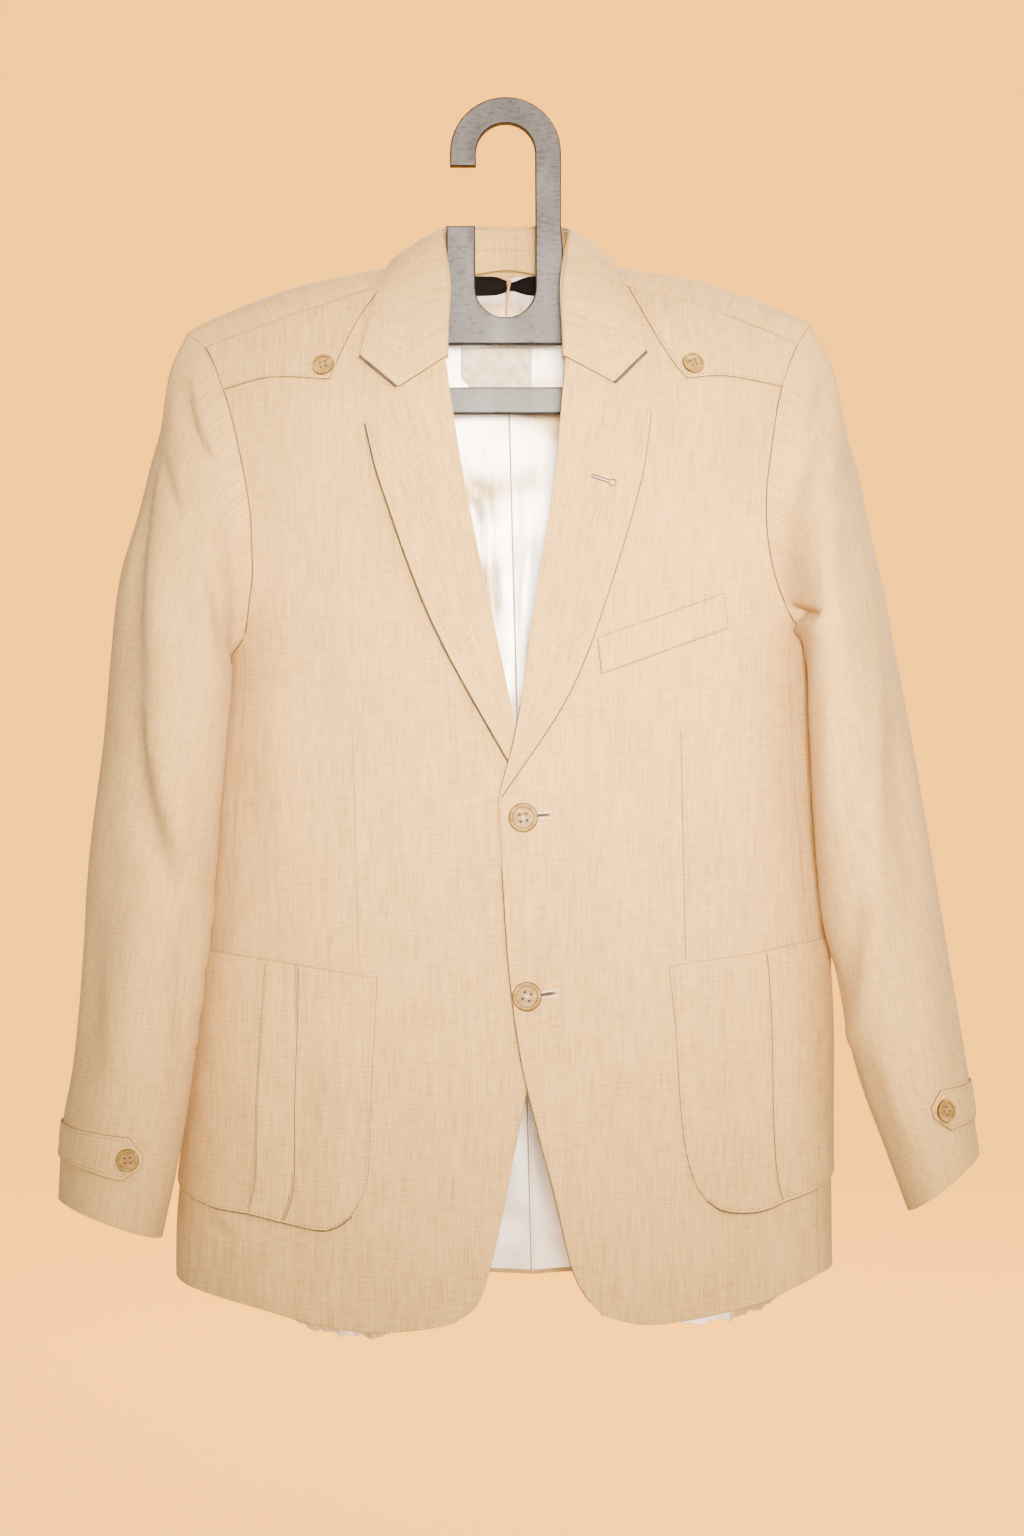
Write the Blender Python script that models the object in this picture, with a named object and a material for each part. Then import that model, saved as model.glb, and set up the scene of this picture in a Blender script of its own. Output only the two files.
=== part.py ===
"""Two-button linen blazer hanging on a flat plastic hanger.

The origin is the seat of the hanger's hook. +Z is up, the front faces -Y, and the
wearer's left is at +X. Sizes are worked out in millimetres and placed in metres.
"""

import math

import bmesh
import bpy
import numpy as np
from mathutils import Matrix, Vector

MM = 0.001
SEAM_GAP = 0.3
CLOTH = 1.5
FLAP_CLOTH = 1.2
LINING_CLOTH = 1.0
LABEL_CLOTH = 1.0

# The body is a tube of rounded sections that closes over the shoulders on a ridge.
FRONT_CAP = 130.0
BACK_CAP = 80.0
CAP_POWER = 1.5

# The wearer's left front lies over the right one by this much at its edge.
OVERLAP_LIFT = 5.5
OVERLAP_FULL_X = 50.0
OVERLAP_END_X = 112.0
OVERLAP_FULL_Z = -425.0
OVERLAP_END_Z = -335.0

LAPEL_EDGE_LIFT = 5.0
COLLAR_EDGE_LIFT = 2.5
COLLAR_BULGE = 2.2
COLLAR_END_SHARE = 0.13
LAPEL_REST = 0.7
TAB_REST = 0.6
LINING_REST = 1.3
LINING_NECK_REST = 3.8
LINING_HEM_REST = 3.5
LINING_HEM_EASE = 1.0
PATCH_REST = 0.6
LABEL_REST = 1.2
WELT_REST = 0.8
HEM_LINING_REST = 0.8

# Armhole turns in degrees, 0 at the shoulder tip, 90 at the front, 180 under the arm.
SHOULDER_TURN = 18.0
FRONT_SIDE_TURN = 150.0
BACK_SIDE_TURN = 215.0
SIDE_HEM_GIRTH = 24.0

LOOP_RADIUS = 1.8
LOOP_TOP = -101.0
LOOP_LONG = 30.0
LOOP_X = 3.2
LOOP_LEAN = 0.1
FRONT_BUTTON = 20.5
SMALL_BUTTON = 16.0

HANGER_THICK = 10.0
HOOK_OUTER = 40.0
HOOK_INNER = 21.2
HOOK_CENTRE_Z = -21.3
HANGER_DROP = 7.0
HANGER_TIP_DROP = 2.2

# Share of a panel's height that lies below the armhole, and turns in millimetres to weigh
# them against distances along a line.
SIDE_SHARE = 0.6
TURN_SCALE = np.array([1.0, 100.0])

# Shares of a piece's width or height that leave half a seam gap at its sewn edges.
SLEEVE_SEAM = 0.0006
UNDER_SEAM = 0.0015
ARMHOLE_SEAM = 0.0006
SHOULDER_SEAM = 0.0004
FRONT_SEAM = 0.0012
CENTRE_SEAM = 0.0008
BACK_SEAM = 0.001
PANEL_SEAM = 0.0024
LINING_SEAM = 0.001
YOKE_SIDE_SEAM = 0.004
YOKE_TOP_SEAM = 0.008
GORGE_SEAM = 0.0015
COLLAR_SEAM = 0.0012


def columns(names, rows):
    """Read a table's rows into one array for each named column."""
    return dict(zip(names.split(), np.array(rows, dtype=float).T))


def through(keys, values, at):
    """Smooth line through a column's values, held at its ends."""
    at = np.clip(np.asarray(at, dtype=float), keys[0], keys[-1])
    span = np.diff(keys)
    rise = np.diff(values) / span
    inner = (values[2:] - values[:-2]) / (keys[2:] - keys[:-2])
    slope = np.concatenate((rise[:1], inner, rise[-1:]))
    i = np.clip(np.searchsorted(keys, at) - 1, 0, len(span) - 1)
    t = (at - keys[i]) / span[i]
    start = values[i] * (1 + 2 * t) * (1 - t) ** 2 + span[i] * slope[i] * t * (1 - t) ** 2
    end = values[i + 1] * t * t * (3 - 2 * t) + span[i] * slope[i + 1] * t * t * (t - 1)
    return start + end


def along(points, share, sharp=False):
    """Point at a share of the length of a line through the points."""
    points = np.array(points, dtype=float)
    steps = np.linalg.norm(np.diff(points, axis=0), axis=1)
    keys = np.concatenate(([0.0], np.cumsum(steps))) / steps.sum()
    if sharp:
        return np.stack([np.interp(share, keys, column) for column in points.T], axis=-1)
    return np.stack([through(keys, column, share) for column in points.T], axis=-1)


def ramp(start, end, value):
    """Soft step from 0 at start to 1 at end."""
    t = np.clip((np.asarray(value, dtype=float) - start) / (end - start), 0, 1)
    return t * t * (3 - 2 * t)


SECTIONS = columns("height half_right half_left front back round", [
    (-865, 237, 237, 81, 66, 2.4),
    (-785, 236, 235, 80, 64, 2.4),
    (-704, 227, 233.5, 79, 62, 2.4),
    (-636, 218, 232, 77, 60, 2.4),
    (-560, 209, 226.5, 75, 58, 2.4),
    (-487, 203, 221, 75, 56, 2.4),
    (-430, 199, 218, 76, 56, 2.4),
    (-375, 198, 216, 77, 56, 2.4),
    (-340, 214, 222, 77, 56, 2.4),
    (-300, 228, 229, 76, 56, 2.4),
    (-150, 236, 231, 74, 56, 2.4),
    (-60, 236, 231, 74, 56, 2.4),
])

RIDGE = columns("across height", [
    (-236, -153), (-220, -143), (-172, -124), (-120, -109), (-84, -103.5), (-70, -99),
    (-58, -91), (-40, -78), (0, -62), (40, -78), (58, -91), (70, -99), (84, -103.5),
    (120, -109), (172, -124), (214, -140), (236, -150),
])

# One row for each point round an armhole: turn, distance across, height. The ninth is
# the underarm, at the body's side.
UNDERARM_ROW = 8
ARMHOLE_RIGHT = columns("turn across height", [
    (0, -229.5, -150), (18, -215, -163), (42, -200, -196), (68, -187.6, -239),
    (93, -179, -288), (112, -178, -323.5), (132, -182, -354), (156, -190, -377),
    (180, -198, -385), (204, -193, -377), (228, -190, -352), (252, -190, -315),
    (275, -193, -275), (298, -200, -230), (322, -211, -190), (345, -223, -160),
    (360, -229.5, -150),
])
ARMHOLE_LEFT = columns("turn across height", [
    (0, 220, -143), (18, 209, -161), (42, 196, -194), (68, 187.5, -240),
    (93, 183.5, -277), (112, 186, -311), (132, 195, -342), (156, 207, -362),
    (180, 217, -370), (204, 211, -362), (228, 203, -342), (252, 198, -311),
    (275, 196, -272), (298, 200, -230), (322, 206, -190), (345, 214, -158),
    (360, 220, -143),
])

# One row for each ring of a sleeve, from the armhole to the cuff: where its outline
# shows at the outer and inner side, how far its front leans to the body, its middle
# and its half depth.
SLEEVE_RIGHT = columns("outer_x outer_z inner_x inner_z lean middle depth", [
    (-231, -151, -199, -385, 10, 0, 54),
    (-246, -180, -199, -391, 14, -3, 58),
    (-256, -225, -196, -397, 20, -8, 63),
    (-268, -275, -193.5, -404, 25, -15, 66),
    (-279, -325, -193, -414, 26, -23, 68),
    (-284, -385, -195, -432, 25, -32, 67),
    (-288, -445, -199, -464, 22, -40, 64),
    (-296, -522, -205.5, -526, 18, -45, 61),
    (-301, -593, -211, -590, 15, -48, 58),
    (-306, -671, -217.5, -660, 12, -49, 55),
    (-312, -715, -224.5, -715, 9, -50, 52),
    (-315, -766, -241, -793, 6, -50, 49),
])
SLEEVE_LEFT = columns("outer_x outer_z inner_x inner_z lean middle depth", [
    (221, -144, 216, -370, 2, 0, 54),
    (238, -170, 214, -375, 8, -3, 58),
    (247.5, -205, 212.5, -381, 13, -8, 63),
    (256, -245, 212, -389, 17, -15, 66),
    (265, -285, 213, -399, 20, -23, 68),
    (275.5, -335, 214, -413, 22, -32, 67),
    (287, -415, 215.5, -440, 21, -40, 64),
    (297, -487, 218, -500, 18, -45, 61),
    (309, -558, 224, -560, 15, -48, 58),
    (321, -637, 237, -634, 12, -49, 55),
    (329, -690, 251, -690, 9, -50, 52),
    (335, -735, 283, -774, 6, -50, 49),
])
# One row for each point of a sleeve's main fold: ring, turn, height, half width.
FOLD_RIGHT = columns("ring turn height width", [
    (1.5, 30, 0, 22), (3, 38, 4, 20), (4.5, 48, 6, 18), (6, 72, 6, 18), (7, 108, 4, 18),
    (7.8, 140, 0, 18),
])
FOLD_LEFT = columns("ring turn height width", [
    (2, 75, 0, 22), (4, 70, 3, 20), (6, 72, 4, 20), (7.5, 80, 3, 20), (9.5, 85, 0, 20),
])

# One row for each station of the neck, from the roll of the lapel to the centre back:
# the neck seam, the fold and the collar's outer edge on either side.
COLLAR = columns("neck_x neck_turn fold_x fold_y fold_z inset edge_right edge_left edge_turn", [
    (42, 75.5, 42.0, -72, -177.5, 5.0, 101, 98, 63),
    (53, 58.5, 42.0, -62, -150, 5.0, 97, 94, 53.5),
    (61, 42.0, 42.5, -48, -124, 5.0, 93, 88, 42),
    (64, 25.0, 45.0, -28, -100, 4.2, 87, 80, 28),
    (64, 5.0, 47.5, -8, -80, 3.0, 80, 73, 2),
    (58, -18.0, 46.5, 13, -73, 3.0, 71, 66, -27),
    (45, -38.0, 38.0, 32, -69, 3.5, 57, 54, -46),
    (25, -54.0, 22.0, 45, -67, 3.5, 33, 32, -66),
    (0, -58.0, 0.0, 50, -67, 3.5, 0, 0, -74),
])
NECK_POINT = 3
NECK_BACK = 8

# Outlines of the cut pieces seen from the front, across and height.
FRONT_RIGHT = {
    "edge": [(-36, -850), (-20, -838), (-12, -817.5), (-3, -780), (4.7, -740), (15, -690),
             (25, -640), (31, -600), (33, -560), (28, -520), (18, -486)],
    "roll": [(18, -486), (7.5, -436.5), (-4, -381), (-28.5, -263), (-42, -177.5)],
    "hem": [(-36, -850), (-54, -854), (-90, -857), (-131, -852.5), (-175, -842), (-204, -836)],
    "shoulder": [(-84, -119), (-150, -141)],
    "hem_side": -832.0,
}
FRONT_LEFT = {
    "edge": [(67, -844), (54, -828), (46, -811), (34, -760), (23.5, -720), (11, -667),
             (4, -618), (0.5, -578), (-3, -520), (-4.8, -485)],
    "roll": [(-4.8, -485), (7.5, -436.5), (21, -346), (34, -263), (42, -177.5)],
    "hem": [(67, -844), (94, -851), (122, -850), (175.5, -840), (210, -828)],
    "shoulder": [(84, -119), (124, -130)],
    "hem_side": -823.0,
}
BACK_CENTRE = [(20, -838), (17, -700), (10, -500), (4, -300), (0, -100)]
BACK_HEM_SIDE_RIGHT = -828.0
BACK_HEM_SIDE_LEFT = -824.0

LAPEL_RIGHT = {
    "roll": [(15, -474), (7.5, -436.5), (-4, -381), (-28.5, -263), (-42, -177.5)],
    "edge": [(14, -477), (2.6, -459.5), (-50, -362), (-87, -263), (-97, -224)],
    "gorge": [(-42, -177.5), (-74, -199), (-97, -224)],
}
LAPEL_LEFT = {
    "roll": [(-3.5, -480), (7.5, -436.5), (21, -346), (34, -263), (42, -177.5)],
    "edge": [(-2.5, -483.5), (40, -419), (62, -368), (94, -263), (101, -217)],
    "gorge": [(42, -177.5), (75, -196), (101, -217)],
}
COLLAR_END_RIGHT = [(-42, -177.5), (-74, -199), (-101, -177)]
COLLAR_END_LEFT = [(42, -177.5), (75, -196), (98, -174)]

YOKE_RIGHT = {
    "inner": [(-123, -191.5), (-117.6, -178), (-104.5, -149), (-87, -121)],
    "bottom": [(-123, -191.5), (-167, -189)],
    "top": [(-87, -121), (-150, -141)],
    "armhole_end": 42.0,
}
YOKE_LEFT = {
    "inner": [(127, -190.6), (116.4, -177), (101, -149.6), (87, -121)],
    "bottom": [(127, -190.6), (155, -188)],
    "top": [(87, -121), (124, -130)],
    "armhole_end": 42.0,
}

POCKET_RIGHT = {
    "top": [(-89, -610), (-148, -601), (-171, -598), (-198, -594.5)],
    "inner": [(-107, -776), (-98, -760), (-95, -744), (-94, -706), (-89, -610)],
    "bottom": [(-107, -776), (-117, -783.5), (-128, -786.5), (-153, -782), (-175, -777),
               (-206, -773)],
    "side": [(-6.0, -750), (-6.0, -593)],
}
POCKET_LEFT = {
    "top": [(114, -603), (126, -600), (178, -593), (203, -588)],
    "inner": [(141, -766), (133, -755), (126.5, -734), (122, -699), (119, -646), (114, -603)],
    "bottom": [(141, -766), (152, -773), (167, -775), (180, -774), (195, -769), (217, -763)],
    "side": [(-6.0, -744), (-6.0, -581)],
}
# Pleats of the pockets, each with its share of the pocket's width and its raised side.
PLEATS_RIGHT = columns("start end", [(0.245, 0.345)])
PLEATS_LEFT = columns("start end", [(0.0, 0.315)])
PLEAT_RISE = 1.2
POCKET_FULLNESS = 3.0

WELT = {
    "left": [(66.5, -398.5), (63.5, -373)],
    "right": [(156, -366), (153.5, -341)],
}

PATCH_X = (-33.0, 19.0)
PATCH_Z = (-186.0, -155.0)
LABEL_X = (-30.0, 33.0)
LABEL_Z = (-114.0, -99.5)

# Buttons on the fronts and the yoke flaps: across and height.
FRONT_UPPER_AT = (12.5, -498.0)
FRONT_LOWER_AT = (15.0, -622.5)
YOKE_RIGHT_AT = (-127.4, -181.4)
YOKE_LEFT_AT = (131.5, -180.0)
# Cuff tabs: turns of the hidden end and the tip, ring of the middle line, half width in rings.
TAB_RIGHT = {"start": -58.0, "tip": 108.0, "ring": 10.17, "rise": 0.14, "half": 0.24}
TAB_LEFT = {"start": -70.0, "tip": 76.0, "ring": 10.12, "rise": 0.08, "half": 0.26}
TAB_POINT = 16.0


def section(z):
    """Half widths, depths and roundness of the body at a height."""
    return {name: through(SECTIONS["height"], SECTIONS[name], z) for name in SECTIONS}


def ridge(x):
    """Height of the shoulder line."""
    return through(RIDGE["across"], RIDGE["height"], x)


def half_at(x, cut):
    return np.where(np.asarray(x) < 0, cut["half_right"], cut["half_left"])


def drape(x, turn):
    """Body point for a distance across and a turn over the shoulder, front positive."""
    front = turn >= 0
    cap = np.where(front, FRONT_CAP, BACK_CAP)
    angle = np.abs(turn)
    over = np.minimum(angle, math.pi / 2)
    drop = cap * (1 - np.cos(over)) + cap * (angle - over)
    z = ridge(x) - drop
    cut = section(z)
    share = np.minimum(np.abs(x) / half_at(x, cut), 1.0)
    depth = (1 - share ** cut["round"]) ** (1 / cut["round"]) * np.sin(over) ** CAP_POWER
    y = np.where(front, -cut["front"], cut["back"]) * depth
    return np.stack([x, y, z], axis=-1)


def drape_turn(x, z, front=True):
    """Turn over the shoulder of a point seen from the front or from the back."""
    cap = FRONT_CAP if front else BACK_CAP
    drop = np.maximum(ridge(x) - np.asarray(z, dtype=float), 0) / cap
    angle = np.where(drop < 1, np.arccos(np.clip(1 - drop, -1, 1)), math.pi / 2 + drop - 1)
    return angle if front else -angle


def girth(angle, z):
    """Body point for a girth angle in degrees, 0 at the wearer's left, 90 at the front."""
    cut = section(z)
    turn = np.radians(angle)
    across = np.cos(turn)
    ahead = np.sin(turn)
    reach = (np.abs(across) ** cut["round"] + np.abs(ahead) ** cut["round"]) ** (-1 / cut["round"])
    x = half_at(across, cut) * across * reach
    y = -np.where(ahead > 0, cut["front"], cut["back"]) * ahead * reach
    return np.stack([x, y, np.broadcast_to(z, x.shape)], axis=-1)


def girth_angle(x, z, front=True):
    """Girth angle of a body point seen from the front or from the back."""
    cut = section(z)
    share = np.minimum(np.abs(x) / half_at(x, cut), 1.0)
    ahead = (1 - share ** cut["round"]) ** (1 / cut["round"])
    angle = np.degrees(np.arctan2(ahead, np.sign(x) * share))
    return angle if front else 360 - angle


def with_normals(surface, a, b, step_a, step_b):
    """Points of a surface and their directions away from the body."""
    along_a = surface(a + step_a, b) - surface(a - step_a, b)
    along_b = surface(a, b + step_b) - surface(a, b - step_b)
    normal = -np.cross(along_a, along_b)
    return surface(a, b), normal / np.linalg.norm(normal, axis=-1, keepdims=True)


def on_drape(x, turn):
    return with_normals(drape, x, turn, 0.05, 0.0005)


def on_girth(angle, z):
    return with_normals(girth, angle, z, 0.05, 0.05)


def on_front(x, z):
    return on_drape(np.asarray(x, dtype=float), drape_turn(x, z))


def overlap(x, z):
    """How far the wearer's left front stands out where it lies over the right one."""
    share = ramp(OVERLAP_END_X, OVERLAP_FULL_X, x) * ramp(OVERLAP_END_Z, OVERLAP_FULL_Z, z)
    return OVERLAP_LIFT * share


def coons(bottom, top, left, right, u, v):
    """Patch between four lines that meet at its corners."""
    u = np.asarray(u, dtype=float)
    v = np.asarray(v, dtype=float)
    zero = np.zeros_like(u)
    one = np.ones_like(u)
    s = u[..., None]
    t = v[..., None]
    ruled = (1 - t) * bottom(u) + t * top(u) + (1 - s) * left(v) + s * right(v)
    low = (1 - s) * bottom(zero) + s * bottom(one)
    high = (1 - s) * top(zero) + s * top(one)
    return ruled - (1 - t) * low - t * high


def armhole(side, turn):
    """Girth angle, distance across and height of an armhole at a turn."""
    rows = ARMHOLE_RIGHT if side < 0 else ARMHOLE_LEFT
    turn = np.mod(np.asarray(turn, dtype=float), 360.0)
    cut = section(rows["height"])
    share = np.minimum(np.abs(rows["across"]) / half_at(rows["across"], cut), 1.0)
    share[UNDERARM_ROW] = 1.0
    lean = np.degrees(np.arctan2((1 - share ** cut["round"]) ** (1 / cut["round"]), share))
    z = through(rows["turn"], rows["height"], turn)
    ahead = through(rows["turn"][:UNDERARM_ROW + 1], lean[:UNDERARM_ROW + 1], turn)
    behind = through(rows["turn"][UNDERARM_ROW:], lean[UNDERARM_ROW:], turn)
    ahead = np.where(turn <= 180, ahead, -behind)
    angle = ahead if side > 0 else 180 - ahead
    x = girth(angle, z)[..., 0]
    return np.mod(angle, 360.0), x, z


def armhole_drape(side, turn):
    """Distance across and turn over the shoulder of an armhole point."""
    turn = np.asarray(turn, dtype=float)
    inside = np.mod(turn, 360.0)
    angle, x, z = armhole(side, turn)
    lean = np.where(inside <= 180, drape_turn(x, z), drape_turn(x, z, front=False))
    return np.stack([x, lean], axis=-1)


def seam_girth(side, share, front):
    """Girth angle and height of a side seam, from the hem up to the armhole."""
    turn = FRONT_SIDE_TURN if front else BACK_SIDE_TURN
    angle, x, top = armhole(side, np.array([turn]))
    hem_angle = SIDE_HEM_GIRTH if front else -SIDE_HEM_GIRTH
    low_angle = np.mod(hem_angle if side > 0 else 180 - hem_angle, 360.0)
    if front:
        low = (FRONT_RIGHT if side < 0 else FRONT_LEFT)["hem_side"]
    else:
        low = BACK_HEM_SIDE_RIGHT if side < 0 else BACK_HEM_SIDE_LEFT
    high_angle = angle[0]
    if abs(high_angle - low_angle) > 180:
        high_angle -= 360.0 * np.sign(high_angle - low_angle)
    share = np.asarray(share, dtype=float)
    bend = ramp(0.0, 1.0, share)
    return low_angle + (high_angle - low_angle) * bend, low + (top[0] - low) * share


def seam_drape(side, share, front):
    angle, z = seam_girth(side, share, front)
    x = girth(angle, z)[..., 0]
    return np.stack([x, drape_turn(x, z, front)], axis=-1)


def to_drape(points, front=True):
    x = points[..., 0]
    return np.stack([x, drape_turn(x, points[..., 1], front)], axis=-1)


def two_part(lower, upper, v):
    """Join a line below the armhole's end to one above it."""
    v = np.asarray(v, dtype=float)
    low = lower(np.clip(v / SIDE_SHARE, 0, 1))
    high = upper(np.clip((v - SIDE_SHARE) / (1 - SIDE_SHARE), 0, 1))
    return np.where((v < SIDE_SHARE)[..., None], low, high)


def neck_line(side, first, last, share):
    """Neck seam between two stations, as distance across and turn."""
    rows = np.stack([side * COLLAR["neck_x"], np.radians(COLLAR["neck_turn"])], axis=-1)
    station = first + (last - first) * np.asarray(share, dtype=float)
    index = np.arange(len(rows), dtype=float)
    return np.stack([through(index, column, station) for column in rows.T], axis=-1)


def front_panel(side):
    """Surface of a front, from its edge to the side seam and from hem to shoulder."""
    cut = FRONT_RIGHT if side < 0 else FRONT_LEFT
    neck_share = 0.625

    def roll_and_neck(t):
        roll = to_drape(along(cut["roll"], np.clip(t / neck_share, 0, 1)))
        neck = neck_line(side, 0, NECK_POINT, np.clip((t - neck_share) / (1 - neck_share), 0, 1))
        return np.where((t < neck_share)[..., None], roll, neck)

    def left(v):
        return two_part(lambda t: to_drape(along(cut["edge"], t)), roll_and_neck, v)

    def right(v):
        turns = (FRONT_SIDE_TURN, SHOULDER_TURN)
        return two_part(lambda t: seam_drape(side, t, True),
                        lambda t: armhole_drape(side, turns[0] + (turns[1] - turns[0]) * t), v)

    def bottom(u):
        end = girth(*seam_girth(side, np.zeros(1), True))[0]
        return to_drape(along(cut["hem"] + [(end[0], end[2])], u))

    def top(u):
        start = neck_line(side, 0, NECK_POINT, np.ones(1))[0]
        end = armhole_drape(side, np.array([SHOULDER_TURN]))[0]
        inner = to_drape(np.array(cut["shoulder"], dtype=float))
        return along(scaled(np.vstack([start, inner, end])), u) / TURN_SCALE

    def place(u, v):
        flat = coons(bottom, top, left, right, u, v)
        points, normal = on_drape(flat[..., 0], flat[..., 1])
        if side > 0:
            points = points + normal * overlap(points[..., 0], points[..., 2])[..., None]
        return points, normal

    return place


def scaled(rows):
    """Give turns about the same weight as millimetres along a line."""
    return rows * TURN_SCALE


def side_panel(side):
    """Surface of a side panel, from its front seam to its back seam."""
    def seam(front):
        def line(v):
            angle, z = seam_girth(side, v, front)
            return np.stack([unwrap(side, angle), z], axis=-1)
        return line

    def top(u):
        turn = FRONT_SIDE_TURN + (BACK_SIDE_TURN - FRONT_SIDE_TURN) * u
        angle, x, z = armhole(side, turn)
        return np.stack([unwrap(side, angle), z], axis=-1)

    def bottom(u):
        ends = np.vstack([seam(True)(np.zeros(1)), seam(False)(np.zeros(1))])
        dip = np.array([0.0, 4.0])
        return ends[0] + (ends[1] - ends[0]) * u[..., None] + dip * np.sin(math.pi * u)[..., None]

    def place(u, v):
        flat = coons(bottom, top, seam(True), seam(False), u, v)
        return on_girth(flat[..., 0], flat[..., 1])

    return place


def unwrap(side, angle):
    """Girth angle without a jump at the wearer's left side."""
    return np.where(angle > 270, angle - 360, angle) if side > 0 else angle


def back_panel(side):
    """Surface of a back half, from the centre seam to the side seam, up over the shoulder."""
    neck_share = 0.3

    def left(v):
        low = along(BACK_CENTRE, 0.6 * np.clip(v / SIDE_SHARE, 0, 1))
        high = along(BACK_CENTRE, 0.6 + 0.4 * np.clip((v - SIDE_SHARE) / (1 - SIDE_SHARE), 0, 1))
        flat = to_drape(np.where((v < SIDE_SHARE)[..., None], low, high), front=False)
        end = neck_line(side, NECK_POINT, NECK_BACK, np.ones(1))[0]
        return flat + (end - to_drape(np.array([BACK_CENTRE[-1]], dtype=float), False)[0]) \
            * ramp(0.85, 1.0, v)[..., None]

    def right(v):
        turns = (BACK_SIDE_TURN, 360 + SHOULDER_TURN)
        return two_part(lambda t: seam_drape(side, t, False),
                        lambda t: armhole_drape(side, turns[0] + (turns[1] - turns[0]) * t), v)

    def bottom(u):
        end = girth(*seam_girth(side, np.zeros(1), False))[0]
        return to_drape(along([BACK_CENTRE[0], (end[0], end[2])], u), front=False)

    def top(u):
        neck = neck_line(side, NECK_BACK, NECK_POINT, np.clip(u / neck_share, 0, 1))
        start = neck_line(side, NECK_BACK, NECK_POINT, np.ones(1))[0]
        end = armhole_drape(side, np.array([SHOULDER_TURN]))[0]
        cut = FRONT_RIGHT if side < 0 else FRONT_LEFT
        inner = to_drape(np.array(cut["shoulder"], dtype=float))
        share = np.clip((u - neck_share) / (1 - neck_share), 0, 1)
        shoulder = along(scaled(np.vstack([start, inner, end])), share) / TURN_SCALE
        return np.where((u < neck_share)[..., None], neck, shoulder)

    def place(u, v):
        flat = coons(bottom, top, left, right, u, v)
        return on_drape(flat[..., 0], flat[..., 1])

    return place


def sleeve(side, turn, ring):
    """Point of a sleeve at a turn round it and at a ring between armhole and cuff."""
    rows = SLEEVE_RIGHT if side < 0 else SLEEVE_LEFT
    fold = FOLD_RIGHT if side < 0 else FOLD_LEFT
    turn = np.asarray(turn, dtype=float)
    ring = np.asarray(ring, dtype=float)
    index = np.arange(len(rows["lean"]), dtype=float)
    at = {name: through(index, rows[name], ring) for name in rows}
    angle = np.radians(turn)
    spread = (at["outer_x"] - at["inner_x"]) / 2
    reach = np.sqrt(np.maximum(spread ** 2 - at["lean"] ** 2, 16.0)) * side
    line = through(fold["ring"], fold["turn"], ring)
    tall = through(fold["ring"], fold["height"], ring)
    wide = through(fold["ring"], fold["width"], ring)
    away = np.mod(turn - line + 180, 360) - 180
    within = (ring > fold["ring"][0]) & (ring < fold["ring"][-1])
    swell = 1 + np.where(within, tall, 0) * np.exp(-(away / wide) ** 2) / at["depth"]
    across = reach * np.cos(angle) - side * at["lean"] * np.sin(angle)
    x = (at["outer_x"] + at["inner_x"]) / 2 + across * swell
    y = at["middle"] - at["depth"] * np.sin(angle) * swell
    z = (at["outer_z"] + at["inner_z"]) / 2 + (at["outer_z"] - at["inner_z"]) / 2 * np.cos(angle)
    points = np.stack([x, y, z], axis=-1)
    fade = (1 - np.clip(ring / 4.0, 0, 1)) ** 2
    first = ring_zero(side, turn)
    return points + fade[..., None] * (armhole_point(side, turn) - first)


def ring_zero(side, turn):
    rows = SLEEVE_RIGHT if side < 0 else SLEEVE_LEFT
    angle = np.radians(turn)
    spread = (rows["outer_x"][0] - rows["inner_x"][0]) / 2
    reach = np.sqrt(max(spread ** 2 - rows["lean"][0] ** 2, 16.0)) * side
    x = (rows["outer_x"][0] + rows["inner_x"][0]) / 2
    z = (rows["outer_z"][0] + rows["inner_z"][0]) / 2
    tall = (rows["outer_z"][0] - rows["inner_z"][0]) / 2
    return np.stack([x + reach * np.cos(angle) - side * rows["lean"][0] * np.sin(angle),
                     rows["middle"][0] - rows["depth"][0] * np.sin(angle),
                     z + tall * np.cos(angle)], axis=-1)


def armhole_point(side, turn):
    """Armhole point, just off the body's cloth on the sleeve's side."""
    flat = armhole_drape(side, turn)
    return drape(flat[..., 0], flat[..., 1]) + np.array([side * 0.45, 0.0, 0.0])


def sleeve_surface(side, turn, ring):
    """Points of a sleeve and their directions away from its middle."""
    def surface(a, b):
        return sleeve(side, a, b)

    points, normal = with_normals(surface, turn, ring, 0.5, 0.01)
    middle = (sleeve(side, turn, ring) + sleeve(side, turn + 180, ring)) / 2
    facing = np.sum(normal * (points - middle), axis=-1, keepdims=True)
    return points, normal * np.where(facing < 0, -1.0, 1.0)


def sleeve_place(side, turns):
    """Sleeve piece between two seams. Its first ring is mitred to the armhole."""
    last = len(SLEEVE_RIGHT["lean"]) - 1

    def place(u, v):
        turn = np.interp(u, np.linspace(0, 1, len(turns)), turns)
        points, normal = sleeve_surface(side, turn, v * last)
        flat = armhole_drape(side, turn)
        angle, x, z = armhole(side, turn)
        under = np.abs(np.mod(turn, 360) - 180) < 45
        low = on_girth(angle, z)[1]
        high = on_drape(flat[..., 0], flat[..., 1])[1]
        body = np.where(under[..., None], low, high)
        convex = (v < 1e-6) & (normal[..., 0] * side > body[..., 0] * side)
        return points, np.where(convex[..., None], body, normal)

    return place


def lapel_lift(u, v):
    """How far a lapel stands off the front, most along the middle of its edge."""
    swell = 0.25 + 0.75 * np.sin(math.pi * np.clip(v, 0, 1)) ** 1.5
    return LAPEL_EDGE_LIFT * u ** 1.5 * swell * ramp(0.0, 0.15, v)


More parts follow.
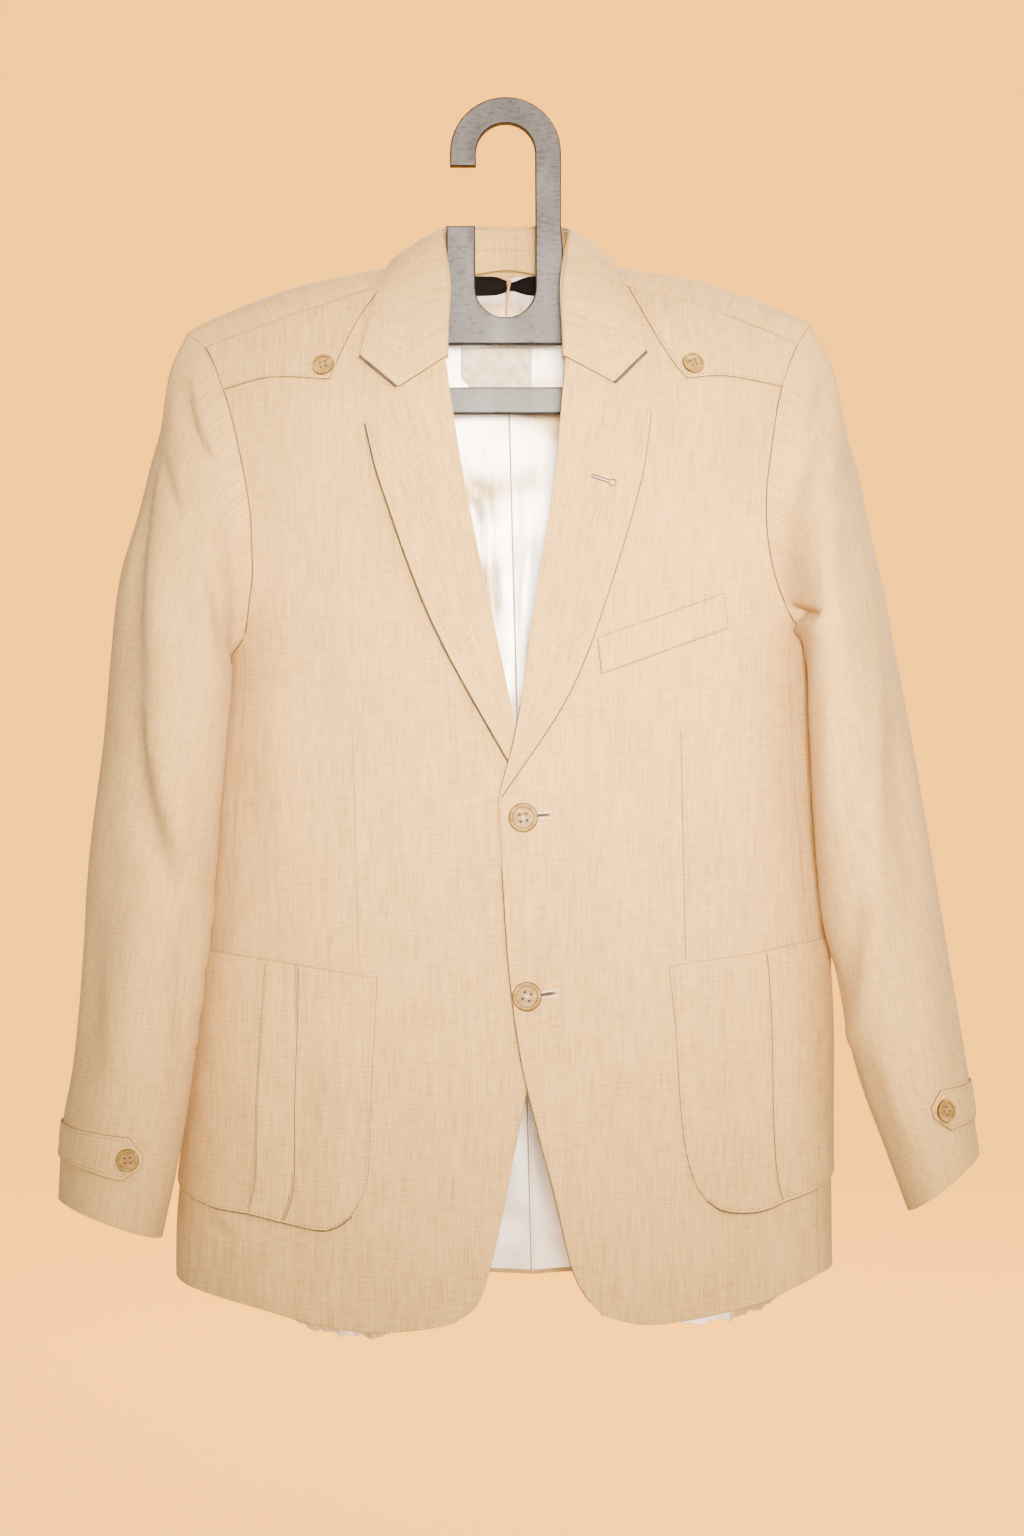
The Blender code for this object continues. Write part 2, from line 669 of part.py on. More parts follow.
def lapel_place(side):
    """Lapel from its roll line to its edge, lying on the front."""
    cut = LAPEL_RIGHT if side < 0 else LAPEL_LEFT

    def bottom(u):
        return along([cut["roll"][0], cut["edge"][0]], u)

    def place(u, v):
        flat = coons(bottom, lambda t: along(cut["gorge"], t, sharp=True),
                     lambda t: along(cut["roll"], t), lambda t: along(cut["edge"], t), u, v)
        points, normal = on_front(flat[..., 0], flat[..., 1])
        rise = LAPEL_REST + CLOTH + lapel_lift(u, v)
        if side > 0:
            rise = rise + overlap(flat[..., 0], flat[..., 1])
        return points + normal * rise[..., None], normal

    return place


def collar_columns(station):
    """Neck seam, fold and edge of the collar at a station, right to left."""
    station = np.asarray(station, dtype=float)
    count = len(COLLAR["neck_x"])
    index = np.arange(2 * count - 1, dtype=float)
    sign = np.where(index < count - 1, -1.0, 1.0)

    def both(column, other=None):
        values = np.concatenate((COLLAR[column], COLLAR[other or column][-2::-1]))
        return through(index, values, station), through(index, values * sign, station)

    neck = drape(both("neck_x")[1], np.radians(both("neck_turn")[0]))
    fold = np.stack([both("fold_x")[1], both("fold_y")[0], both("fold_z")[0]], axis=-1)
    edge, normal = on_drape(both("edge_right", "edge_left")[1], np.radians(both("edge_turn")[0]))
    edge = edge + normal * (LAPEL_REST + CLOTH + COLLAR_EDGE_LIFT)
    return neck, fold, edge, both("inset")[0]


LAST_STATION = 2.0 * (len(COLLAR["neck_x"]) - 1)


def collar_leaf(u, v):
    """Top collar from one end to the other, from its fold to its edge."""
    def end(outline):
        def line(t):
            flat = along(outline, t, sharp=True)
            points, normal = on_front(flat[..., 0], flat[..., 1])
            rise = LAPEL_REST + CLOTH + COLLAR_EDGE_LIFT * np.clip(t, 0, 1) ** 1.5
            return points + normal * rise[..., None]
        return line

    right = end(COLLAR_END_RIGHT)
    left = end(COLLAR_END_LEFT)

    def line(which, first, last):
        def read(t):
            points = collar_columns(t * LAST_STATION)[which]
            ends = collar_columns(np.array([0.0, LAST_STATION]))[which]
            near = ramp(2.0 / LAST_STATION, 0.0, t)[..., None]
            far = ramp(1 - 2.0 / LAST_STATION, 1.0, t)[..., None]
            return points + near * (first - ends[0]) + far * (last - ends[1])
        return read

    zero = np.zeros(1)
    one = np.ones(1)
    fold = line(1, right(zero)[0], left(zero)[0])
    edge = line(2, right(one)[0], left(one)[0])
    share = v[..., None]
    points = fold(u) + (edge(u) - fold(u)) * share
    near_right = ramp(COLLAR_END_SHARE, 0.0, u)
    near_left = ramp(1 - COLLAR_END_SHARE, 1.0, u)
    for outline, near in ((right, near_right), (left, near_left)):
        straight = outline(zero)[0] + (outline(one)[0] - outline(zero)[0]) * share
        points = points + near[..., None] * (outline(v) - straight)
    return points


def collar_place(u, v):
    points, normal = with_normals(collar_leaf, u, v, 0.002, 0.002)
    middle = np.array([0.0, 0.0, -150.0])
    facing = np.sum(normal * (points - middle), axis=-1, keepdims=True)
    normal = normal * np.where(facing < 0, -1.0, 1.0)
    ends = ramp(0.0, 0.06, u) * ramp(1.0, 0.94, u)
    swell = COLLAR_BULGE * 4 * v * (1 - v) * ends
    return points + normal * swell[..., None], normal


def stand_place(u, v):
    """Collar stand from the neck seam up to the fold, inside the top collar."""
    station = 1.0 + u * (LAST_STATION - 2.0)
    neck, fold, edge, inset = collar_columns(station)
    inward = np.array([0.0, -10.0, -112.0]) - fold
    fold = fold + inset[..., None] * inward / np.linalg.norm(inward, axis=-1, keepdims=True)
    rise = fold - neck
    start = neck + 0.9 * rise / np.linalg.norm(rise, axis=-1, keepdims=True)
    points = start + (fold - start) * v[..., None]
    across = np.gradient(points, axis=0)
    up = np.broadcast_to(fold - start, points.shape)
    normal = np.cross(across, up)
    normal = normal / np.linalg.norm(normal, axis=-1, keepdims=True)
    outward = points - np.array([0.0, -10.0, -112.0])
    facing = np.sum(normal * outward, axis=-1, keepdims=True)
    return points, normal * np.where(facing < 0, -1.0, 1.0)


def yoke_place(side):
    """Yoke flap between its inner edge and the armhole, sewn into the shoulder seam."""
    cut = YOKE_RIGHT if side < 0 else YOKE_LEFT

    def right(v):
        turn = cut["armhole_end"] + (SHOULDER_TURN - cut["armhole_end"]) * v
        angle, x, z = armhole(side, turn)
        return np.stack([x, z], axis=-1)

    def bottom(u):
        return along(cut["bottom"] + [tuple(right(np.zeros(1))[0])], u)

    def top(u):
        return along(cut["top"] + [tuple(right(np.ones(1))[0])], u)

    def place(u, v):
        flat = coons(bottom, top, lambda t: along(cut["inner"], t), right, u, v)
        points, normal = on_front(flat[..., 0], flat[..., 1])
        return points + normal * (SEAM_GAP + FLAP_CLOTH), normal

    return place


def pocket_place(side):
    """Patch pocket round the side of the body, with its pleat and its fullness."""
    cut = POCKET_RIGHT if side < 0 else POCKET_LEFT
    pleats = PLEATS_RIGHT if side < 0 else PLEATS_LEFT

    def to_girth(points):
        points = np.array(points, dtype=float)
        return np.stack([girth_angle(points[:, 0], points[:, 1]), points[:, 1]], axis=-1)

    def side_edge():
        rows = np.array(cut["side"], dtype=float)
        rows[:, 0] = rows[:, 0] if side > 0 else 180 - rows[:, 0]
        return rows

    edge = side_edge()

    def bottom(u):
        return along(np.vstack([to_girth(cut["bottom"]), edge[:1]]), u)

    def top(u):
        return along(np.vstack([to_girth(cut["top"]), edge[1:]]), u)

    def place(u, v):
        flat = coons(bottom, top, lambda t: along(to_girth(cut["inner"]), t),
                     lambda t: along(edge, t), u, v)
        points, normal = on_girth(flat[..., 0], flat[..., 1])
        full = POCKET_FULLNESS * np.sin(math.pi * np.clip(u, 0, 1)) * ramp(0.0, 0.6, v)
        inside = np.zeros_like(full)
        for start, end in zip(pleats["start"], pleats["end"]):
            inside = np.maximum(inside, np.where((u >= start) & (u <= end), 1.0, 0.0))
        rise = 2 * SEAM_GAP + CLOTH + full + PLEAT_RISE * inside * ramp(0.0, 0.05, u)
        return points + normal * rise[..., None], normal

    return place


def welt_place(u, v):
    low = along(WELT["left"], v)
    high = along(WELT["right"], v)
    flat = low + (high - low) * u[..., None]
    points, normal = on_front(flat[..., 0], flat[..., 1])
    rise = overlap(flat[..., 0], flat[..., 1]) + WELT_REST + FLAP_CLOTH
    return points + normal * rise[..., None], normal


def tab_place(side):
    """Cuff tab round the outside of a sleeve, with a pointed end."""
    cut = TAB_RIGHT if side < 0 else TAB_LEFT

    def place(u, v):
        turn = cut["start"] + (cut["tip"] - cut["start"]) * u
        point = np.clip((cut["tip"] - turn) / TAB_POINT, 0.0, 1.0)
        half = cut["half"] * (0.25 + 0.75 * point)
        ring = cut["ring"] + cut["rise"] * np.clip(turn, 0, None) / cut["tip"] + half * (2 * v - 1)
        points, normal = sleeve_surface(side, turn, ring)
        return points + normal * (TAB_REST + FLAP_CLOTH), normal

    return place


def lining_depth(z):
    """How far the back lining lies inside the outer face, looser at the neck and the hem."""
    ease = LINING_NECK_REST * ramp(-240.0, -150.0, z) + LINING_HEM_EASE * ramp(-770.0, -825.0, z)
    return CLOTH + LINING_REST + ease


def lining_back_place(side):
    """Back lining inside the back cloth, from under the neck seam to just above the hem."""
    outer = side * 175.0
    hem_side = BACK_HEM_SIDE_RIGHT if side < 0 else BACK_HEM_SIDE_LEFT
    hem_centre = BACK_CENTRE[0][1]

    def place(u, v):
        centre = np.interp(v, [0, 1], [19.0, 0.0])
        x = centre + (outer - centre) * u
        start = drape_turn(x, hem_centre + (hem_side - hem_centre) * u + LINING_HEM_REST, front=False)
        end = -np.radians(61.0 - 23.0 * np.clip(np.abs(x) / 64.0, 0, 1))
        points, normal = on_drape(x, start + (end - start) * v)
        return points - normal * lining_depth(points[..., 2])[..., None], normal

    return place


def lining_front_place(side, start, end, peek):
    """Strip of lining inside a front's hem that shows below it."""
    cut = FRONT_RIGHT if side < 0 else FRONT_LEFT
    hem = np.array(sorted(cut["hem"]), dtype=float)
    top = -790.0

    def place(u, v):
        x = start + (end - start) * u
        low = np.interp(x, hem[:, 0], hem[:, 1]) - peek * np.sin(math.pi * u) ** 0.5
        points, normal = on_front(x, low + (top - low) * v)
        return points - normal * (CLOTH + HEM_LINING_REST), normal

    return place


def inside_back(x_range, z_range, rest):
    """Flat piece on the back lining between two distances across and two heights."""
    def place(u, v):
        x = x_range[0] + (x_range[1] - x_range[0]) * u
        z = z_range[0] + (z_range[1] - z_range[0]) * v
        points, normal = on_drape(x, drape_turn(x, z, front=False))
        depth = lining_depth(z) + LINING_CLOTH + rest
        return points - normal * depth[..., None], normal

    return place


def clear_scene():
    for item in list(bpy.data.objects):
        bpy.data.objects.remove(item, do_unlink=True)


def finish(name, colour, roughness):
    """Plain material of one piece."""
    material = bpy.data.materials.new(name)
    material.use_nodes = True
    shader = material.node_tree.nodes["Principled BSDF"]
    shader.inputs["Base Color"].default_value = (*colour, 1.0)
    shader.inputs["Roughness"].default_value = roughness
    shader.inputs["Metallic"].default_value = 0.0
    return material


LINEN = ((0.76, 0.62, 0.44), 0.85)
SATIN = ((0.93, 0.90, 0.85), 0.35)
PATCH = ((0.85, 0.76, 0.64), 0.8)
LABEL = ((0.012, 0.010, 0.011), 0.6)
BUTTON = ((0.74, 0.58, 0.36), 0.3)
PLASTIC = ((0.27, 0.27, 0.28), 0.45)


def add_object(name, data, look, collection):
    item = bpy.data.objects.new(name, data)
    data.materials.append(finish(name + "_finish", *look))
    collection.objects.link(item)
    return item


def cloth(name, place, cols, rows, thick, look, collection):
    """Closed wall of cloth: a grid laid on the piece's surface and given its thickness."""
    across = len(cols) - 1
    down = len(rows) - 1
    u, v = np.meshgrid(cols, rows, indexing="ij")
    outer, normal = place(u, v)
    inner = outer - thick * normal
    shape = bmesh.new()
    bmesh.ops.create_grid(shape, x_segments=across, y_segments=down, size=0.5)
    deep = bmesh.ops.extrude_face_region(shape, geom=shape.faces[:])["geom"]
    deep = {item for item in deep if isinstance(item, bmesh.types.BMVert)}
    for corner in shape.verts:
        i = round((corner.co.x + 0.5) * across)
        j = round((corner.co.y + 0.5) * down)
        corner.co = Vector((inner if corner in deep else outer)[i, j] * MM)
    bmesh.ops.recalc_face_normals(shape, faces=shape.faces[:])
    if shape.calc_volume(signed=True) < 0:
        bmesh.ops.reverse_faces(shape, faces=shape.faces[:])
    mesh = bpy.data.meshes.new(name)
    shape.to_mesh(mesh)
    shape.free()
    return add_object(name, mesh, look, collection)


def button_mesh(name, diameter, thick, cutters):
    """Disc with four holes, its underside at the origin."""
    disc = bmesh.new()
    bmesh.ops.create_cone(disc, cap_ends=True, segments=28, radius1=diameter / 2 * MM,
                          radius2=diameter / 2 * MM, depth=thick * MM,
                          matrix=Matrix.Translation((0, 0, thick / 2 * MM)))
    base = bpy.data.meshes.new(name)
    disc.to_mesh(base)
    disc.free()
    holes = bmesh.new()
    spread = diameter * 0.115
    for sx in (-1, 1):
        for sy in (-1, 1):
            bmesh.ops.create_cone(holes, cap_ends=True, segments=8, radius1=diameter * 0.055 * MM,
                                  radius2=diameter * 0.055 * MM, depth=4 * thick * MM,
                                  matrix=Matrix.Translation((sx * spread * MM, sy * spread * MM, 0)))
    cut = bpy.data.meshes.new(name + "_holes")
    holes.to_mesh(cut)
    holes.free()
    disc_item = bpy.data.objects.new(name + "_disc", base)
    hole_item = bpy.data.objects.new(name + "_holes", cut)
    for item in (disc_item, hole_item):
        item.hide_render = True
        item.display_type = "WIRE"
        cutters.objects.link(item)
    change = disc_item.modifiers.new("holes", "BOOLEAN")
    change.operation = "DIFFERENCE"
    change.solver = "EXACT"
    change.object = hole_item
    bpy.context.view_layer.update()
    graph = bpy.context.evaluated_depsgraph_get()
    return bpy.data.meshes.new_from_object(disc_item.evaluated_get(graph))


def button(name, mesh, point, normal, collection):
    """One button, seated on its cloth and facing away from it."""
    item = add_object(name, mesh.copy(), BUTTON, collection)
    item.location = Vector((point + SEAM_GAP * normal) * MM)
    item.rotation_mode = "QUATERNION"
    item.rotation_quaternion = Vector((0, 0, 1)).rotation_difference(Vector(normal))
    return item


def arc(centre_x, centre_z, radius, start, end, count):
    turns = np.radians(np.linspace(start, end, count))
    return [(centre_x + radius * math.cos(t), centre_z + radius * math.sin(t)) for t in turns]


def hanger_outline():
    """Outer line of the hanger: hook, right shoulder, bar, left shoulder and open slot."""
    def shoulder(side, xs):
        return [(side * x, float(ridge(side * x)) - HANGER_DROP - HANGER_TIP_DROP * (x / 200.0) ** 2)
                for x in xs]

    reach = [66, 84, 110, 140, 170, 196]
    line = [(-HOOK_OUTER, -31.0)]
    line += arc(0, HOOK_CENTRE_Z, HOOK_OUTER, 180, 0, 25)
    line += [(40.0, -75.0), (42.0, -100.0), (50.0, -110.0)]
    line += shoulder(1, reach) + [(202.0, -152.0), (202.0, -196.0), (192.0, -209.0)]
    line += [(-192.0, -209.0), (-204.0, -196.0), (-204.0, -154.0)] + shoulder(-1, reach[::-1])
    line += [(-50.0, -110.0), (-42.5, -100.0), (-42.5, -74.0), (-21.8, -74.0)]
    line += arc(0, -118.0, 21.7, 180, 360, 17)
    line += arc(0, HOOK_CENTRE_Z, HOOK_INNER, 0, 180, 19)
    line += [(-HOOK_INNER, -31.0)]
    return line


def hanger_hole():
    """Opening between the shoulders and the trouser bar."""
    return [(-182, -190), (-182, -178), (-42, -159), (42, -159), (182, -178), (182, -190)]


def hanger(collection):
    data = bpy.data.curves.new("hanger", "CURVE")
    data.dimensions = "2D"
    data.fill_mode = "BOTH"
    data.extrude = HANGER_THICK / 2 * MM
    for outline in (hanger_outline(), hanger_hole()):
        line = data.splines.new("POLY")
        line.points.add(len(outline) - 1)
        for spot, (x, z) in zip(line.points, outline):
            spot.co = (x * MM, z * MM, 0.0, 1.0)
        line.use_cyclic_u = True
    item = add_object("hanger", data, PLASTIC, collection)
    item.rotation_euler = (math.pi / 2, 0.0, 0.0)
    return item


def neck_loop(collection):
    """Folded loop of cloth that hangs from the neck seam over the label."""
    data = bpy.data.curves.new("neck_loop", "CURVE")
    data.dimensions = "3D"
    data.bevel_depth = LOOP_RADIUS * MM
    data.bevel_resolution = 2
    data.use_fill_caps = True
    line = data.splines.new("POLY")
    heights = np.linspace(LOOP_TOP, LOOP_TOP - LOOP_LONG, 6)
    line.points.add(len(heights) - 1)
    for spot, z in zip(line.points, heights):
        x = np.array([LOOP_X + (z - LOOP_TOP) * LOOP_LEAN])
        points, normal = on_drape(x, drape_turn(x, z, front=False))
        depth = float(lining_depth(z)) + LINING_CLOTH + LABEL_REST + LABEL_CLOTH
        depth = depth + 2 * SEAM_GAP + LOOP_RADIUS
        spot.co = (*(points[0] - normal[0] * depth) * MM, 1.0)
    return add_object("neck_loop", data, LINEN, collection)


def spread(count, start=0.0, end=1.0):
    return np.linspace(start, end, count + 1)


def build():
    clear_scene()
    parts = bpy.data.collections.new("two_button_blazer")
    cutters = bpy.data.collections.new("cutters")
    bpy.context.scene.collection.children.link(parts)
    bpy.context.scene.collection.children.link(cutters)

    front_turns = np.linspace(FRONT_SIDE_TURN, SHOULDER_TURN, 9)
    side_turns = np.linspace(FRONT_SIDE_TURN, BACK_SIDE_TURN, 5)
    back_turns = np.linspace(BACK_SIDE_TURN, 360 + SHOULDER_TURN, 10)
    low_shares = np.concatenate(([0.0, 0.022, 0.05, 0.085, 0.13, 0.19], spread(9, 0.26, 1.0)))
    low_rows = low_shares * SIDE_SHARE
    side_rows = np.minimum(low_shares, 1 - ARMHOLE_SEAM)
    front_rows = np.concatenate((low_rows, spread(8, SIDE_SHARE, 1 - SHOULDER_SEAM)[1:]))
    back_rows = np.concatenate((low_rows, spread(9, SIDE_SHARE, 1 - SHOULDER_SEAM)[1:]))
    front_cols = spread(8, 0.0, 1 - FRONT_SEAM)
    back_cols = np.concatenate((spread(5, CENTRE_SEAM, 0.3), spread(8, 0.3, 1 - BACK_SEAM)[1:]))
    side_cols = spread(4, PANEL_SEAM, 1 - PANEL_SEAM)
    upper_turns = np.concatenate((back_turns[2:] - 360, front_turns[::-1][1:]))
    under_turns = np.concatenate((side_turns, back_turns[1:3]))
    sleeve_rows = np.concatenate((spread(8, 0.0, 4 / 11), spread(9, 4 / 11, 1.0)[1:]))

    for side, name in ((-1, "right"), (1, "left")):
        cloth("front_" + name, front_panel(side), front_cols, front_rows, CLOTH, LINEN, parts)
        cloth("side_" + name, side_panel(side), side_cols, side_rows, CLOTH, LINEN, parts)
        cloth("back_" + name, back_panel(side), back_cols, back_rows, CLOTH, LINEN, parts)
        upper_cols = spread(len(upper_turns) - 1)
        upper_cols[[0, -1]] = [SLEEVE_SEAM, 1 - SLEEVE_SEAM]
        under_cols = spread(len(under_turns) - 1)
        under_cols[[0, -1]] = [UNDER_SEAM, 1 - UNDER_SEAM]
        cloth("sleeve_upper_" + name, sleeve_place(side, upper_turns), upper_cols, sleeve_rows,
              CLOTH, LINEN, parts)
        cloth("sleeve_under_" + name, sleeve_place(side, under_turns), under_cols, sleeve_rows,
              CLOTH, LINEN, parts)
        cloth("lapel_" + name, lapel_place(side), np.array([0, 0.18, 0.36, 0.531, 0.77, 1.0]),
              spread(14, 0.0, 1 - GORGE_SEAM), CLOTH, LINEN, parts)
        cloth("yoke_flap_" + name, yoke_place(side), spread(6, 0.0, 1 - YOKE_SIDE_SEAM),
              spread(6, 0.0, 1 - YOKE_TOP_SEAM), FLAP_CLOTH, LINEN, parts)
        pleats = PLEATS_RIGHT if side < 0 else PLEATS_LEFT
        edges = np.concatenate((pleats["start"] - 0.006, pleats["start"], pleats["end"],
                                pleats["end"] + 0.006))
        pocket_cols = np.concatenate((spread(7, 0.0, 0.65), spread(9, 0.65, 1.0), edges[edges > 0]))
        pocket_cols = np.unique(np.round(pocket_cols, 4))
        cloth("pocket_" + name, pocket_place(side), pocket_cols, spread(7), CLOTH, LINEN, parts)
        tab_cols = np.concatenate((spread(12, 0.0, 0.88), spread(3, 0.88, 1.0)[1:]))
        cloth("cuff_tab_" + name, tab_place(side), tab_cols, spread(3), FLAP_CLOTH, LINEN, parts)
        lining_cols = np.array([LINING_SEAM, 0.06, 0.12, 0.2, 0.35, 0.55, 0.78, 1.0])
        lining_rows = np.concatenate((spread(14, 0.0, 0.86), spread(6, 0.86, 1.0)[1:]))
        cloth("lining_back_" + name, lining_back_place(side), lining_cols, lining_rows,
              LINING_CLOTH, SATIN, parts)
    cloth("lining_front_right", lining_front_place(-1, -150.0, -78.0, 5.0), spread(8), spread(2),
          LINING_CLOTH, SATIN, parts)
    cloth("lining_front_left", lining_front_place(1, 122.0, 196.0, 6.0), spread(8), spread(2),
          LINING_CLOTH, SATIN, parts)
    cloth("breast_welt", welt_place, spread(8), spread(2), FLAP_CLOTH, LINEN, parts)
    leaf_rows = np.array([0, 0.15, 0.33, 0.534, 0.77, 1.0])
    leaf_cols = spread(32, COLLAR_SEAM, 1 - COLLAR_SEAM)
    cloth("collar_leaf", collar_place, leaf_cols, leaf_rows, CLOTH, LINEN, parts)
    cloth("collar_stand", stand_place, spread(14), spread(3), CLOTH, LINEN, parts)
    cloth("lining_patch", inside_back(PATCH_X, PATCH_Z, PATCH_REST), spread(5), spread(3),
          LABEL_CLOTH, PATCH, parts)
    cloth("neck_label", inside_back(LABEL_X, LABEL_Z, LABEL_REST), spread(6), spread(2),
          LABEL_CLOTH, LABEL, parts)
    neck_loop(parts)

    large = button_mesh("front_button", FRONT_BUTTON, 3.2, cutters)
    small = button_mesh("small_button", SMALL_BUTTON, 2.8, cutters)
    for name, (x, z) in (("upper", FRONT_UPPER_AT), ("lower", FRONT_LOWER_AT)):
        points, normal = on_front(np.array([x]), np.array([z]))
        seat = points[0] + normal[0] * overlap(np.array([x]), np.array([z]))[0]
        button("button_front_" + name, large, seat, normal[0], parts)
    for name, (x, z) in (("right", YOKE_RIGHT_AT), ("left", YOKE_LEFT_AT)):
        points, normal = on_front(np.array([x]), np.array([z]))
        seat = points[0] + normal[0] * (SEAM_GAP + FLAP_CLOTH)
        button("button_yoke_" + name, small, seat, normal[0], parts)
    for side, name, tab in ((-1, "right", TAB_RIGHT), (1, "left", TAB_LEFT)):
        turn = np.array([tab["tip"] - 14.0])
        points, normal = sleeve_surface(side, turn, np.array([tab["ring"] + tab["rise"] * 0.9]))
        seat = points[0] + normal[0] * (TAB_REST + FLAP_CLOTH)
        button("button_cuff_" + name, small, seat, normal[0], parts)
    hanger(parts)


build()
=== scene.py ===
"""Looks of a two-button linen blazer on its hanger, laid out as a Blender add-on.

Every piece is in metres in the solids' own frame: +Z up, the front faces -Y, the wearer's
left is at +X, and the origin is the seat of the hanger's hook. The surfaces are the solids'
own functions, read on a finer grid, with the creases, seams and stitches added to them.
"""

import math

import bmesh
import bpy
import numpy as np
from mathutils import Matrix, Vector


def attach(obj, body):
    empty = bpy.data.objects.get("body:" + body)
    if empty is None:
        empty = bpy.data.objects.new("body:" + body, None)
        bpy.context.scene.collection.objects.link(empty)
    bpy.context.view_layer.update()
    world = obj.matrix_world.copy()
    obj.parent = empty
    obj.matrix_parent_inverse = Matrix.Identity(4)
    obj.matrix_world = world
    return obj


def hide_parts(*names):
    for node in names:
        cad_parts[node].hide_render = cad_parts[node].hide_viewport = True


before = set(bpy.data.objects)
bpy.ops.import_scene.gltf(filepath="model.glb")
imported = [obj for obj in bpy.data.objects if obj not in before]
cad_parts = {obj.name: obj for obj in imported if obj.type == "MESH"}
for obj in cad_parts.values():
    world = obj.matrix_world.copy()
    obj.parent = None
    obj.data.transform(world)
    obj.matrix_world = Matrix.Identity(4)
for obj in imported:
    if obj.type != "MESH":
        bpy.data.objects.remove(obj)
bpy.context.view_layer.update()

bl_info = {
    "name": "Two-button blazer",
    "version": (1, 0, 0),
    "blender": (4, 5, 0),
    "location": "View3D > Sidebar > Blazer",
    "description": "Dresses the solids of a two-button linen blazer on its hanger",
    "category": "Object",
}

MM = 0.001
SEAM_GAP = 0.3
CLOTH = 1.5
FLAP_CLOTH = 1.2
LINING_CLOTH = 1.0
LABEL_CLOTH = 1.0

# The body is a tube of rounded sections that closes over the shoulders on a ridge.
FRONT_CAP = 130.0
BACK_CAP = 80.0
CAP_POWER = 1.5

# The wearer's left front lies over the right one by this much at its edge.
OVERLAP_LIFT = 5.5
OVERLAP_FULL_X = 50.0
OVERLAP_END_X = 112.0
OVERLAP_FULL_Z = -425.0
OVERLAP_END_Z = -335.0

LAPEL_EDGE_LIFT = 5.0
COLLAR_EDGE_LIFT = 2.5
COLLAR_BULGE = 2.2
COLLAR_END_SHARE = 0.13
LAPEL_REST = 0.7
TAB_REST = 0.6
LINING_REST = 1.3
LINING_NECK_REST = 3.8
LINING_HEM_REST = 3.5
LINING_HEM_EASE = 1.0
PATCH_REST = 0.6
LABEL_REST = 1.2
WELT_REST = 0.8
HEM_LINING_REST = 0.8

# Armhole turns in degrees, 0 at the shoulder tip, 90 at the front, 180 under the arm.
SHOULDER_TURN = 18.0
UNDERARM_SPREAD = 45.0
FRONT_SIDE_TURN = 150.0
BACK_SIDE_TURN = 215.0
SIDE_HEM_GIRTH = 24.0
SIDE_HEM_RISE = np.array([0.0, 4.0])

LOOP_RADIUS = 1.8
LOOP_TOP = -101.0
LOOP_LONG = 30.0
LOOP_X = 3.2
LOOP_LEAN = 0.1
FRONT_BUTTON = 20.5
SMALL_BUTTON = 16.0

HANGER_THICK = 10.0
HOOK_OUTER = 40.0
HOOK_INNER = 21.2
HOOK_CENTRE_Z = -21.3
HANGER_DROP = 7.0
HANGER_TIP_DROP = 2.2

# Shares of a panel's height and of the centre back that lie below the armhole, and turns in
# millimetres to weigh them against distances along a line.
SIDE_SHARE = 0.6
CENTRE_SHARE = 0.6
TURN_SCALE = np.array([1.0, 100.0])

# Shares of a piece's width or height that leave half a seam gap at its sewn edges.
ARMHOLE_GAP = 0.12
SLEEVE_SEAM = 0.0002
UNDER_SEAM = 0.0005
ARMHOLE_SEAM = 0.0002
SHOULDER_SEAM = 0.0004
FRONT_SEAM = 0.0003
CENTRE_SEAM = 0.0003
BACK_SEAM = 0.0003
PANEL_SEAM = 0.0007
LINING_SEAM = 0.001
YOKE_SIDE_SEAM = 0.004
YOKE_TOP_SEAM = 0.008
GORGE_SEAM = 0.0015
COLLAR_SEAM = 0.0012

# Steps over which a surface's slopes are read: millimetres or degrees on the body, radians
# over the shoulder, degrees and rings on a sleeve, shares on the collar.
SLOPE_STEP = 0.05
SLOPE_TURN = 0.0005
SLEEVE_SLOPE = (0.5, 0.01)
COLLAR_SLOPE = 0.002

# A sleeve takes up the armhole's form over its first rings, and never gets thinner than this.
ARMHOLE_RINGS = 4.0
THIN_SLEEVE = 4.0
FIRST_RING = 1e-6

# Points inside the neck that the collar and its stand face away from.
COLLAR_MIDDLE = np.array([0.0, 0.0, -150.0])
STAND_MIDDLE = np.array([0.0, -10.0, -112.0])
STAND_START = 0.9

# Back lining: outer edge, centre at the hem and the neck, turn of its top edge and how it
# falls to the sides, and the heights between which it eases at the neck and the hem.
LINING_OUTER = 175.0
LINING_CENTRE = (19.0, 0.0)
LINING_TOP_TURN = 61.0
LINING_TOP_FALL = 23.0
LINING_TOP_REACH = 64.0
LINING_NECK_Z = (-240.0, -150.0)
LINING_HEM_Z = (-770.0, -825.0)
HEM_LINING_TOP = -790.0


def columns(names, rows):
    """Read a table's rows into one array for each named column."""
    return dict(zip(names.split(), np.array(rows, dtype=float).T))


def through(keys, values, at):
    """Smooth line through a column's values, held at its ends."""
    at = np.clip(np.asarray(at, dtype=float), keys[0], keys[-1])
    span = np.diff(keys)
    rise = np.diff(values) / span
    inner = (values[2:] - values[:-2]) / (keys[2:] - keys[:-2])
    slope = np.concatenate((rise[:1], inner, rise[-1:]))
    i = np.clip(np.searchsorted(keys, at) - 1, 0, len(span) - 1)
    t = (at - keys[i]) / span[i]
    start = values[i] * (1 + 2 * t) * (1 - t) ** 2 + span[i] * slope[i] * t * (1 - t) ** 2
    end = values[i + 1] * t * t * (3 - 2 * t) + span[i] * slope[i + 1] * t * t * (t - 1)
    return start + end


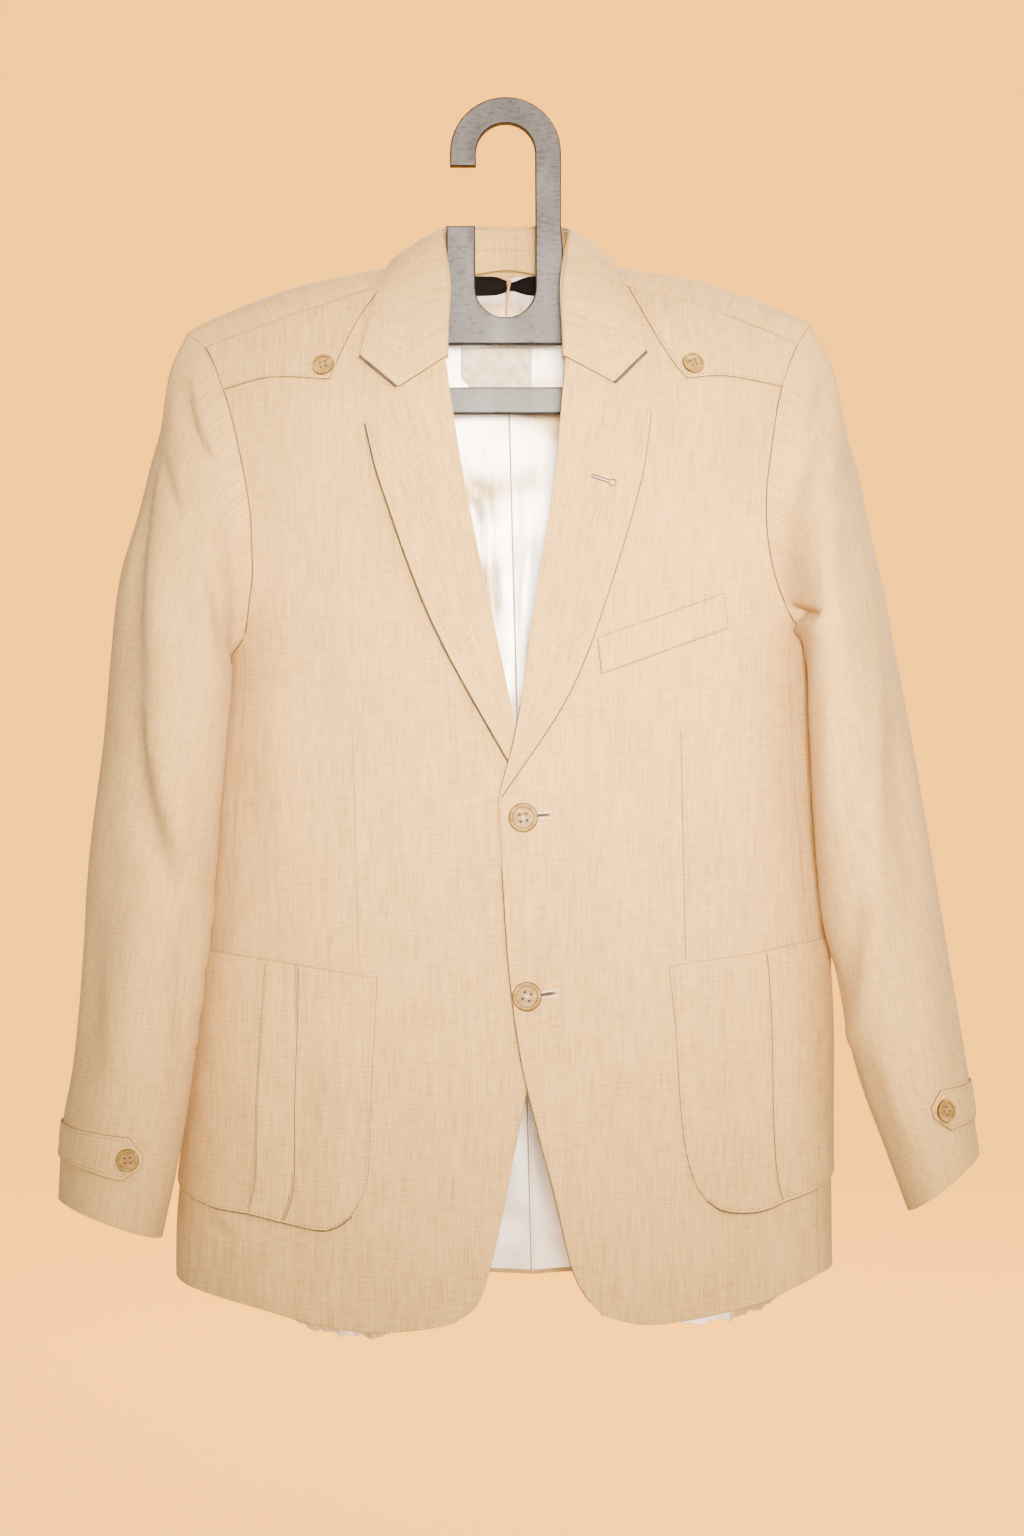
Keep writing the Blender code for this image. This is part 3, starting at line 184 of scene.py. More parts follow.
def along(points, share, sharp=False):
    """Point at a share of the length of a line through the points."""
    points = np.array(points, dtype=float)
    steps = np.linalg.norm(np.diff(points, axis=0), axis=1)
    keys = np.concatenate(([0.0], np.cumsum(steps))) / steps.sum()
    if sharp:
        return np.stack([np.interp(share, keys, column) for column in points.T], axis=-1)
    return np.stack([through(keys, column, share) for column in points.T], axis=-1)


def ramp(start, end, value):
    """Soft step from 0 at start to 1 at end."""
    t = np.clip((np.asarray(value, dtype=float) - start) / (end - start), 0, 1)
    return t * t * (3 - 2 * t)


def unit(vectors):
    """Vectors drawn to a length of one."""
    return vectors / np.linalg.norm(vectors, axis=-1, keepdims=True)


def facing(normal, away):
    """Normals turned to the side that other vectors point to."""
    return normal * np.where(np.sum(normal * away, axis=-1, keepdims=True) < 0, -1.0, 1.0)


def parts(flat):
    """Columns of an array of places."""
    return np.moveaxis(flat, -1, 0)


def lifted(surface, rise):
    """Points of a surface moved out along their normals."""
    points, normal = surface
    return points + normal * np.asarray(rise)[..., None], normal


SECTIONS = columns("height half_right half_left front back round", [
    (-865, 237, 237, 81, 66, 2.4),
    (-785, 236, 235, 80, 64, 2.4),
    (-704, 227, 233.5, 79, 62, 2.4),
    (-636, 218, 232, 77, 60, 2.4),
    (-560, 209, 226.5, 75, 58, 2.4),
    (-487, 203, 221, 75, 56, 2.4),
    (-430, 199, 218, 76, 56, 2.4),
    (-375, 198, 216, 77, 56, 2.4),
    (-340, 214, 222, 77, 56, 2.4),
    (-300, 228, 229, 76, 56, 2.4),
    (-150, 236, 231, 74, 56, 2.4),
    (-60, 236, 231, 74, 56, 2.4),
])

RIDGE = columns("across height", [
    (-236, -153), (-220, -143), (-172, -124), (-120, -109), (-84, -103.5), (-70, -99),
    (-58, -91), (-40, -78), (0, -62), (40, -78), (58, -91), (70, -99), (84, -103.5),
    (120, -109), (172, -124), (214, -140), (236, -150),
])

# One row for each point round an armhole: turn, distance across, height. The ninth is
# the underarm, at the body's side.
UNDERARM_ROW = 8
ARMHOLE_RIGHT = columns("turn across height", [
    (0, -229.5, -150), (18, -215, -163), (42, -200, -196), (68, -187.6, -239),
    (93, -179, -288), (112, -178, -323.5), (132, -182, -354), (156, -190, -377),
    (180, -198, -385), (204, -193, -377), (228, -190, -352), (252, -190, -315),
    (275, -193, -275), (298, -200, -230), (322, -211, -190), (345, -223, -160),
    (360, -229.5, -150),
])
ARMHOLE_LEFT = columns("turn across height", [
    (0, 220, -143), (18, 209, -161), (42, 196, -194), (68, 187.5, -240),
    (93, 183.5, -277), (112, 186, -311), (132, 195, -342), (156, 207, -362),
    (180, 217, -370), (204, 211, -362), (228, 203, -342), (252, 198, -311),
    (275, 196, -272), (298, 200, -230), (322, 206, -190), (345, 214, -158),
    (360, 220, -143),
])

# One row for each ring of a sleeve, from the armhole to the cuff: where its outline
# shows at the outer and inner side, how far its front leans to the body, its middle
# and its half depth.
SLEEVE_RIGHT = columns("outer_x outer_z inner_x inner_z lean middle depth", [
    (-231, -151, -199, -385, 10, 0, 54),
    (-246, -180, -199, -391, 14, -3, 58),
    (-256, -225, -196, -397, 20, -8, 63),
    (-268, -275, -193.5, -404, 25, -15, 66),
    (-279, -325, -193, -414, 26, -23, 68),
    (-284, -385, -195, -432, 25, -32, 67),
    (-288, -445, -199, -464, 22, -40, 64),
    (-296, -522, -205.5, -526, 18, -45, 61),
    (-301, -593, -211, -590, 15, -48, 58),
    (-306, -671, -217.5, -660, 12, -49, 55),
    (-312, -715, -224.5, -715, 9, -50, 52),
    (-315, -766, -241, -793, 6, -50, 49),
])
SLEEVE_LEFT = columns("outer_x outer_z inner_x inner_z lean middle depth", [
    (221, -144, 216, -370, 2, 0, 54),
    (238, -170, 214, -375, 8, -3, 58),
    (247.5, -205, 212.5, -381, 13, -8, 63),
    (256, -245, 212, -389, 17, -15, 66),
    (265, -285, 213, -399, 20, -23, 68),
    (275.5, -335, 214, -413, 22, -32, 67),
    (287, -415, 215.5, -440, 21, -40, 64),
    (297, -487, 218, -500, 18, -45, 61),
    (309, -558, 224, -560, 15, -48, 58),
    (321, -637, 237, -634, 12, -49, 55),
    (329, -690, 251, -690, 9, -50, 52),
    (335, -735, 283, -774, 6, -50, 49),
])
# One row for each point of a sleeve's main fold: ring, turn, height, half width.
FOLD_RIGHT = columns("ring turn height width", [
    (1.5, 30, 0, 22), (3, 38, 4, 20), (4.5, 48, 6, 18), (6, 72, 6, 18), (7, 108, 4, 18),
    (7.8, 140, 0, 18),
])
FOLD_LEFT = columns("ring turn height width", [
    (2, 75, 0, 22), (4, 70, 3, 20), (6, 72, 4, 20), (7.5, 80, 3, 20), (9.5, 85, 0, 20),
])

# One row for each station of the neck, from the roll of the lapel to the centre back:
# the neck seam, the fold and the collar's outer edge on either side.
COLLAR = columns("neck_x neck_turn fold_x fold_y fold_z inset edge_right edge_left edge_turn", [
    (42, 75.5, 42.0, -72, -177.5, 5.0, 101, 98, 63),
    (53, 58.5, 42.0, -62, -150, 5.0, 97, 94, 53.5),
    (61, 42.0, 42.5, -48, -124, 5.0, 93, 88, 42),
    (64, 25.0, 45.0, -28, -100, 4.2, 87, 80, 28),
    (64, 5.0, 47.5, -8, -80, 3.0, 80, 73, 2),
    (58, -18.0, 46.5, 13, -73, 3.0, 71, 66, -27),
    (45, -38.0, 38.0, 32, -69, 3.5, 57, 54, -46),
    (25, -54.0, 22.0, 45, -67, 3.5, 33, 32, -66),
    (0, -58.0, 0.0, 50, -67, 3.5, 0, 0, -74),
])
NECK_POINT = 3
NECK_BACK = 8

# Outlines of the cut pieces seen from the front, across and height.
FRONT_RIGHT = {
    "edge": [(-36, -850), (-20, -838), (-12, -817.5), (-3, -780), (4.7, -740), (15, -690),
             (25, -640), (31, -600), (33, -560), (28, -520), (18, -486)],
    "roll": [(18, -486), (7.5, -436.5), (-4, -381), (-28.5, -263), (-42, -177.5)],
    "hem": [(-36, -850), (-54, -854), (-90, -857), (-131, -852.5), (-175, -842), (-204, -836)],
    "shoulder": [(-84, -119), (-150, -141)],
    "hem_side": -832.0,
}
FRONT_LEFT = {
    "edge": [(67, -844), (54, -828), (46, -811), (34, -760), (23.5, -720), (11, -667),
             (4, -618), (0.5, -578), (-3, -520), (-4.8, -485)],
    "roll": [(-4.8, -485), (7.5, -436.5), (21, -346), (34, -263), (42, -177.5)],
    "hem": [(67, -844), (94, -851), (122, -850), (175.5, -840), (210, -828)],
    "shoulder": [(84, -119), (124, -130)],
    "hem_side": -823.0,
}
BACK_CENTRE = [(20, -838), (17, -700), (10, -500), (4, -300), (0, -100)]
BACK_HEM_SIDE_RIGHT = -828.0
BACK_HEM_SIDE_LEFT = -824.0

LAPEL_RIGHT = {
    "roll": [(15, -474), (7.5, -436.5), (-4, -381), (-28.5, -263), (-42, -177.5)],
    "edge": [(14, -477), (2.6, -459.5), (-50, -362), (-87, -263), (-97, -224)],
    "gorge": [(-42, -177.5), (-74, -199), (-97, -224)],
}
LAPEL_LEFT = {
    "roll": [(-3.5, -480), (7.5, -436.5), (21, -346), (34, -263), (42, -177.5)],
    "edge": [(-2.5, -483.5), (40, -419), (62, -368), (94, -263), (101, -217)],
    "gorge": [(42, -177.5), (75, -196), (101, -217)],
}
COLLAR_END_RIGHT = [(-42, -177.5), (-74, -199), (-101, -177)]
COLLAR_END_LEFT = [(42, -177.5), (75, -196), (98, -174)]

YOKE_RIGHT = {
    "inner": [(-123, -191.5), (-117.6, -178), (-104.5, -149), (-87, -121)],
    "bottom": [(-123, -191.5), (-167, -189)],
    "top": [(-87, -121), (-150, -141)],
    "armhole_end": 42.0,
}
YOKE_LEFT = {
    "inner": [(127, -190.6), (116.4, -177), (101, -149.6), (87, -121)],
    "bottom": [(127, -190.6), (155, -188)],
    "top": [(87, -121), (124, -130)],
    "armhole_end": 42.0,
}

POCKET_RIGHT = {
    "top": [(-89, -610), (-148, -601), (-171, -598), (-198, -594.5)],
    "inner": [(-107, -776), (-98, -760), (-95, -744), (-94, -706), (-89, -610)],
    "bottom": [(-107, -776), (-117, -783.5), (-128, -786.5), (-153, -782), (-175, -777),
               (-206, -773)],
    "side": [(-6.0, -750), (-6.0, -593)],
}
POCKET_LEFT = {
    "top": [(114, -603), (126, -600), (178, -593), (203, -588)],
    "inner": [(141, -766), (133, -755), (126.5, -734), (122, -699), (119, -646), (114, -603)],
    "bottom": [(141, -766), (152, -773), (167, -775), (180, -774), (195, -769), (217, -763)],
    "side": [(-6.0, -744), (-6.0, -581)],
}
# Pleats of the pockets: the shares of the pocket's width between which each is raised.
PLEATS_RIGHT = columns("start end", [(0.245, 0.345)])
PLEATS_LEFT = columns("start end", [(0.0, 0.315)])
PLEAT_RISE = 1.2
POCKET_FULLNESS = 3.0

WELT = {
    "left": [(66.5, -398.5), (63.5, -373)],
    "right": [(156, -366), (153.5, -341)],
}

PATCH_X = (-33.0, 19.0)
PATCH_Z = (-186.0, -155.0)
LABEL_X = (-30.0, 33.0)
LABEL_Z = (-114.0, -99.5)

# Buttons on the fronts and the yoke flaps: across and height.
FRONT_UPPER_AT = (12.5, -498.0)
FRONT_LOWER_AT = (15.0, -622.5)
YOKE_RIGHT_AT = (-127.4, -181.4)
YOKE_LEFT_AT = (131.5, -180.0)
# Cuff tabs: turns of the hidden end and the tip, ring of the middle line, its rise to the tip
# and the half width, both in rings.
TAB_RIGHT = {"start": -58.0, "tip": 108.0, "ring": 10.17, "rise": 0.14, "half": 0.24}
TAB_LEFT = {"start": -70.0, "tip": 76.0, "ring": 10.12, "rise": 0.08, "half": 0.26}
TAB_POINT = 16.0


def section(z):
    """Half widths, depths and roundness of the body at a height."""
    return {name: through(SECTIONS["height"], SECTIONS[name], z) for name in SECTIONS}


def ridge(x):
    """Height of the shoulder line."""
    return through(RIDGE["across"], RIDGE["height"], x)


def half_at(x, cut):
    return np.where(np.asarray(x) < 0, cut["half_right"], cut["half_left"])


def drape(x, turn):
    """Body point for a distance across and a turn over the shoulder, front positive."""
    front = turn >= 0
    cap = np.where(front, FRONT_CAP, BACK_CAP)
    angle = np.abs(turn)
    over = np.minimum(angle, math.pi / 2)
    drop = cap * (1 - np.cos(over)) + cap * (angle - over)
    z = ridge(x) - drop
    cut = section(z)
    share = np.minimum(np.abs(x) / half_at(x, cut), 1.0)
    depth = (1 - share ** cut["round"]) ** (1 / cut["round"]) * np.sin(over) ** CAP_POWER
    y = np.where(front, -cut["front"], cut["back"]) * depth
    return np.stack([x, y, z], axis=-1)


def drape_turn(x, z, front=True):
    """Turn over the shoulder of a point seen from the front or from the back."""
    cap = FRONT_CAP if front else BACK_CAP
    drop = np.maximum(ridge(x) - np.asarray(z, dtype=float), 0) / cap
    angle = np.where(drop < 1, np.arccos(np.clip(1 - drop, -1, 1)), math.pi / 2 + drop - 1)
    return angle if front else -angle


def girth(angle, z):
    """Body point for a girth angle in degrees, 0 at the wearer's left, 90 at the front."""
    cut = section(z)
    turn = np.radians(angle)
    across = np.cos(turn)
    ahead = np.sin(turn)
    reach = (np.abs(across) ** cut["round"] + np.abs(ahead) ** cut["round"]) ** (-1 / cut["round"])
    x = half_at(across, cut) * across * reach
    y = -np.where(ahead > 0, cut["front"], cut["back"]) * ahead * reach
    return np.stack([x, y, np.broadcast_to(z, x.shape)], axis=-1)


def girth_angle(x, z, front=True):
    """Girth angle of a body point seen from the front or from the back."""
    cut = section(z)
    share = np.minimum(np.abs(x) / half_at(x, cut), 1.0)
    ahead = (1 - share ** cut["round"]) ** (1 / cut["round"])
    angle = np.degrees(np.arctan2(ahead, np.sign(x) * share))
    return angle if front else 360 - angle


def with_normals(surface, a, b, step_a, step_b):
    """Points of a surface and their directions away from the body."""
    along_a = surface(a + step_a, b) - surface(a - step_a, b)
    along_b = surface(a, b + step_b) - surface(a, b - step_b)
    return surface(a, b), unit(-np.cross(along_a, along_b))


def on_drape(x, turn):
    """Body point over the shoulder with its creases, and its normal."""
    points, normal = with_normals(drape, x, turn, SLOPE_STEP, SLOPE_TURN)
    return lifted((points, normal), body_relief(points))


def on_girth(angle, z):
    """Body point round the girth with its creases, and its normal."""
    points, normal = with_normals(girth, angle, z, SLOPE_STEP, SLOPE_STEP)
    return lifted((points, normal), body_relief(points))


def on_front(x, z):
    return on_drape(np.asarray(x, dtype=float), drape_turn(x, z))


def overlap(x, z):
    """How far the wearer's left front stands out where it lies over the right one."""
    share = ramp(OVERLAP_END_X, OVERLAP_FULL_X, x) * ramp(OVERLAP_END_Z, OVERLAP_FULL_Z, z)
    return OVERLAP_LIFT * share


def coons(bottom, top, left, right, u, v):
    """Patch between four lines that meet at its corners."""
    u = np.asarray(u, dtype=float)
    v = np.asarray(v, dtype=float)
    zero = np.zeros_like(u)
    one = np.ones_like(u)
    s = u[..., None]
    t = v[..., None]
    ruled = (1 - t) * bottom(u) + t * top(u) + (1 - s) * left(v) + s * right(v)
    low = (1 - s) * bottom(zero) + s * bottom(one)
    high = (1 - s) * top(zero) + s * top(one)
    return ruled - (1 - t) * low - t * high


def armhole(side, turn):
    """Girth angle, distance across and height of an armhole at a turn."""
    rows = ARMHOLE_RIGHT if side < 0 else ARMHOLE_LEFT
    turn = np.mod(np.asarray(turn, dtype=float), 360.0)
    cut = section(rows["height"])
    share = np.minimum(np.abs(rows["across"]) / half_at(rows["across"], cut), 1.0)
    share[UNDERARM_ROW] = 1.0
    lean = np.degrees(np.arctan2((1 - share ** cut["round"]) ** (1 / cut["round"]), share))
    z = through(rows["turn"], rows["height"], turn)
    ahead = through(rows["turn"][:UNDERARM_ROW + 1], lean[:UNDERARM_ROW + 1], turn)
    behind = through(rows["turn"][UNDERARM_ROW:], lean[UNDERARM_ROW:], turn)
    ahead = np.where(turn <= 180, ahead, -behind)
    angle = ahead if side > 0 else 180 - ahead
    x = girth(angle, z)[..., 0]
    return np.mod(angle, 360.0), x, z


def armhole_drape(side, turn):
    """Distance across and turn over the shoulder of an armhole point."""
    turn = np.asarray(turn, dtype=float)
    inside = np.mod(turn, 360.0)
    _, x, z = armhole(side, turn)
    lean = np.where(inside <= 180, drape_turn(x, z), drape_turn(x, z, front=False))
    return np.stack([x, lean], axis=-1)


def seam_girth(side, share, front):
    """Girth angle and height of a side seam, from the hem up to the armhole."""
    turn = FRONT_SIDE_TURN if front else BACK_SIDE_TURN
    angle, _, top = armhole(side, np.array([turn]))
    hem_angle = SIDE_HEM_GIRTH if front else -SIDE_HEM_GIRTH
    low_angle = np.mod(hem_angle if side > 0 else 180 - hem_angle, 360.0)
    if front:
        low = (FRONT_RIGHT if side < 0 else FRONT_LEFT)["hem_side"]
    else:
        low = BACK_HEM_SIDE_RIGHT if side < 0 else BACK_HEM_SIDE_LEFT
    high_angle = angle[0]
    if abs(high_angle - low_angle) > 180:
        high_angle -= 360.0 * np.sign(high_angle - low_angle)
    share = np.asarray(share, dtype=float)
    bend = ramp(0.0, 1.0, share)
    return low_angle + (high_angle - low_angle) * bend, low + (top[0] - low) * share


def seam_drape(side, share, front):
    angle, z = seam_girth(side, share, front)
    x = girth(angle, z)[..., 0]
    return np.stack([x, drape_turn(x, z, front)], axis=-1)


def to_drape(points, front=True):
    x = points[..., 0]
    return np.stack([x, drape_turn(x, points[..., 1], front)], axis=-1)


def two_part(lower, upper, v):
    """Join a line below the armhole's end to one above it."""
    v = np.asarray(v, dtype=float)
    low = lower(np.clip(v / SIDE_SHARE, 0, 1))
    high = upper(np.clip((v - SIDE_SHARE) / (1 - SIDE_SHARE), 0, 1))
    return np.where((v < SIDE_SHARE)[..., None], low, high)


def neck_line(side, first, last, share):
    """Neck seam between two stations, as distance across and turn."""
    rows = np.stack([side * COLLAR["neck_x"], np.radians(COLLAR["neck_turn"])], axis=-1)
    station = first + (last - first) * np.asarray(share, dtype=float)
    index = np.arange(len(rows), dtype=float)
    return np.stack([through(index, column, station) for column in rows.T], axis=-1)


def panel_side(side, front, turns, v):
    """Outer edge of a front or a back: its side seam, then the armhole between two turns."""
    return two_part(lambda t: seam_drape(side, t, front),
                    lambda t: armhole_drape(side, turns[0] + (turns[1] - turns[0]) * t), v)


def shoulder_line(side, start, share):
    """Shoulder seam from the neck to the armhole."""
    cut = FRONT_RIGHT if side < 0 else FRONT_LEFT
    inner = to_drape(np.array(cut["shoulder"], dtype=float))
    end = armhole_drape(side, np.array([SHOULDER_TURN]))[0]
    return along(np.vstack([start, inner, end]) * TURN_SCALE, share) / TURN_SCALE


def front_panel(side):
    """Surface of a front, from its edge to the side seam and from hem to shoulder."""
    cut = FRONT_RIGHT if side < 0 else FRONT_LEFT
    neck_share = 0.625

    def roll_and_neck(t):
        roll = to_drape(along(cut["roll"], np.clip(t / neck_share, 0, 1)))
        neck = neck_line(side, 0, NECK_POINT, np.clip((t - neck_share) / (1 - neck_share), 0, 1))
        return np.where((t < neck_share)[..., None], roll, neck)

    def left(v):
        return two_part(lambda t: to_drape(along(cut["edge"], t)), roll_and_neck, v)

    def right(v):
        return panel_side(side, True, (FRONT_SIDE_TURN, SHOULDER_TURN), v)

    def bottom(u):
        end = girth(*seam_girth(side, np.zeros(1), True))[0]
        return to_drape(along(cut["hem"] + [(end[0], end[2])], u))

    def top(u):
        return shoulder_line(side, neck_line(side, 0, NECK_POINT, np.ones(1))[0], u)

    def place(u, v):
        points, normal = on_drape(*parts(coons(bottom, top, left, right, u, v)))
        rise = overlap(points[..., 0], points[..., 2]) if side > 0 else 0.0
        return lifted((points, normal), rise)

    return place


def side_panel(side):
    """Surface of a side panel, from its front seam to its back seam."""
    def seam(front):
        def line(v):
            angle, z = seam_girth(side, v, front)
            return np.stack([unwrap(side, angle), z], axis=-1)
        return line

    def top(u):
        turn = FRONT_SIDE_TURN + (BACK_SIDE_TURN - FRONT_SIDE_TURN) * u
        angle, _, z = armhole(side, turn)
        return np.stack([unwrap(side, angle), z], axis=-1)

    def bottom(u):
        start, end = seam(True)(np.zeros(1)), seam(False)(np.zeros(1))
        return start + (end - start) * u[..., None] + SIDE_HEM_RISE * np.sin(math.pi * u)[..., None]

    def place(u, v):
        return on_girth(*parts(coons(bottom, top, seam(True), seam(False), u, v)))

    return place


def unwrap(side, angle):
    """Girth angle without a jump at the wearer's left side."""
    return np.where(angle > 270, angle - 360, angle) if side > 0 else angle


def back_panel(side):
    """Surface of a back half, from the centre seam to the side seam, up over the shoulder."""
    neck_share = 0.3

    def left(v):
        centre = two_part(lambda t: along(BACK_CENTRE, CENTRE_SHARE * t),
                          lambda t: along(BACK_CENTRE, CENTRE_SHARE + (1 - CENTRE_SHARE) * t), v)
        neck = neck_line(side, NECK_POINT, NECK_BACK, np.ones(1))[0]
        shift = neck - to_drape(np.array([BACK_CENTRE[-1]], dtype=float), front=False)[0]
        return to_drape(centre, front=False) + shift * ramp(0.85, 1.0, v)[..., None]

    def right(v):
        return panel_side(side, False, (BACK_SIDE_TURN, 360 + SHOULDER_TURN), v)

    def bottom(u):
        end = girth(*seam_girth(side, np.zeros(1), False))[0]
        return to_drape(along([BACK_CENTRE[0], (end[0], end[2])], u), front=False)

    def top(u):
        neck = neck_line(side, NECK_BACK, NECK_POINT, np.clip(u / neck_share, 0, 1))
        start = neck_line(side, NECK_BACK, NECK_POINT, np.ones(1))[0]
        share = np.clip((u - neck_share) / (1 - neck_share), 0, 1)
        return np.where((u < neck_share)[..., None], neck, shoulder_line(side, start, share))

    def place(u, v):
        return on_drape(*parts(coons(bottom, top, left, right, u, v)))

    return place


def sleeve_ring(side, turn, at, swell=1.0):
    """Point at a turn round a ring of a sleeve whose sizes are given."""
    angle = np.radians(turn)
    spread_x = (at["outer_x"] - at["inner_x"]) / 2
    reach = np.sqrt(np.maximum(spread_x ** 2 - at["lean"] ** 2, THIN_SLEEVE ** 2)) * side
    across = reach * np.cos(angle) - side * at["lean"] * np.sin(angle)
    x = (at["outer_x"] + at["inner_x"]) / 2 + across * swell
    y = at["middle"] - at["depth"] * np.sin(angle) * swell
    z = (at["outer_z"] + at["inner_z"]) / 2 + (at["outer_z"] - at["inner_z"]) / 2 * np.cos(angle)
    return np.stack([x, y, z], axis=-1)


def sleeve(side, turn, ring):
    """Point of a sleeve at a turn round it and at a ring between armhole and cuff."""
    rows = SLEEVE_RIGHT if side < 0 else SLEEVE_LEFT
    fold = FOLD_RIGHT if side < 0 else FOLD_LEFT
    turn = np.asarray(turn, dtype=float)
    ring = np.asarray(ring, dtype=float)
    index = np.arange(len(rows["lean"]), dtype=float)
    at = {name: through(index, rows[name], ring) for name in rows}
    line, tall, wide = (through(fold["ring"], fold[name], ring) for name in ("turn", "height", "width"))
    away = np.mod(turn - line + 180, 360) - 180
    within = (ring > fold["ring"][0]) & (ring < fold["ring"][-1])
    swell = 1 + np.where(within, tall, 0) * np.exp(-(away / wide) ** 2) / at["depth"]
    fade = (1 - np.clip(ring / ARMHOLE_RINGS, 0, 1)) ** 2
    first = sleeve_ring(side, turn, {name: rows[name][0] for name in rows})
    return sleeve_ring(side, turn, at, swell) + fade[..., None] * (armhole_point(side, turn) - first)


def armhole_point(side, turn):
    """Armhole point, just off the body's cloth on the sleeve's side."""
    return on_drape(*parts(armhole_drape(side, turn)))[0] + np.array([side * ARMHOLE_GAP, 0.0, 0.0])


def sleeve_surface(side, turn, ring):
    """Points of a sleeve and their directions away from its middle."""
    def surface(a, b):
        return sleeve(side, a, b)

    points, normal = with_normals(surface, turn, ring, *SLEEVE_SLOPE)
    middle = (points + sleeve(side, turn + 180, ring)) / 2
    return lifted((points, facing(normal, points - middle)), sleeve_relief(side, points, turn, ring))


def sleeve_place(side, turns):
    """Sleeve piece between two seams. Its first ring is mitred to the armhole."""
    last = len(SLEEVE_RIGHT["lean"]) - 1

    def place(u, v):
        turn = np.interp(u, np.linspace(0, 1, len(turns)), turns)
        points, normal = sleeve_surface(side, turn, v * last)
        angle, _, z = armhole(side, turn)
        under = np.abs(np.mod(turn, 360) - 180) < UNDERARM_SPREAD
        low = on_girth(angle, z)[1]
        high = on_drape(*parts(armhole_drape(side, turn)))[1]
        body = np.where(under[..., None], low, high)
        convex = (v < FIRST_RING) & (normal[..., 0] * side > body[..., 0] * side)
        return points, np.where(convex[..., None], body, normal)

    return place


def lapel_lift(u, v):
    """How far a lapel stands off the front, most along the middle of its edge."""
    swell = 0.25 + 0.75 * np.sin(math.pi * np.clip(v, 0, 1)) ** 1.5
    return LAPEL_EDGE_LIFT * u ** 1.5 * swell * ramp(0.0, 0.15, v)


def lapel_place(side):
    """Lapel from its roll line to its edge, lying on the front."""
    cut = LAPEL_RIGHT if side < 0 else LAPEL_LEFT

    def bottom(u):
        return along([cut["roll"][0], cut["edge"][0]], u)

    def place(u, v):
        flat = coons(bottom, lambda t: along(cut["gorge"], t, sharp=True),
                     lambda t: along(cut["roll"], t), lambda t: along(cut["edge"], t), u, v)
        rise = LAPEL_REST + CLOTH + lapel_lift(u, v)
        if side > 0:
            rise = rise + overlap(*parts(flat))
        return lifted(on_front(*parts(flat)), rise)

    return place


def collar_columns(station):
    """Neck seam, fold and edge of the collar at a station, right to left."""
    station = np.asarray(station, dtype=float)
    count = len(COLLAR["neck_x"])
    index = np.arange(2 * count - 1, dtype=float)
    sign = np.where(index < count - 1, -1.0, 1.0)

    def both(column, other=None):
        values = np.concatenate((COLLAR[column], COLLAR[other or column][-2::-1]))
        return through(index, values, station), through(index, values * sign, station)

    neck = drape(both("neck_x")[1], np.radians(both("neck_turn")[0]))
    fold = np.stack([both("fold_x")[1], both("fold_y")[0], both("fold_z")[0]], axis=-1)
    edge = on_drape(both("edge_right", "edge_left")[1], np.radians(both("edge_turn")[0]))
    edge = lifted(edge, LAPEL_REST + CLOTH + COLLAR_EDGE_LIFT)[0]
    return neck, fold, edge, both("inset")[0]


LAST_STATION = 2.0 * (len(COLLAR["neck_x"]) - 1)


def collar_leaf(u, v):
    """Top collar from one end to the other, from its fold to its edge."""
    def end(outline):
        def line(t):
            rise = LAPEL_REST + CLOTH + COLLAR_EDGE_LIFT * np.clip(t, 0, 1) ** 1.5
            return lifted(on_front(*parts(along(outline, t, sharp=True))), rise)[0]
        return line

    right = end(COLLAR_END_RIGHT)
    left = end(COLLAR_END_LEFT)

    def line(which, first, last):
        def read(t):
            points = collar_columns(t * LAST_STATION)[which]
            ends = collar_columns(np.array([0.0, LAST_STATION]))[which]
            near = ramp(2.0 / LAST_STATION, 0.0, t)[..., None]
            far = ramp(1 - 2.0 / LAST_STATION, 1.0, t)[..., None]
            return points + near * (first - ends[0]) + far * (last - ends[1])
        return read

    zero = np.zeros(1)
    one = np.ones(1)
    fold = line(1, right(zero)[0], left(zero)[0])
    edge = line(2, right(one)[0], left(one)[0])
    share = v[..., None]
    points = fold(u) + (edge(u) - fold(u)) * share
    near_right = ramp(COLLAR_END_SHARE, 0.0, u)
    near_left = ramp(1 - COLLAR_END_SHARE, 1.0, u)
    for outline, near in ((right, near_right), (left, near_left)):
        straight = outline(zero)[0] + (outline(one)[0] - outline(zero)[0]) * share
        points = points + near[..., None] * (outline(v) - straight)
    return points


def collar_place(u, v):
    """Top collar with the bulge of its fold."""
    points, normal = with_normals(collar_leaf, u, v, COLLAR_SLOPE, COLLAR_SLOPE)
    ends = ramp(0.0, 0.06, u) * ramp(1.0, 0.94, u)
    swell = COLLAR_BULGE * 4 * v * (1 - v) * ends
    return lifted((points, facing(normal, points - COLLAR_MIDDLE)), swell)


def stand_place(u, v):
    """Collar stand from the neck seam up to the fold, inside the top collar."""
    station = 1.0 + u * (LAST_STATION - 2.0)
    neck, fold, _, inset = collar_columns(station)
    fold = fold + inset[..., None] * unit(STAND_MIDDLE - fold)
    start = neck + STAND_START * unit(fold - neck)
    points = start + (fold - start) * v[..., None]
    up = np.broadcast_to(fold - start, points.shape)
    normal = unit(np.cross(np.gradient(points, axis=0), up))
    return points, facing(normal, points - STAND_MIDDLE)


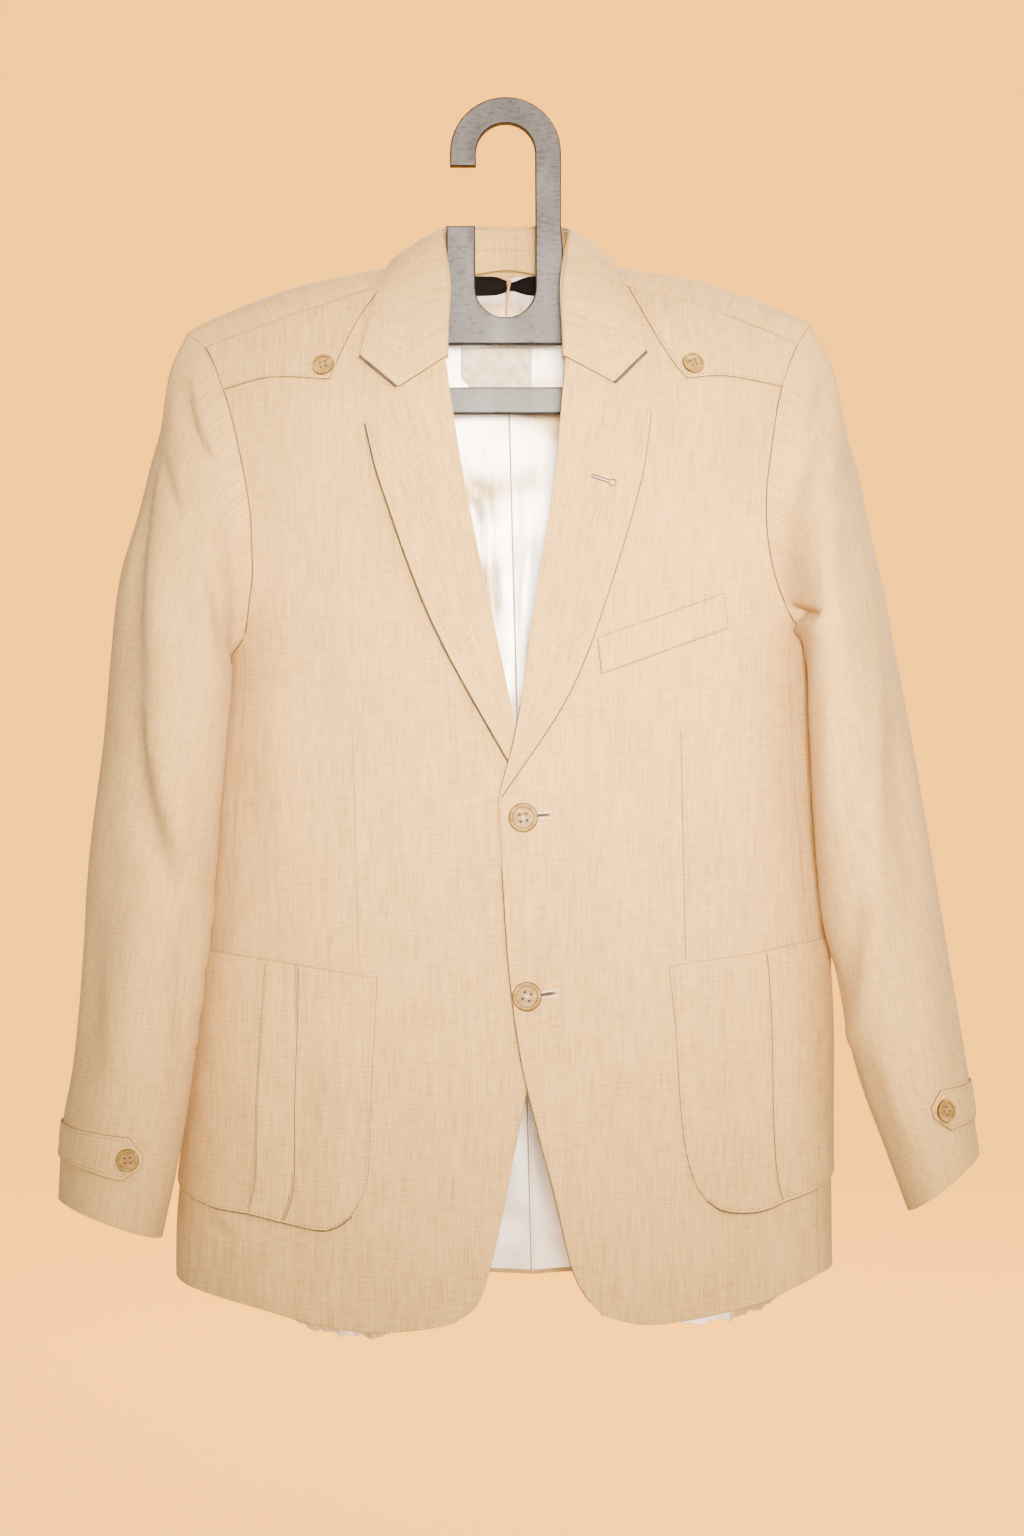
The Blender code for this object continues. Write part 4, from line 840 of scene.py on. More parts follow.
def yoke_place(side):
    """Yoke flap between its inner edge and the armhole, sewn into the shoulder seam."""
    cut = YOKE_RIGHT if side < 0 else YOKE_LEFT

    def right(v):
        turn = cut["armhole_end"] + (SHOULDER_TURN - cut["armhole_end"]) * v
        _, x, z = armhole(side, turn)
        return np.stack([x, z], axis=-1)

    def bottom(u):
        return along(cut["bottom"] + [tuple(right(np.zeros(1))[0])], u)

    def top(u):
        return along(cut["top"] + [tuple(right(np.ones(1))[0])], u)

    def place(u, v):
        flat = coons(bottom, top, lambda t: along(cut["inner"], t), right, u, v)
        return lifted(on_front(*parts(flat)), SEAM_GAP + FLAP_CLOTH)

    return place


def pocket_place(side):
    """Patch pocket round the side of the body, with its pleat and its fullness."""
    cut = POCKET_RIGHT if side < 0 else POCKET_LEFT
    pleats = PLEATS_RIGHT if side < 0 else PLEATS_LEFT

    def to_girth(points):
        points = np.array(points, dtype=float)
        return np.stack([girth_angle(points[:, 0], points[:, 1]), points[:, 1]], axis=-1)

    edge = np.array(cut["side"], dtype=float)
    if side < 0:
        edge[:, 0] = 180 - edge[:, 0]

    def bottom(u):
        return along(np.vstack([to_girth(cut["bottom"]), edge[:1]]), u)

    def top(u):
        return along(np.vstack([to_girth(cut["top"]), edge[1:]]), u)

    def place(u, v):
        flat = coons(bottom, top, lambda t: along(to_girth(cut["inner"]), t),
                     lambda t: along(edge, t), u, v)
        full = POCKET_FULLNESS * np.sin(math.pi * np.clip(u, 0, 1)) * ramp(0.0, 0.6, v)
        inside = np.zeros_like(full)
        for start, end in zip(pleats["start"], pleats["end"]):
            inside = np.maximum(inside, np.where((u >= start) & (u <= end), 1.0, 0.0))
        rise = 2 * SEAM_GAP + CLOTH + full + PLEAT_RISE * inside * ramp(0.0, 0.05, u)
        return lifted(on_girth(*parts(flat)), rise)

    return place


def welt_place(u, v):
    """Breast welt between its two ends, on the wearer's left front."""
    low = along(WELT["left"], v)
    high = along(WELT["right"], v)
    flat = low + (high - low) * u[..., None]
    return lifted(on_front(*parts(flat)), overlap(*parts(flat)) + WELT_REST + FLAP_CLOTH)


def tab_place(side):
    """Cuff tab round the outside of a sleeve, with a pointed end."""
    cut = TAB_RIGHT if side < 0 else TAB_LEFT

    def place(u, v):
        turn = cut["start"] + (cut["tip"] - cut["start"]) * u
        point = np.clip((cut["tip"] - turn) / TAB_POINT, 0.0, 1.0)
        half = cut["half"] * (0.25 + 0.75 * point)
        ring = cut["ring"] + cut["rise"] * np.clip(turn, 0, None) / cut["tip"] + half * (2 * v - 1)
        return lifted(sleeve_surface(side, turn, ring), TAB_REST + FLAP_CLOTH)

    return place


def lining_depth(z):
    """How far the back lining lies inside the outer face, looser at the neck and the hem."""
    ease = LINING_NECK_REST * ramp(*LINING_NECK_Z, z) + LINING_HEM_EASE * ramp(*LINING_HEM_Z, z)
    return CLOTH + LINING_REST + ease


def lining_back_place(side):
    """Back lining inside the back cloth, from under the neck seam to just above the hem."""
    hem_side = BACK_HEM_SIDE_RIGHT if side < 0 else BACK_HEM_SIDE_LEFT
    hem_centre = BACK_CENTRE[0][1]

    def place(u, v):
        centre = np.interp(v, [0, 1], LINING_CENTRE)
        x = centre + (side * LINING_OUTER - centre) * u
        start = drape_turn(x, hem_centre + (hem_side - hem_centre) * u + LINING_HEM_REST, front=False)
        fall = LINING_TOP_FALL * np.clip(np.abs(x) / LINING_TOP_REACH, 0, 1)
        end = -np.radians(LINING_TOP_TURN - fall)
        points, normal = on_drape(x, start + (end - start) * v)
        return lifted((points, normal), -lining_depth(points[..., 2]) - lining_ease(points))

    return place


def lining_front_place(side, start, end, peek):
    """Strip of lining inside a front's hem that shows below it."""
    cut = FRONT_RIGHT if side < 0 else FRONT_LEFT
    hem = np.array(sorted(cut["hem"]), dtype=float)

    def place(u, v):
        x = start + (end - start) * u
        low = np.interp(x, hem[:, 0], hem[:, 1]) - peek * np.sin(math.pi * u) ** 0.5
        return lifted(on_front(x, low + (HEM_LINING_TOP - low) * v), -CLOTH - HEM_LINING_REST)

    return place


def on_lining(x, z, rest):
    """Point on the inside of the back lining, at a rest off it."""
    return lifted(on_drape(x, drape_turn(x, z, front=False)), -(lining_depth(z) + LINING_CLOTH + rest))


# Creases, one row each: three points of the line as seen from the front, its rise out of
# the cloth, its half width, and its width on the right of its run as a share of the left.
CREASE_COLUMNS = "x0 z0 x1 z1 x2 z2 rise width steep"
FRONT_CREASES = columns(CREASE_COLUMNS, [
    (-150, -318, -158, -440, -152, -560, 1.3, 17, 1.0), (-128, -300, -131, -380, -126, -455, -0.9, 12, 1.0),
    (-70, -300, -78, -400, -72, -520, 0.9, 15, 1.0), (-58, -520, -64, -610, -60, -720, 0.8, 16, 1.0),
    (-140, -500, -128, -509, -112, -512, -0.8, 6, 0.7), (-126, -576, -119, -585, -111, -590, -0.6, 5, 0.8),
    (-185, -470, -176, -500, -182, -552, -1.1, 11, 1.0), (-168, -792, -164, -815, -170, -842, 1.2, 12, 1.0),
    (-112, -795, -116, -820, -112, -850, -0.8, 11, 1.0), (-80, -640, -74, -720, -82, -820, -0.9, 17, 1.0),
    (100, -300, 106, -350, 98, -420, 0.8, 15, 1.0), (160, -240, 150, -270, 158, -318, -0.8, 12, 1.0),
    (144, -534, 167, -541, 198, -538, -0.9, 5, 0.6), (144, -511, 156, -516, 170, -517, -0.6, 5, 0.7),
    (70, -450, 78, -500, 72, -590, 0.9, 15, 1.0), (165, -400, 172, -460, 166, -560, 1.2, 15, 1.0),
    (60, -640, 52, -720, 62, -800, 0.8, 15, 1.0), (95, -620, 102, -700, 96, -820, -0.9, 13, 1.0),
    (172, -792, 176, -815, 186, -838, 1.4, 10, 0.8), (150, -785, 150, -815, 158, -845, -1.0, 10, 1.0),
    (205, -775, 209, -795, 214, -820, -1.3, 9, 1.0), (36, -500, 60, -506, 88, -500, -0.5, 8, 0.8),
    (-146, -596, -142, -690, -148, -775, -1.6, 9, 1.0), (-122, -610, -118, -690, -124, -770, 0.9, 11, 1.0),
    (-170, -600, -168, -690, -172, -770, 0.8, 9, 1.0), (-207, -768, -200, -776, -196, -788, 1.2, 4, 0.8),
    (-204, -785, -198, -792, -188, -794, -1.1, 4, 1.0), (-192, -772, -188, -790, -191, -808, 0.9, 5, 1.0),
    (-150, -796, -146, -812, -150, -834, -1.0, 8, 1.0), (176, -610, 180, -690, 175, -765, -1.2, 10, 1.0),
])
BACK_CREASES = columns(CREASE_COLUMNS, [
    (-120, -200, -132, -290, -118, -400, 1.4, 16, 1.0), (112, -210, 124, -300, 114, -390, 1.2, 15, 1.0),
    (-60, -230, -66, -330, -58, -470, -0.9, 14, 1.0), (64, -250, 58, -360, 68, -500, -0.8, 15, 1.0),
    (-150, -486, -90, -500, -36, -494, -1.1, 7, 0.7), (30, -512, 90, -520, 150, -508, -1.0, 7, 0.7),
    (-130, -540, -84, -548, -48, -540, -0.7, 6, 0.8), (44, -470, 84, -478, 120, -472, -0.7, 6, 0.8),
    (-150, -600, -142, -700, -156, -820, 1.4, 18, 1.0), (-80, -580, -88, -690, -78, -820, -1.1, 17, 1.0),
    (84, -590, 92, -700, 82, -825, 1.2, 17, 1.0), (150, -600, 144, -690, 156, -815, -1.2, 16, 1.0),
    (-34, -560, -28, -690, -36, -826, 0.9, 14, 1.0), (40, -610, 34, -720, 44, -828, -0.9, 14, 1.0),
])
SLEEVE_RIGHT_CREASES = columns(CREASE_COLUMNS, [
    (-240, -190, -247, -300, -243, -410, 2.2, 9, 2.2), (-254, -200, -260, -320, -255, -440, -2.6, 11, 1.0),
    (-243, -400, -236, -470, -206, -545, 2.6, 8, 2.0), (-256, -420, -249, -492, -220, -560, -3.2, 10, 0.8),
    (-225, -186, -217, -232, -183, -263, -2.8, 8, 0.55), (-219, -178, -208, -218, -180, -244, 1.4, 9, 1.0),
    (-243, -236, -236, -265, -226, -290, -1.6, 6, 0.7), (-206, -330, -198, -350, -192, -394, -2.2, 8, 0.7),
    (-214, -322, -208, -356, -204, -400, 1.6, 8, 1.0), (-222, -300, -206, -312, -190, -306, -0.9, 7, 1.0),
    (-204, -540, -211, -610, -219, -690, 2.4, 6, 0.8), (-221, -552, -221, -616, -226, -690, -2.4, 9, 1.0),
    (-276, -470, -262, -486, -244, -488, -1.2, 8, 0.8), (-280, -530, -262, -540, -242, -534, -1.1, 9, 0.8),
    (-252, -560, -258, -620, -256, -690, 1.5, 13, 1.0), (-284, -560, -288, -620, -286, -680, -1.3, 9, 1.0),
    (-240, -600, -246, -650, -244, -700, -1.1, 9, 1.0), (-276, -600, -272, -640, -276, -690, 1.0, 9, 1.0),
    (-270, -738, -262, -752, -268, -768, -0.7, 7, 1.0), (-236, -722, -240, -748, -238, -770, 0.9, 8, 1.0),
])
SLEEVE_LEFT_CREASES = columns(CREASE_COLUMNS, [
    (231, -184, 219, -224, 192, -278, -2.8, 8, 1.8), (240, -190, 232, -236, 208, -290, 1.8, 10, 1.0),
    (197, -340, 227, -332, 256, -330, -1.2, 6, 0.8), (196, -351, 207, -355, 219, -359, -4.2, 5, 0.7),
    (200, -366, 210, -364, 222, -368, 2.2, 6, 1.0), (204, -320, 220, -312, 240, -314, 0.9, 8, 1.0),
    (259, -372, 258, -450, 255, -546, 1.8, 9, 0.8), (255, -540, 250, -600, 238, -664, 2.2, 9, 0.8),
    (247, -470, 244, -540, 240, -580, -1.5, 9, 1.0), (243, -560, 238, -610, 232, -650, -2.0, 9, 1.0),
    (222, -400, 224, -460, 226, -540, 1.6, 7, 1.0), (232, -390, 234, -450, 234, -520, -1.4, 8, 1.0),
    (274, -420, 278, -490, 282, -560, -1.4, 10, 1.0), (284, -560, 292, -620, 296, -680, 1.3, 12, 1.0),
    (268, -600, 274, -650, 276, -700, -1.2, 10, 1.0), (258, -500, 276, -508, 296, -502, -0.8, 8, 0.8),
    (262, -660, 270, -700, 284, -730, 1.2, 9, 1.0), (250, -652, 258, -690, 272, -730, -1.2, 8, 1.0),
])
SLEEVE_BACK_CREASES = columns(CREASE_COLUMNS, [
    (252, -220, 248, -300, 256, -390, 2.0, 12, 1.0), (228, -230, 216, -280, 206, -330, -2.2, 9, 0.7),
    (236, -250, 234, -330, 238, -420, -1.6, 12, 1.0), (222, -400, 240, -430, 268, -440, -1.8, 8, 0.7),
    (224, -450, 246, -474, 276, -478, -1.4, 8, 0.7), (238, -500, 262, -512, 290, -506, 1.4, 9, 1.0),
    (262, -540, 272, -620, 286, -700, 1.6, 12, 1.0), (246, -560, 254, -620, 262, -680, -1.5, 11, 1.0),
    (292, -560, 300, -640, 308, -700, -1.3, 11, 1.0), (244, -350, 258, -362, 272, -358, -1.2, 8, 0.8),
])
LINING_CREASES = columns(CREASE_COLUMNS, [
    (-14, -225, -11, -330, -3, -430, 2.2, 6, 1.0), (17, -228, 15, -330, 9, -425, 1.8, 6, 1.0),
    (-36, -236, -24, -258, -9, -266, 1.8, 4, 1.0), (-30, -262, -20, -282, -8, -292, -1.4, 4, 1.0),
    (6, -292, 16, -310, 32, -316, 1.6, 5, 1.0), (-22, -330, -12, -346, 1, -350, 1.4, 4, 1.0),
    (4, -352, 12, -362, 20, -360, -1.2, 4, 1.0), (-10, -372, -4, -382, 4, -384, 1.2, 3, 1.0),
    (2, -398, 6, -408, 12, -410, 1.0, 3, 1.0), (-30, -300, -26, -330, -18, -360, -1.0, 5, 1.0),
    (-4, -720, 4, -750, 12, -786, 1.8, 6, 1.0), (26, -725, 30, -760, 34, -800, 1.5, 6, 1.0),
    (-8, -765, 4, -778, 15, -780, 1.5, 4, 1.0), (-12, -792, -2, -800, 12, -798, -1.2, 4, 1.0),
    (22, -742, 30, -748, 40, -744, -1.0, 4, 1.0), (4, -806, 20, -803, 36, -806, 1.2, 3, 1.0),
    (-90, -300, -84, -460, -92, -640, 2.4, 14, 1.0), (80, -320, 88, -470, 78, -620, 2.2, 14, 1.0),
    (-60, -480, -40, -500, -12, -506, 1.8, 6, 1.0), (30, -540, 52, -556, 80, -552, 1.6, 6, 1.0),
])
CREASE_STEPS = 21
CREASE_FADE = 0.7
CREASE_REACH = 3
BODY_CREASE_SHARE = 1.7
SLEEVE_CREASE_SHARE = 2.1
# Looseness of the back lining, and the heights between which it sets in below the patch.
LINING_EASE = 1.4
LINING_LOOSE_Z = (-192.0, -226.0)
# Where creases of the front and the back set in: depths on the body, shares of a sleeve's
# depth, and the rings over which a sleeve is flat at its armhole.
BODY_BLEND = (4.0, 24.0)
SLEEVE_BLEND = (0.0, 0.35)
SLEEVE_FLAT = (0.0, 1.2)
# Soft unevenness of hung cloth: run across and down for each wave in millimetres, and height.
WAVES = columns("across down shift height", [
    (116, 610, 0.4, 0.34), (210, -330, 1.9, 0.30), (72, 950, 3.1, 0.20), (165, 190, 5.0, 0.24),
    (58, -260, 2.2, 0.14),
])
SLEEVE_WAVES = 1.6


def relief(table, x, z):
    """Rise of a table's creases at points seen from the front."""
    total = np.zeros(np.shape(x))
    share = np.linspace(0, 1, CREASE_STEPS)
    fade = (4 * share * (1 - share)) ** CREASE_FADE
    for x0, z0, x1, z1, x2, z2, rise, width, steep in zip(*table.values()):
        bow_x = 2 * x1 - (x0 + x2) / 2
        bow_z = 2 * z1 - (z0 + z2) / 2
        line_x = (1 - share) ** 2 * x0 + 2 * share * (1 - share) * bow_x + share ** 2 * x2
        line_z = (1 - share) ** 2 * z0 + 2 * share * (1 - share) * bow_z + share ** 2 * z2
        reach = CREASE_REACH * width * max(steep, 1.0)
        near = (x > line_x.min() - reach) & (x < line_x.max() + reach)
        near &= (z > line_z.min() - reach) & (z < line_z.max() + reach)
        if not near.any():
            continue
        away_x = x[near][:, None] - line_x
        away_z = z[near][:, None] - line_z
        gap = away_x ** 2 + away_z ** 2
        spot = gap.argmin(axis=1)
        row = np.arange(len(spot))
        run_x = np.gradient(line_x)[spot]
        run_z = np.gradient(line_z)[spot]
        right = run_z * away_x[row, spot] - run_x * away_z[row, spot] < 0
        wide = width * np.where(right, steep, 1.0)
        total[near] += rise * fade[spot] * np.exp(-gap[row, spot] / wide ** 2)
    return total


def waves(x, z):
    """Soft unevenness of hung cloth."""
    total = np.zeros(np.shape(x))
    for across, down, shift, height in zip(*WAVES.values()):
        total += height * np.sin(2 * math.pi * (x / across + z / down) + shift)
    return total


def lining_ease(points):
    """How far the loose back lining hangs off its plain form, below the patch."""
    x, z = points[..., 0], points[..., 2]
    loose = LINING_EASE + relief(LINING_CREASES, x, z) + waves(x, z)
    return np.maximum(loose, 0.0) * ramp(*LINING_LOOSE_Z, z)


# How far body and sleeve each swell where the arm leans on the side, by height, and where
# that begins as shares of the body's and the sleeve's half widths.
CONTACT = columns("height right left", [
    (-606, 0.0, 0.0), (-582, 1.6, 2.2), (-556, 3.0, 2.5), (-519, 3.2, 1.5), (-478, 3.5, 2.3),
    (-427, 2.3, 3.3), (-392, 1.7, 2.6), (-366, 0.0, 0.0),
])
CONTACT_FROM = 0.94
CONTACT_INSIDE = 0.3


def contact(side, z):
    """Swell of the cloth where a sleeve leans on the body."""
    return through(CONTACT["height"], CONTACT["right" if side < 0 else "left"], z)


def body_relief(points):
    """Rise of the body's cloth off its plain form, in creases and soft waves."""
    x, y, z = points[..., 0], points[..., 1], points[..., 2]
    rise = ramp(*BODY_BLEND, -y) * relief(FRONT_CREASES, x, z)
    rise = rise + ramp(*BODY_BLEND, y) * relief(BACK_CREASES, x, z)
    near = ramp(CONTACT_FROM, 1.0, np.abs(x) / half_at(x, section(z)))
    lean = near * np.where(x < 0, contact(-1, z), contact(1, z))
    return BODY_CREASE_SHARE * rise + waves(x, z) + lean


def sleeve_relief(side, points, turn, ring):
    """Rise of a sleeve's cloth off its plain form, flat where it is sewn to the armhole."""
    x, z = points[..., 0], points[..., 2]
    ahead = np.sin(np.radians(turn))
    table = SLEEVE_RIGHT_CREASES if side < 0 else SLEEVE_LEFT_CREASES
    rise = ramp(*SLEEVE_BLEND, ahead) * relief(table, x, z)
    rise = rise + ramp(*SLEEVE_BLEND, -ahead) * relief(SLEEVE_BACK_CREASES, side * x, z)
    lean = contact(side, z) * ramp(CONTACT_INSIDE, 1.0, -np.cos(np.radians(turn)))
    return (SLEEVE_CREASE_SHARE * rise + SLEEVE_WAVES * waves(x, z) + lean) * ramp(*SLEEVE_FLAT, ring)


BODY = "root"
# Roll of a cloth's edge as a share of its thickness, the angles from which edges of a wall
# are rolled and edges of cloth and of hard pieces are shown sharp, and the steps of a drawn line.
EDGE_ROLL = 0.42
EDGE_ANGLE = math.radians(60.0)
CLOTH_SHARP = math.radians(50.0)
HARD_SHARP = math.radians(40.0)
LINE_STEPS = 60


def put(name, data):
    """New object in the scene."""
    item = bpy.data.objects.new(name, data)
    bpy.context.scene.collection.objects.link(item)
    return item


def mesh_of(name, shape):
    """Mesh of a finished bmesh, which is freed."""
    mesh = bpy.data.meshes.new(name)
    shape.to_mesh(mesh)
    shape.free()
    return mesh


def turned_shape(line, steps, merge):
    """Shape turned about the upright axis from a line of distances out and up."""
    shape = bmesh.new()
    spots = [shape.verts.new((out, 0.0, up)) for out, up in line]
    edges = [shape.edges.new(pair) for pair in zip(spots[:-1], spots[1:])]
    bmesh.ops.spin(shape, geom=spots + edges, cent=(0, 0, 0), axis=(0, 0, 1), angle=2 * math.pi,
                   steps=steps, use_merge=True)
    bmesh.ops.remove_doubles(shape, verts=shape.verts[:], dist=merge)
    bmesh.ops.recalc_face_normals(shape, faces=shape.faces[:])
    return shape


def two_tone(mesh, face_look, side_look, is_face):
    """Give a hard piece one finish on its faces and another, darker one on its sides, as painted shade."""
    mesh.materials.clear()
    for look in (face_look, side_look):
        mesh.materials.append(finish(look))
    for face in mesh.polygons:
        face.material_index = 0 if is_face(face.normal) else 1
    mesh.set_sharp_from_angle(angle=HARD_SHARP)


def spread(count, start=0.0, end=1.0):
    return np.linspace(start, end, count + 1)


def finer(keys, parts):
    """Split each step of a list of shares into equal parts."""
    index = np.arange(len(keys), dtype=float)
    return np.interp(np.linspace(0, len(keys) - 1, (len(keys) - 1) * parts + 1), index, keys)


def add_piece(name, mesh, material, slot, *nodes):
    """Put a finished mesh in the scene as a piece of the blazer."""
    piece = put(name, mesh)
    if not mesh.materials:
        mesh.materials.append(material)
    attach(piece, BODY)
    if nodes:
        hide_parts(*nodes)
    return piece


def runs(points, axis):
    """Length along a grid of points from its first row or column."""
    steps = np.linalg.norm(np.diff(points, axis=axis), axis=-1)
    zero = np.zeros_like(np.take(steps, [0], axis=axis))
    return np.concatenate((zero, np.cumsum(steps, axis=axis)), axis=axis)


def weave_lines(outer, turned):
    """Distances along the cloth's threads, across and up.

    Straight pieces hang with their threads upright, turned ones have them along their own length.
    """
    if turned:
        across = runs(outer, 0).mean(axis=1, keepdims=True)
        up = runs(outer, 1).mean(axis=0, keepdims=True)
        return across + 0 * up, up + 0 * across
    level = runs(outer * np.array([1.0, 1.0, 0.0]), 0)
    upright = runs(outer * np.array([0.0, 1.0, 1.0]), 1)
    way = np.sign(outer[-1].mean(axis=0) - outer[0].mean(axis=0))[0]
    climb = np.sign(outer[:, -1].mean(axis=0) - outer[:, 0].mean(axis=0))[2]
    return outer[:1, :, 0] + way * level, outer[:, :1, 2] + climb * upright


def wall_mesh(name, place, cols, rows, thick, turned=False):
    """Closed wall of cloth on a piece's surface, with its weave's UV map in metres."""
    across = len(cols) - 1
    down = len(rows) - 1
    u, v = np.meshgrid(cols, rows, indexing="ij")
    outer, normal = place(u, v)
    inner = outer - thick * normal
    shape = bmesh.new()
    bmesh.ops.create_grid(shape, x_segments=across, y_segments=down, size=0.5)
    deep = bmesh.ops.extrude_face_region(shape, geom=shape.faces[:])["geom"]
    deep = [item for item in deep if isinstance(item, bmesh.types.BMVert)]
    bmesh.ops.translate(shape, verts=deep, vec=(0.0, 0.0, -1.0))
    bmesh.ops.recalc_face_normals(shape, faces=shape.faces[:])
    mesh = mesh_of(name, shape)
    flat = np.empty(3 * len(mesh.vertices))
    mesh.vertices.foreach_get("co", flat)
    flat = flat.reshape(-1, 3)
    i = np.rint((flat[:, 0] + 0.5) * across).astype(int)
    j = np.rint((flat[:, 1] + 0.5) * down).astype(int)
    inside = flat[:, 2] < -0.5
    spots = np.where(inside[:, None], inner[i, j], outer[i, j]) * MM
    mesh.vertices.foreach_set("co", spots.ravel())
    weave_x, weave_y = [line[i, j] for line in weave_lines(outer, turned)]
    corners = np.empty(len(mesh.loops), dtype=np.int32)
    mesh.loops.foreach_get("vertex_index", corners)
    sides = inside[corners].reshape(-1, 4)
    # Faces of the side walls take the piece's second finish, mostly a darker copy that paints shade.
    mesh.polygons.foreach_set("material_index", (sides.any(axis=1) & ~sides.all(axis=1)).astype(np.int32))
    weave = mesh.uv_layers.new(name="weave")
    weave.data.foreach_set("uv", (np.stack([weave_x, weave_y], axis=-1)[corners] * MM).ravel())
    corner = outer[:-1, :-1]
    if np.sum(np.cross(outer[1:, :-1] - corner, outer[:-1, 1:] - corner) * normal[:-1, :-1]) < 0:
        mesh.flip_normals()
    mesh.shade_smooth()
    mesh.set_sharp_from_angle(angle=CLOTH_SHARP)
    mesh.update()
    return mesh, outer


def cut_size(outer):
    """Width, length and area of a piece as it was cut, in metres."""
    width = runs(outer, 0)[-1].max() * MM
    length = runs(outer, 1)[:, -1].max() * MM
    corner = outer[:-1, :-1]
    one = np.linalg.norm(np.cross(outer[1:, :-1] - corner, outer[:-1, 1:] - corner), axis=-1)
    other = np.linalg.norm(np.cross(outer[:-1, 1:] - outer[1:, 1:], outer[1:, :-1] - outer[1:, 1:]), axis=-1)
    area = (one.sum() + other.sum()) / 2 * MM * MM
    return width, length, area


def sheet_piece(node, place, cols, rows, thick, look, slot, turned=False, rim="_edge"):
    """Sheet of cloth that stands for one solid, with a rolled edge in a second finish, mostly a darker copy
    that paints shade.
    """
    mesh, outer = wall_mesh(node + "_sheet", place, cols, rows, thick, turned)
    mesh.materials.append(finish(look))
    mesh.materials.append(finish(look + rim))
    piece = add_piece(node + "_sheet", mesh, None, slot, node)
    edge = piece.modifiers.new("rolled edge", "BEVEL")
    edge.limit_method = "ANGLE"
    edge.angle_limit = EDGE_ANGLE
    edge.width = EDGE_ROLL * thick * MM
    edge.segments = 2
    edge.profile = 0.5
    # The rolled edge takes the second finish too, with its painted shade.
    edge.material = 1
    width, length, area = cut_size(outer)
    min(area, width * length)
    return piece


def joined(name, shapes):
    """One mesh from many copies of a small shape: corners of each copy, then the shared faces."""
    corners = np.concatenate([spots for spots, faces in shapes])
    starts = np.cumsum([0] + [len(spots) for spots, faces in shapes[:-1]])
    faces = [tuple(index + start for index in face)
             for (spots, rows), start in zip(shapes, starts) for face in rows]
    mesh = bpy.data.meshes.new(name)
    mesh.from_pydata((corners * MM).tolist(), [], faces)
    mesh.shade_smooth()
    mesh.update()
    return mesh


def small_shape(make, **settings):
    """Corners and faces of a small shape made by a bmesh operator."""
    shape = bmesh.new()
    make(shape, **settings)
    shape.verts.index_update()
    spots = np.array([corner.co[:] for corner in shape.verts])
    faces = [tuple(corner.index for corner in face.verts) for face in shape.faces]
    shape.free()
    return spots, faces


def frames(points, normal):
    """Directions along, across and out at the points of a line."""
    ahead = unit(np.gradient(points, axis=0))
    out = unit(normal - ahead * np.sum(normal * ahead, axis=-1, keepdims=True))
    return np.stack([ahead, np.cross(out, ahead), out], axis=1)


def even_line(place, corners, step):
    """Points and directions at even steps along a line drawn on a piece's surface."""
    share = np.linspace(0, 1, LINE_STEPS * (len(corners) - 1) + 1)
    flat = along(corners, share, sharp=True)
    points, normal = place(flat[:, :1], flat[:, 1:])
    points = points[:, 0]
    normal = normal[:, 0]
    run = runs(points, 0)
    count = max(int(run[-1] / step), 2)
    at = (np.arange(count) + 0.5) * run[-1] / count
    spots = np.stack([np.interp(at, run, column) for column in points.T], axis=-1)
    out = np.stack([np.interp(at, run, column) for column in normal.T], axis=-1)
    return spots, frames(spots, out)


# Distance from stitch to stitch, and length, width and height of one.
STITCH_STEP = 3.1
STITCH_SIZE = (2.2, 0.65, 0.4)


def stitches(place, corners, step=STITCH_STEP, size=STITCH_SIZE):
    """Row of sewn stitches along a line on a piece, each a small bead of thread."""
    bead, faces = small_shape(bmesh.ops.create_icosphere, subdivisions=1, radius=0.5)
    bead = bead * np.array(size)
    spots, turned = even_line(place, corners, step)
    return [(spot + bead @ turn, faces) for spot, turn in zip(spots, turned)]


def linear(code):
    """Linear colour of an sRGB hex value."""
    parts = [int(code[i:i + 2], 16) / 255 for i in (1, 3, 5)]
    return tuple(p / 12.92 if p <= 0.04045 else ((p + 0.055) / 1.055) ** 2.4 for p in parts)


def node(tree, kind, settings=None, links=None):
    """Add a node with its settings, the stops of its ramp and the sockets that feed it."""
    item = tree.nodes.new(kind)
    for key, value in (settings or {}).items():
        if key == "stops":
            marks = item.color_ramp.elements
            while len(marks) < len(value):
                marks.new(0.5)
            for mark, (place, colour) in zip(marks, value):
                mark.position = place
                mark.color = (*colour, 1.0)
        elif isinstance(key, str) and hasattr(item, key):
            setattr(item, key, value)
        else:
            item.inputs[key].default_value = value
    for key, source in (links or {}).items():
        tree.links.new(source, item.inputs[key])
    return item


def new_finish(name, drawn_on, **values):
    """Material, its nodes, its shader with plain sockets set, and the coordinates it is drawn on."""
    material = bpy.data.materials.new(name)
    material.use_nodes = True
    tree = material.node_tree
    shader = tree.nodes["Principled BSDF"]
    for key, value in values.items():
        shader.inputs[key.replace("_", " ").title().replace("Ior", "IOR")].default_value = value
    return material, tree, shader, node(tree, "ShaderNodeTexCoord").outputs[drawn_on]


def on_upright_face(tree, vector):
    """Coordinates turned so that a pattern is drawn on an upright face."""
    turn = {"Rotation": (math.pi / 2, 0.0, 0.0)}
    return node(tree, "ShaderNodeMapping", turn, {"Vector": vector}).outputs["Vector"]


def streaks(tree, vector, across, down, detail=2.0, rough=0.55):
    """Noise drawn out along the threads: its size across and down in millimetres."""
    size = {"Scale": (1 / (across * MM), 1 / (down * MM), 1.0)}
    drawn = node(tree, "ShaderNodeMapping", size, {"Vector": vector})
    look = {"noise_dimensions": "2D", "Scale": 1.0, "Detail": detail, "Roughness": rough}
    return node(tree, "ShaderNodeTexNoise", look, {"Vector": drawn.outputs["Vector"]}).outputs["Fac"]


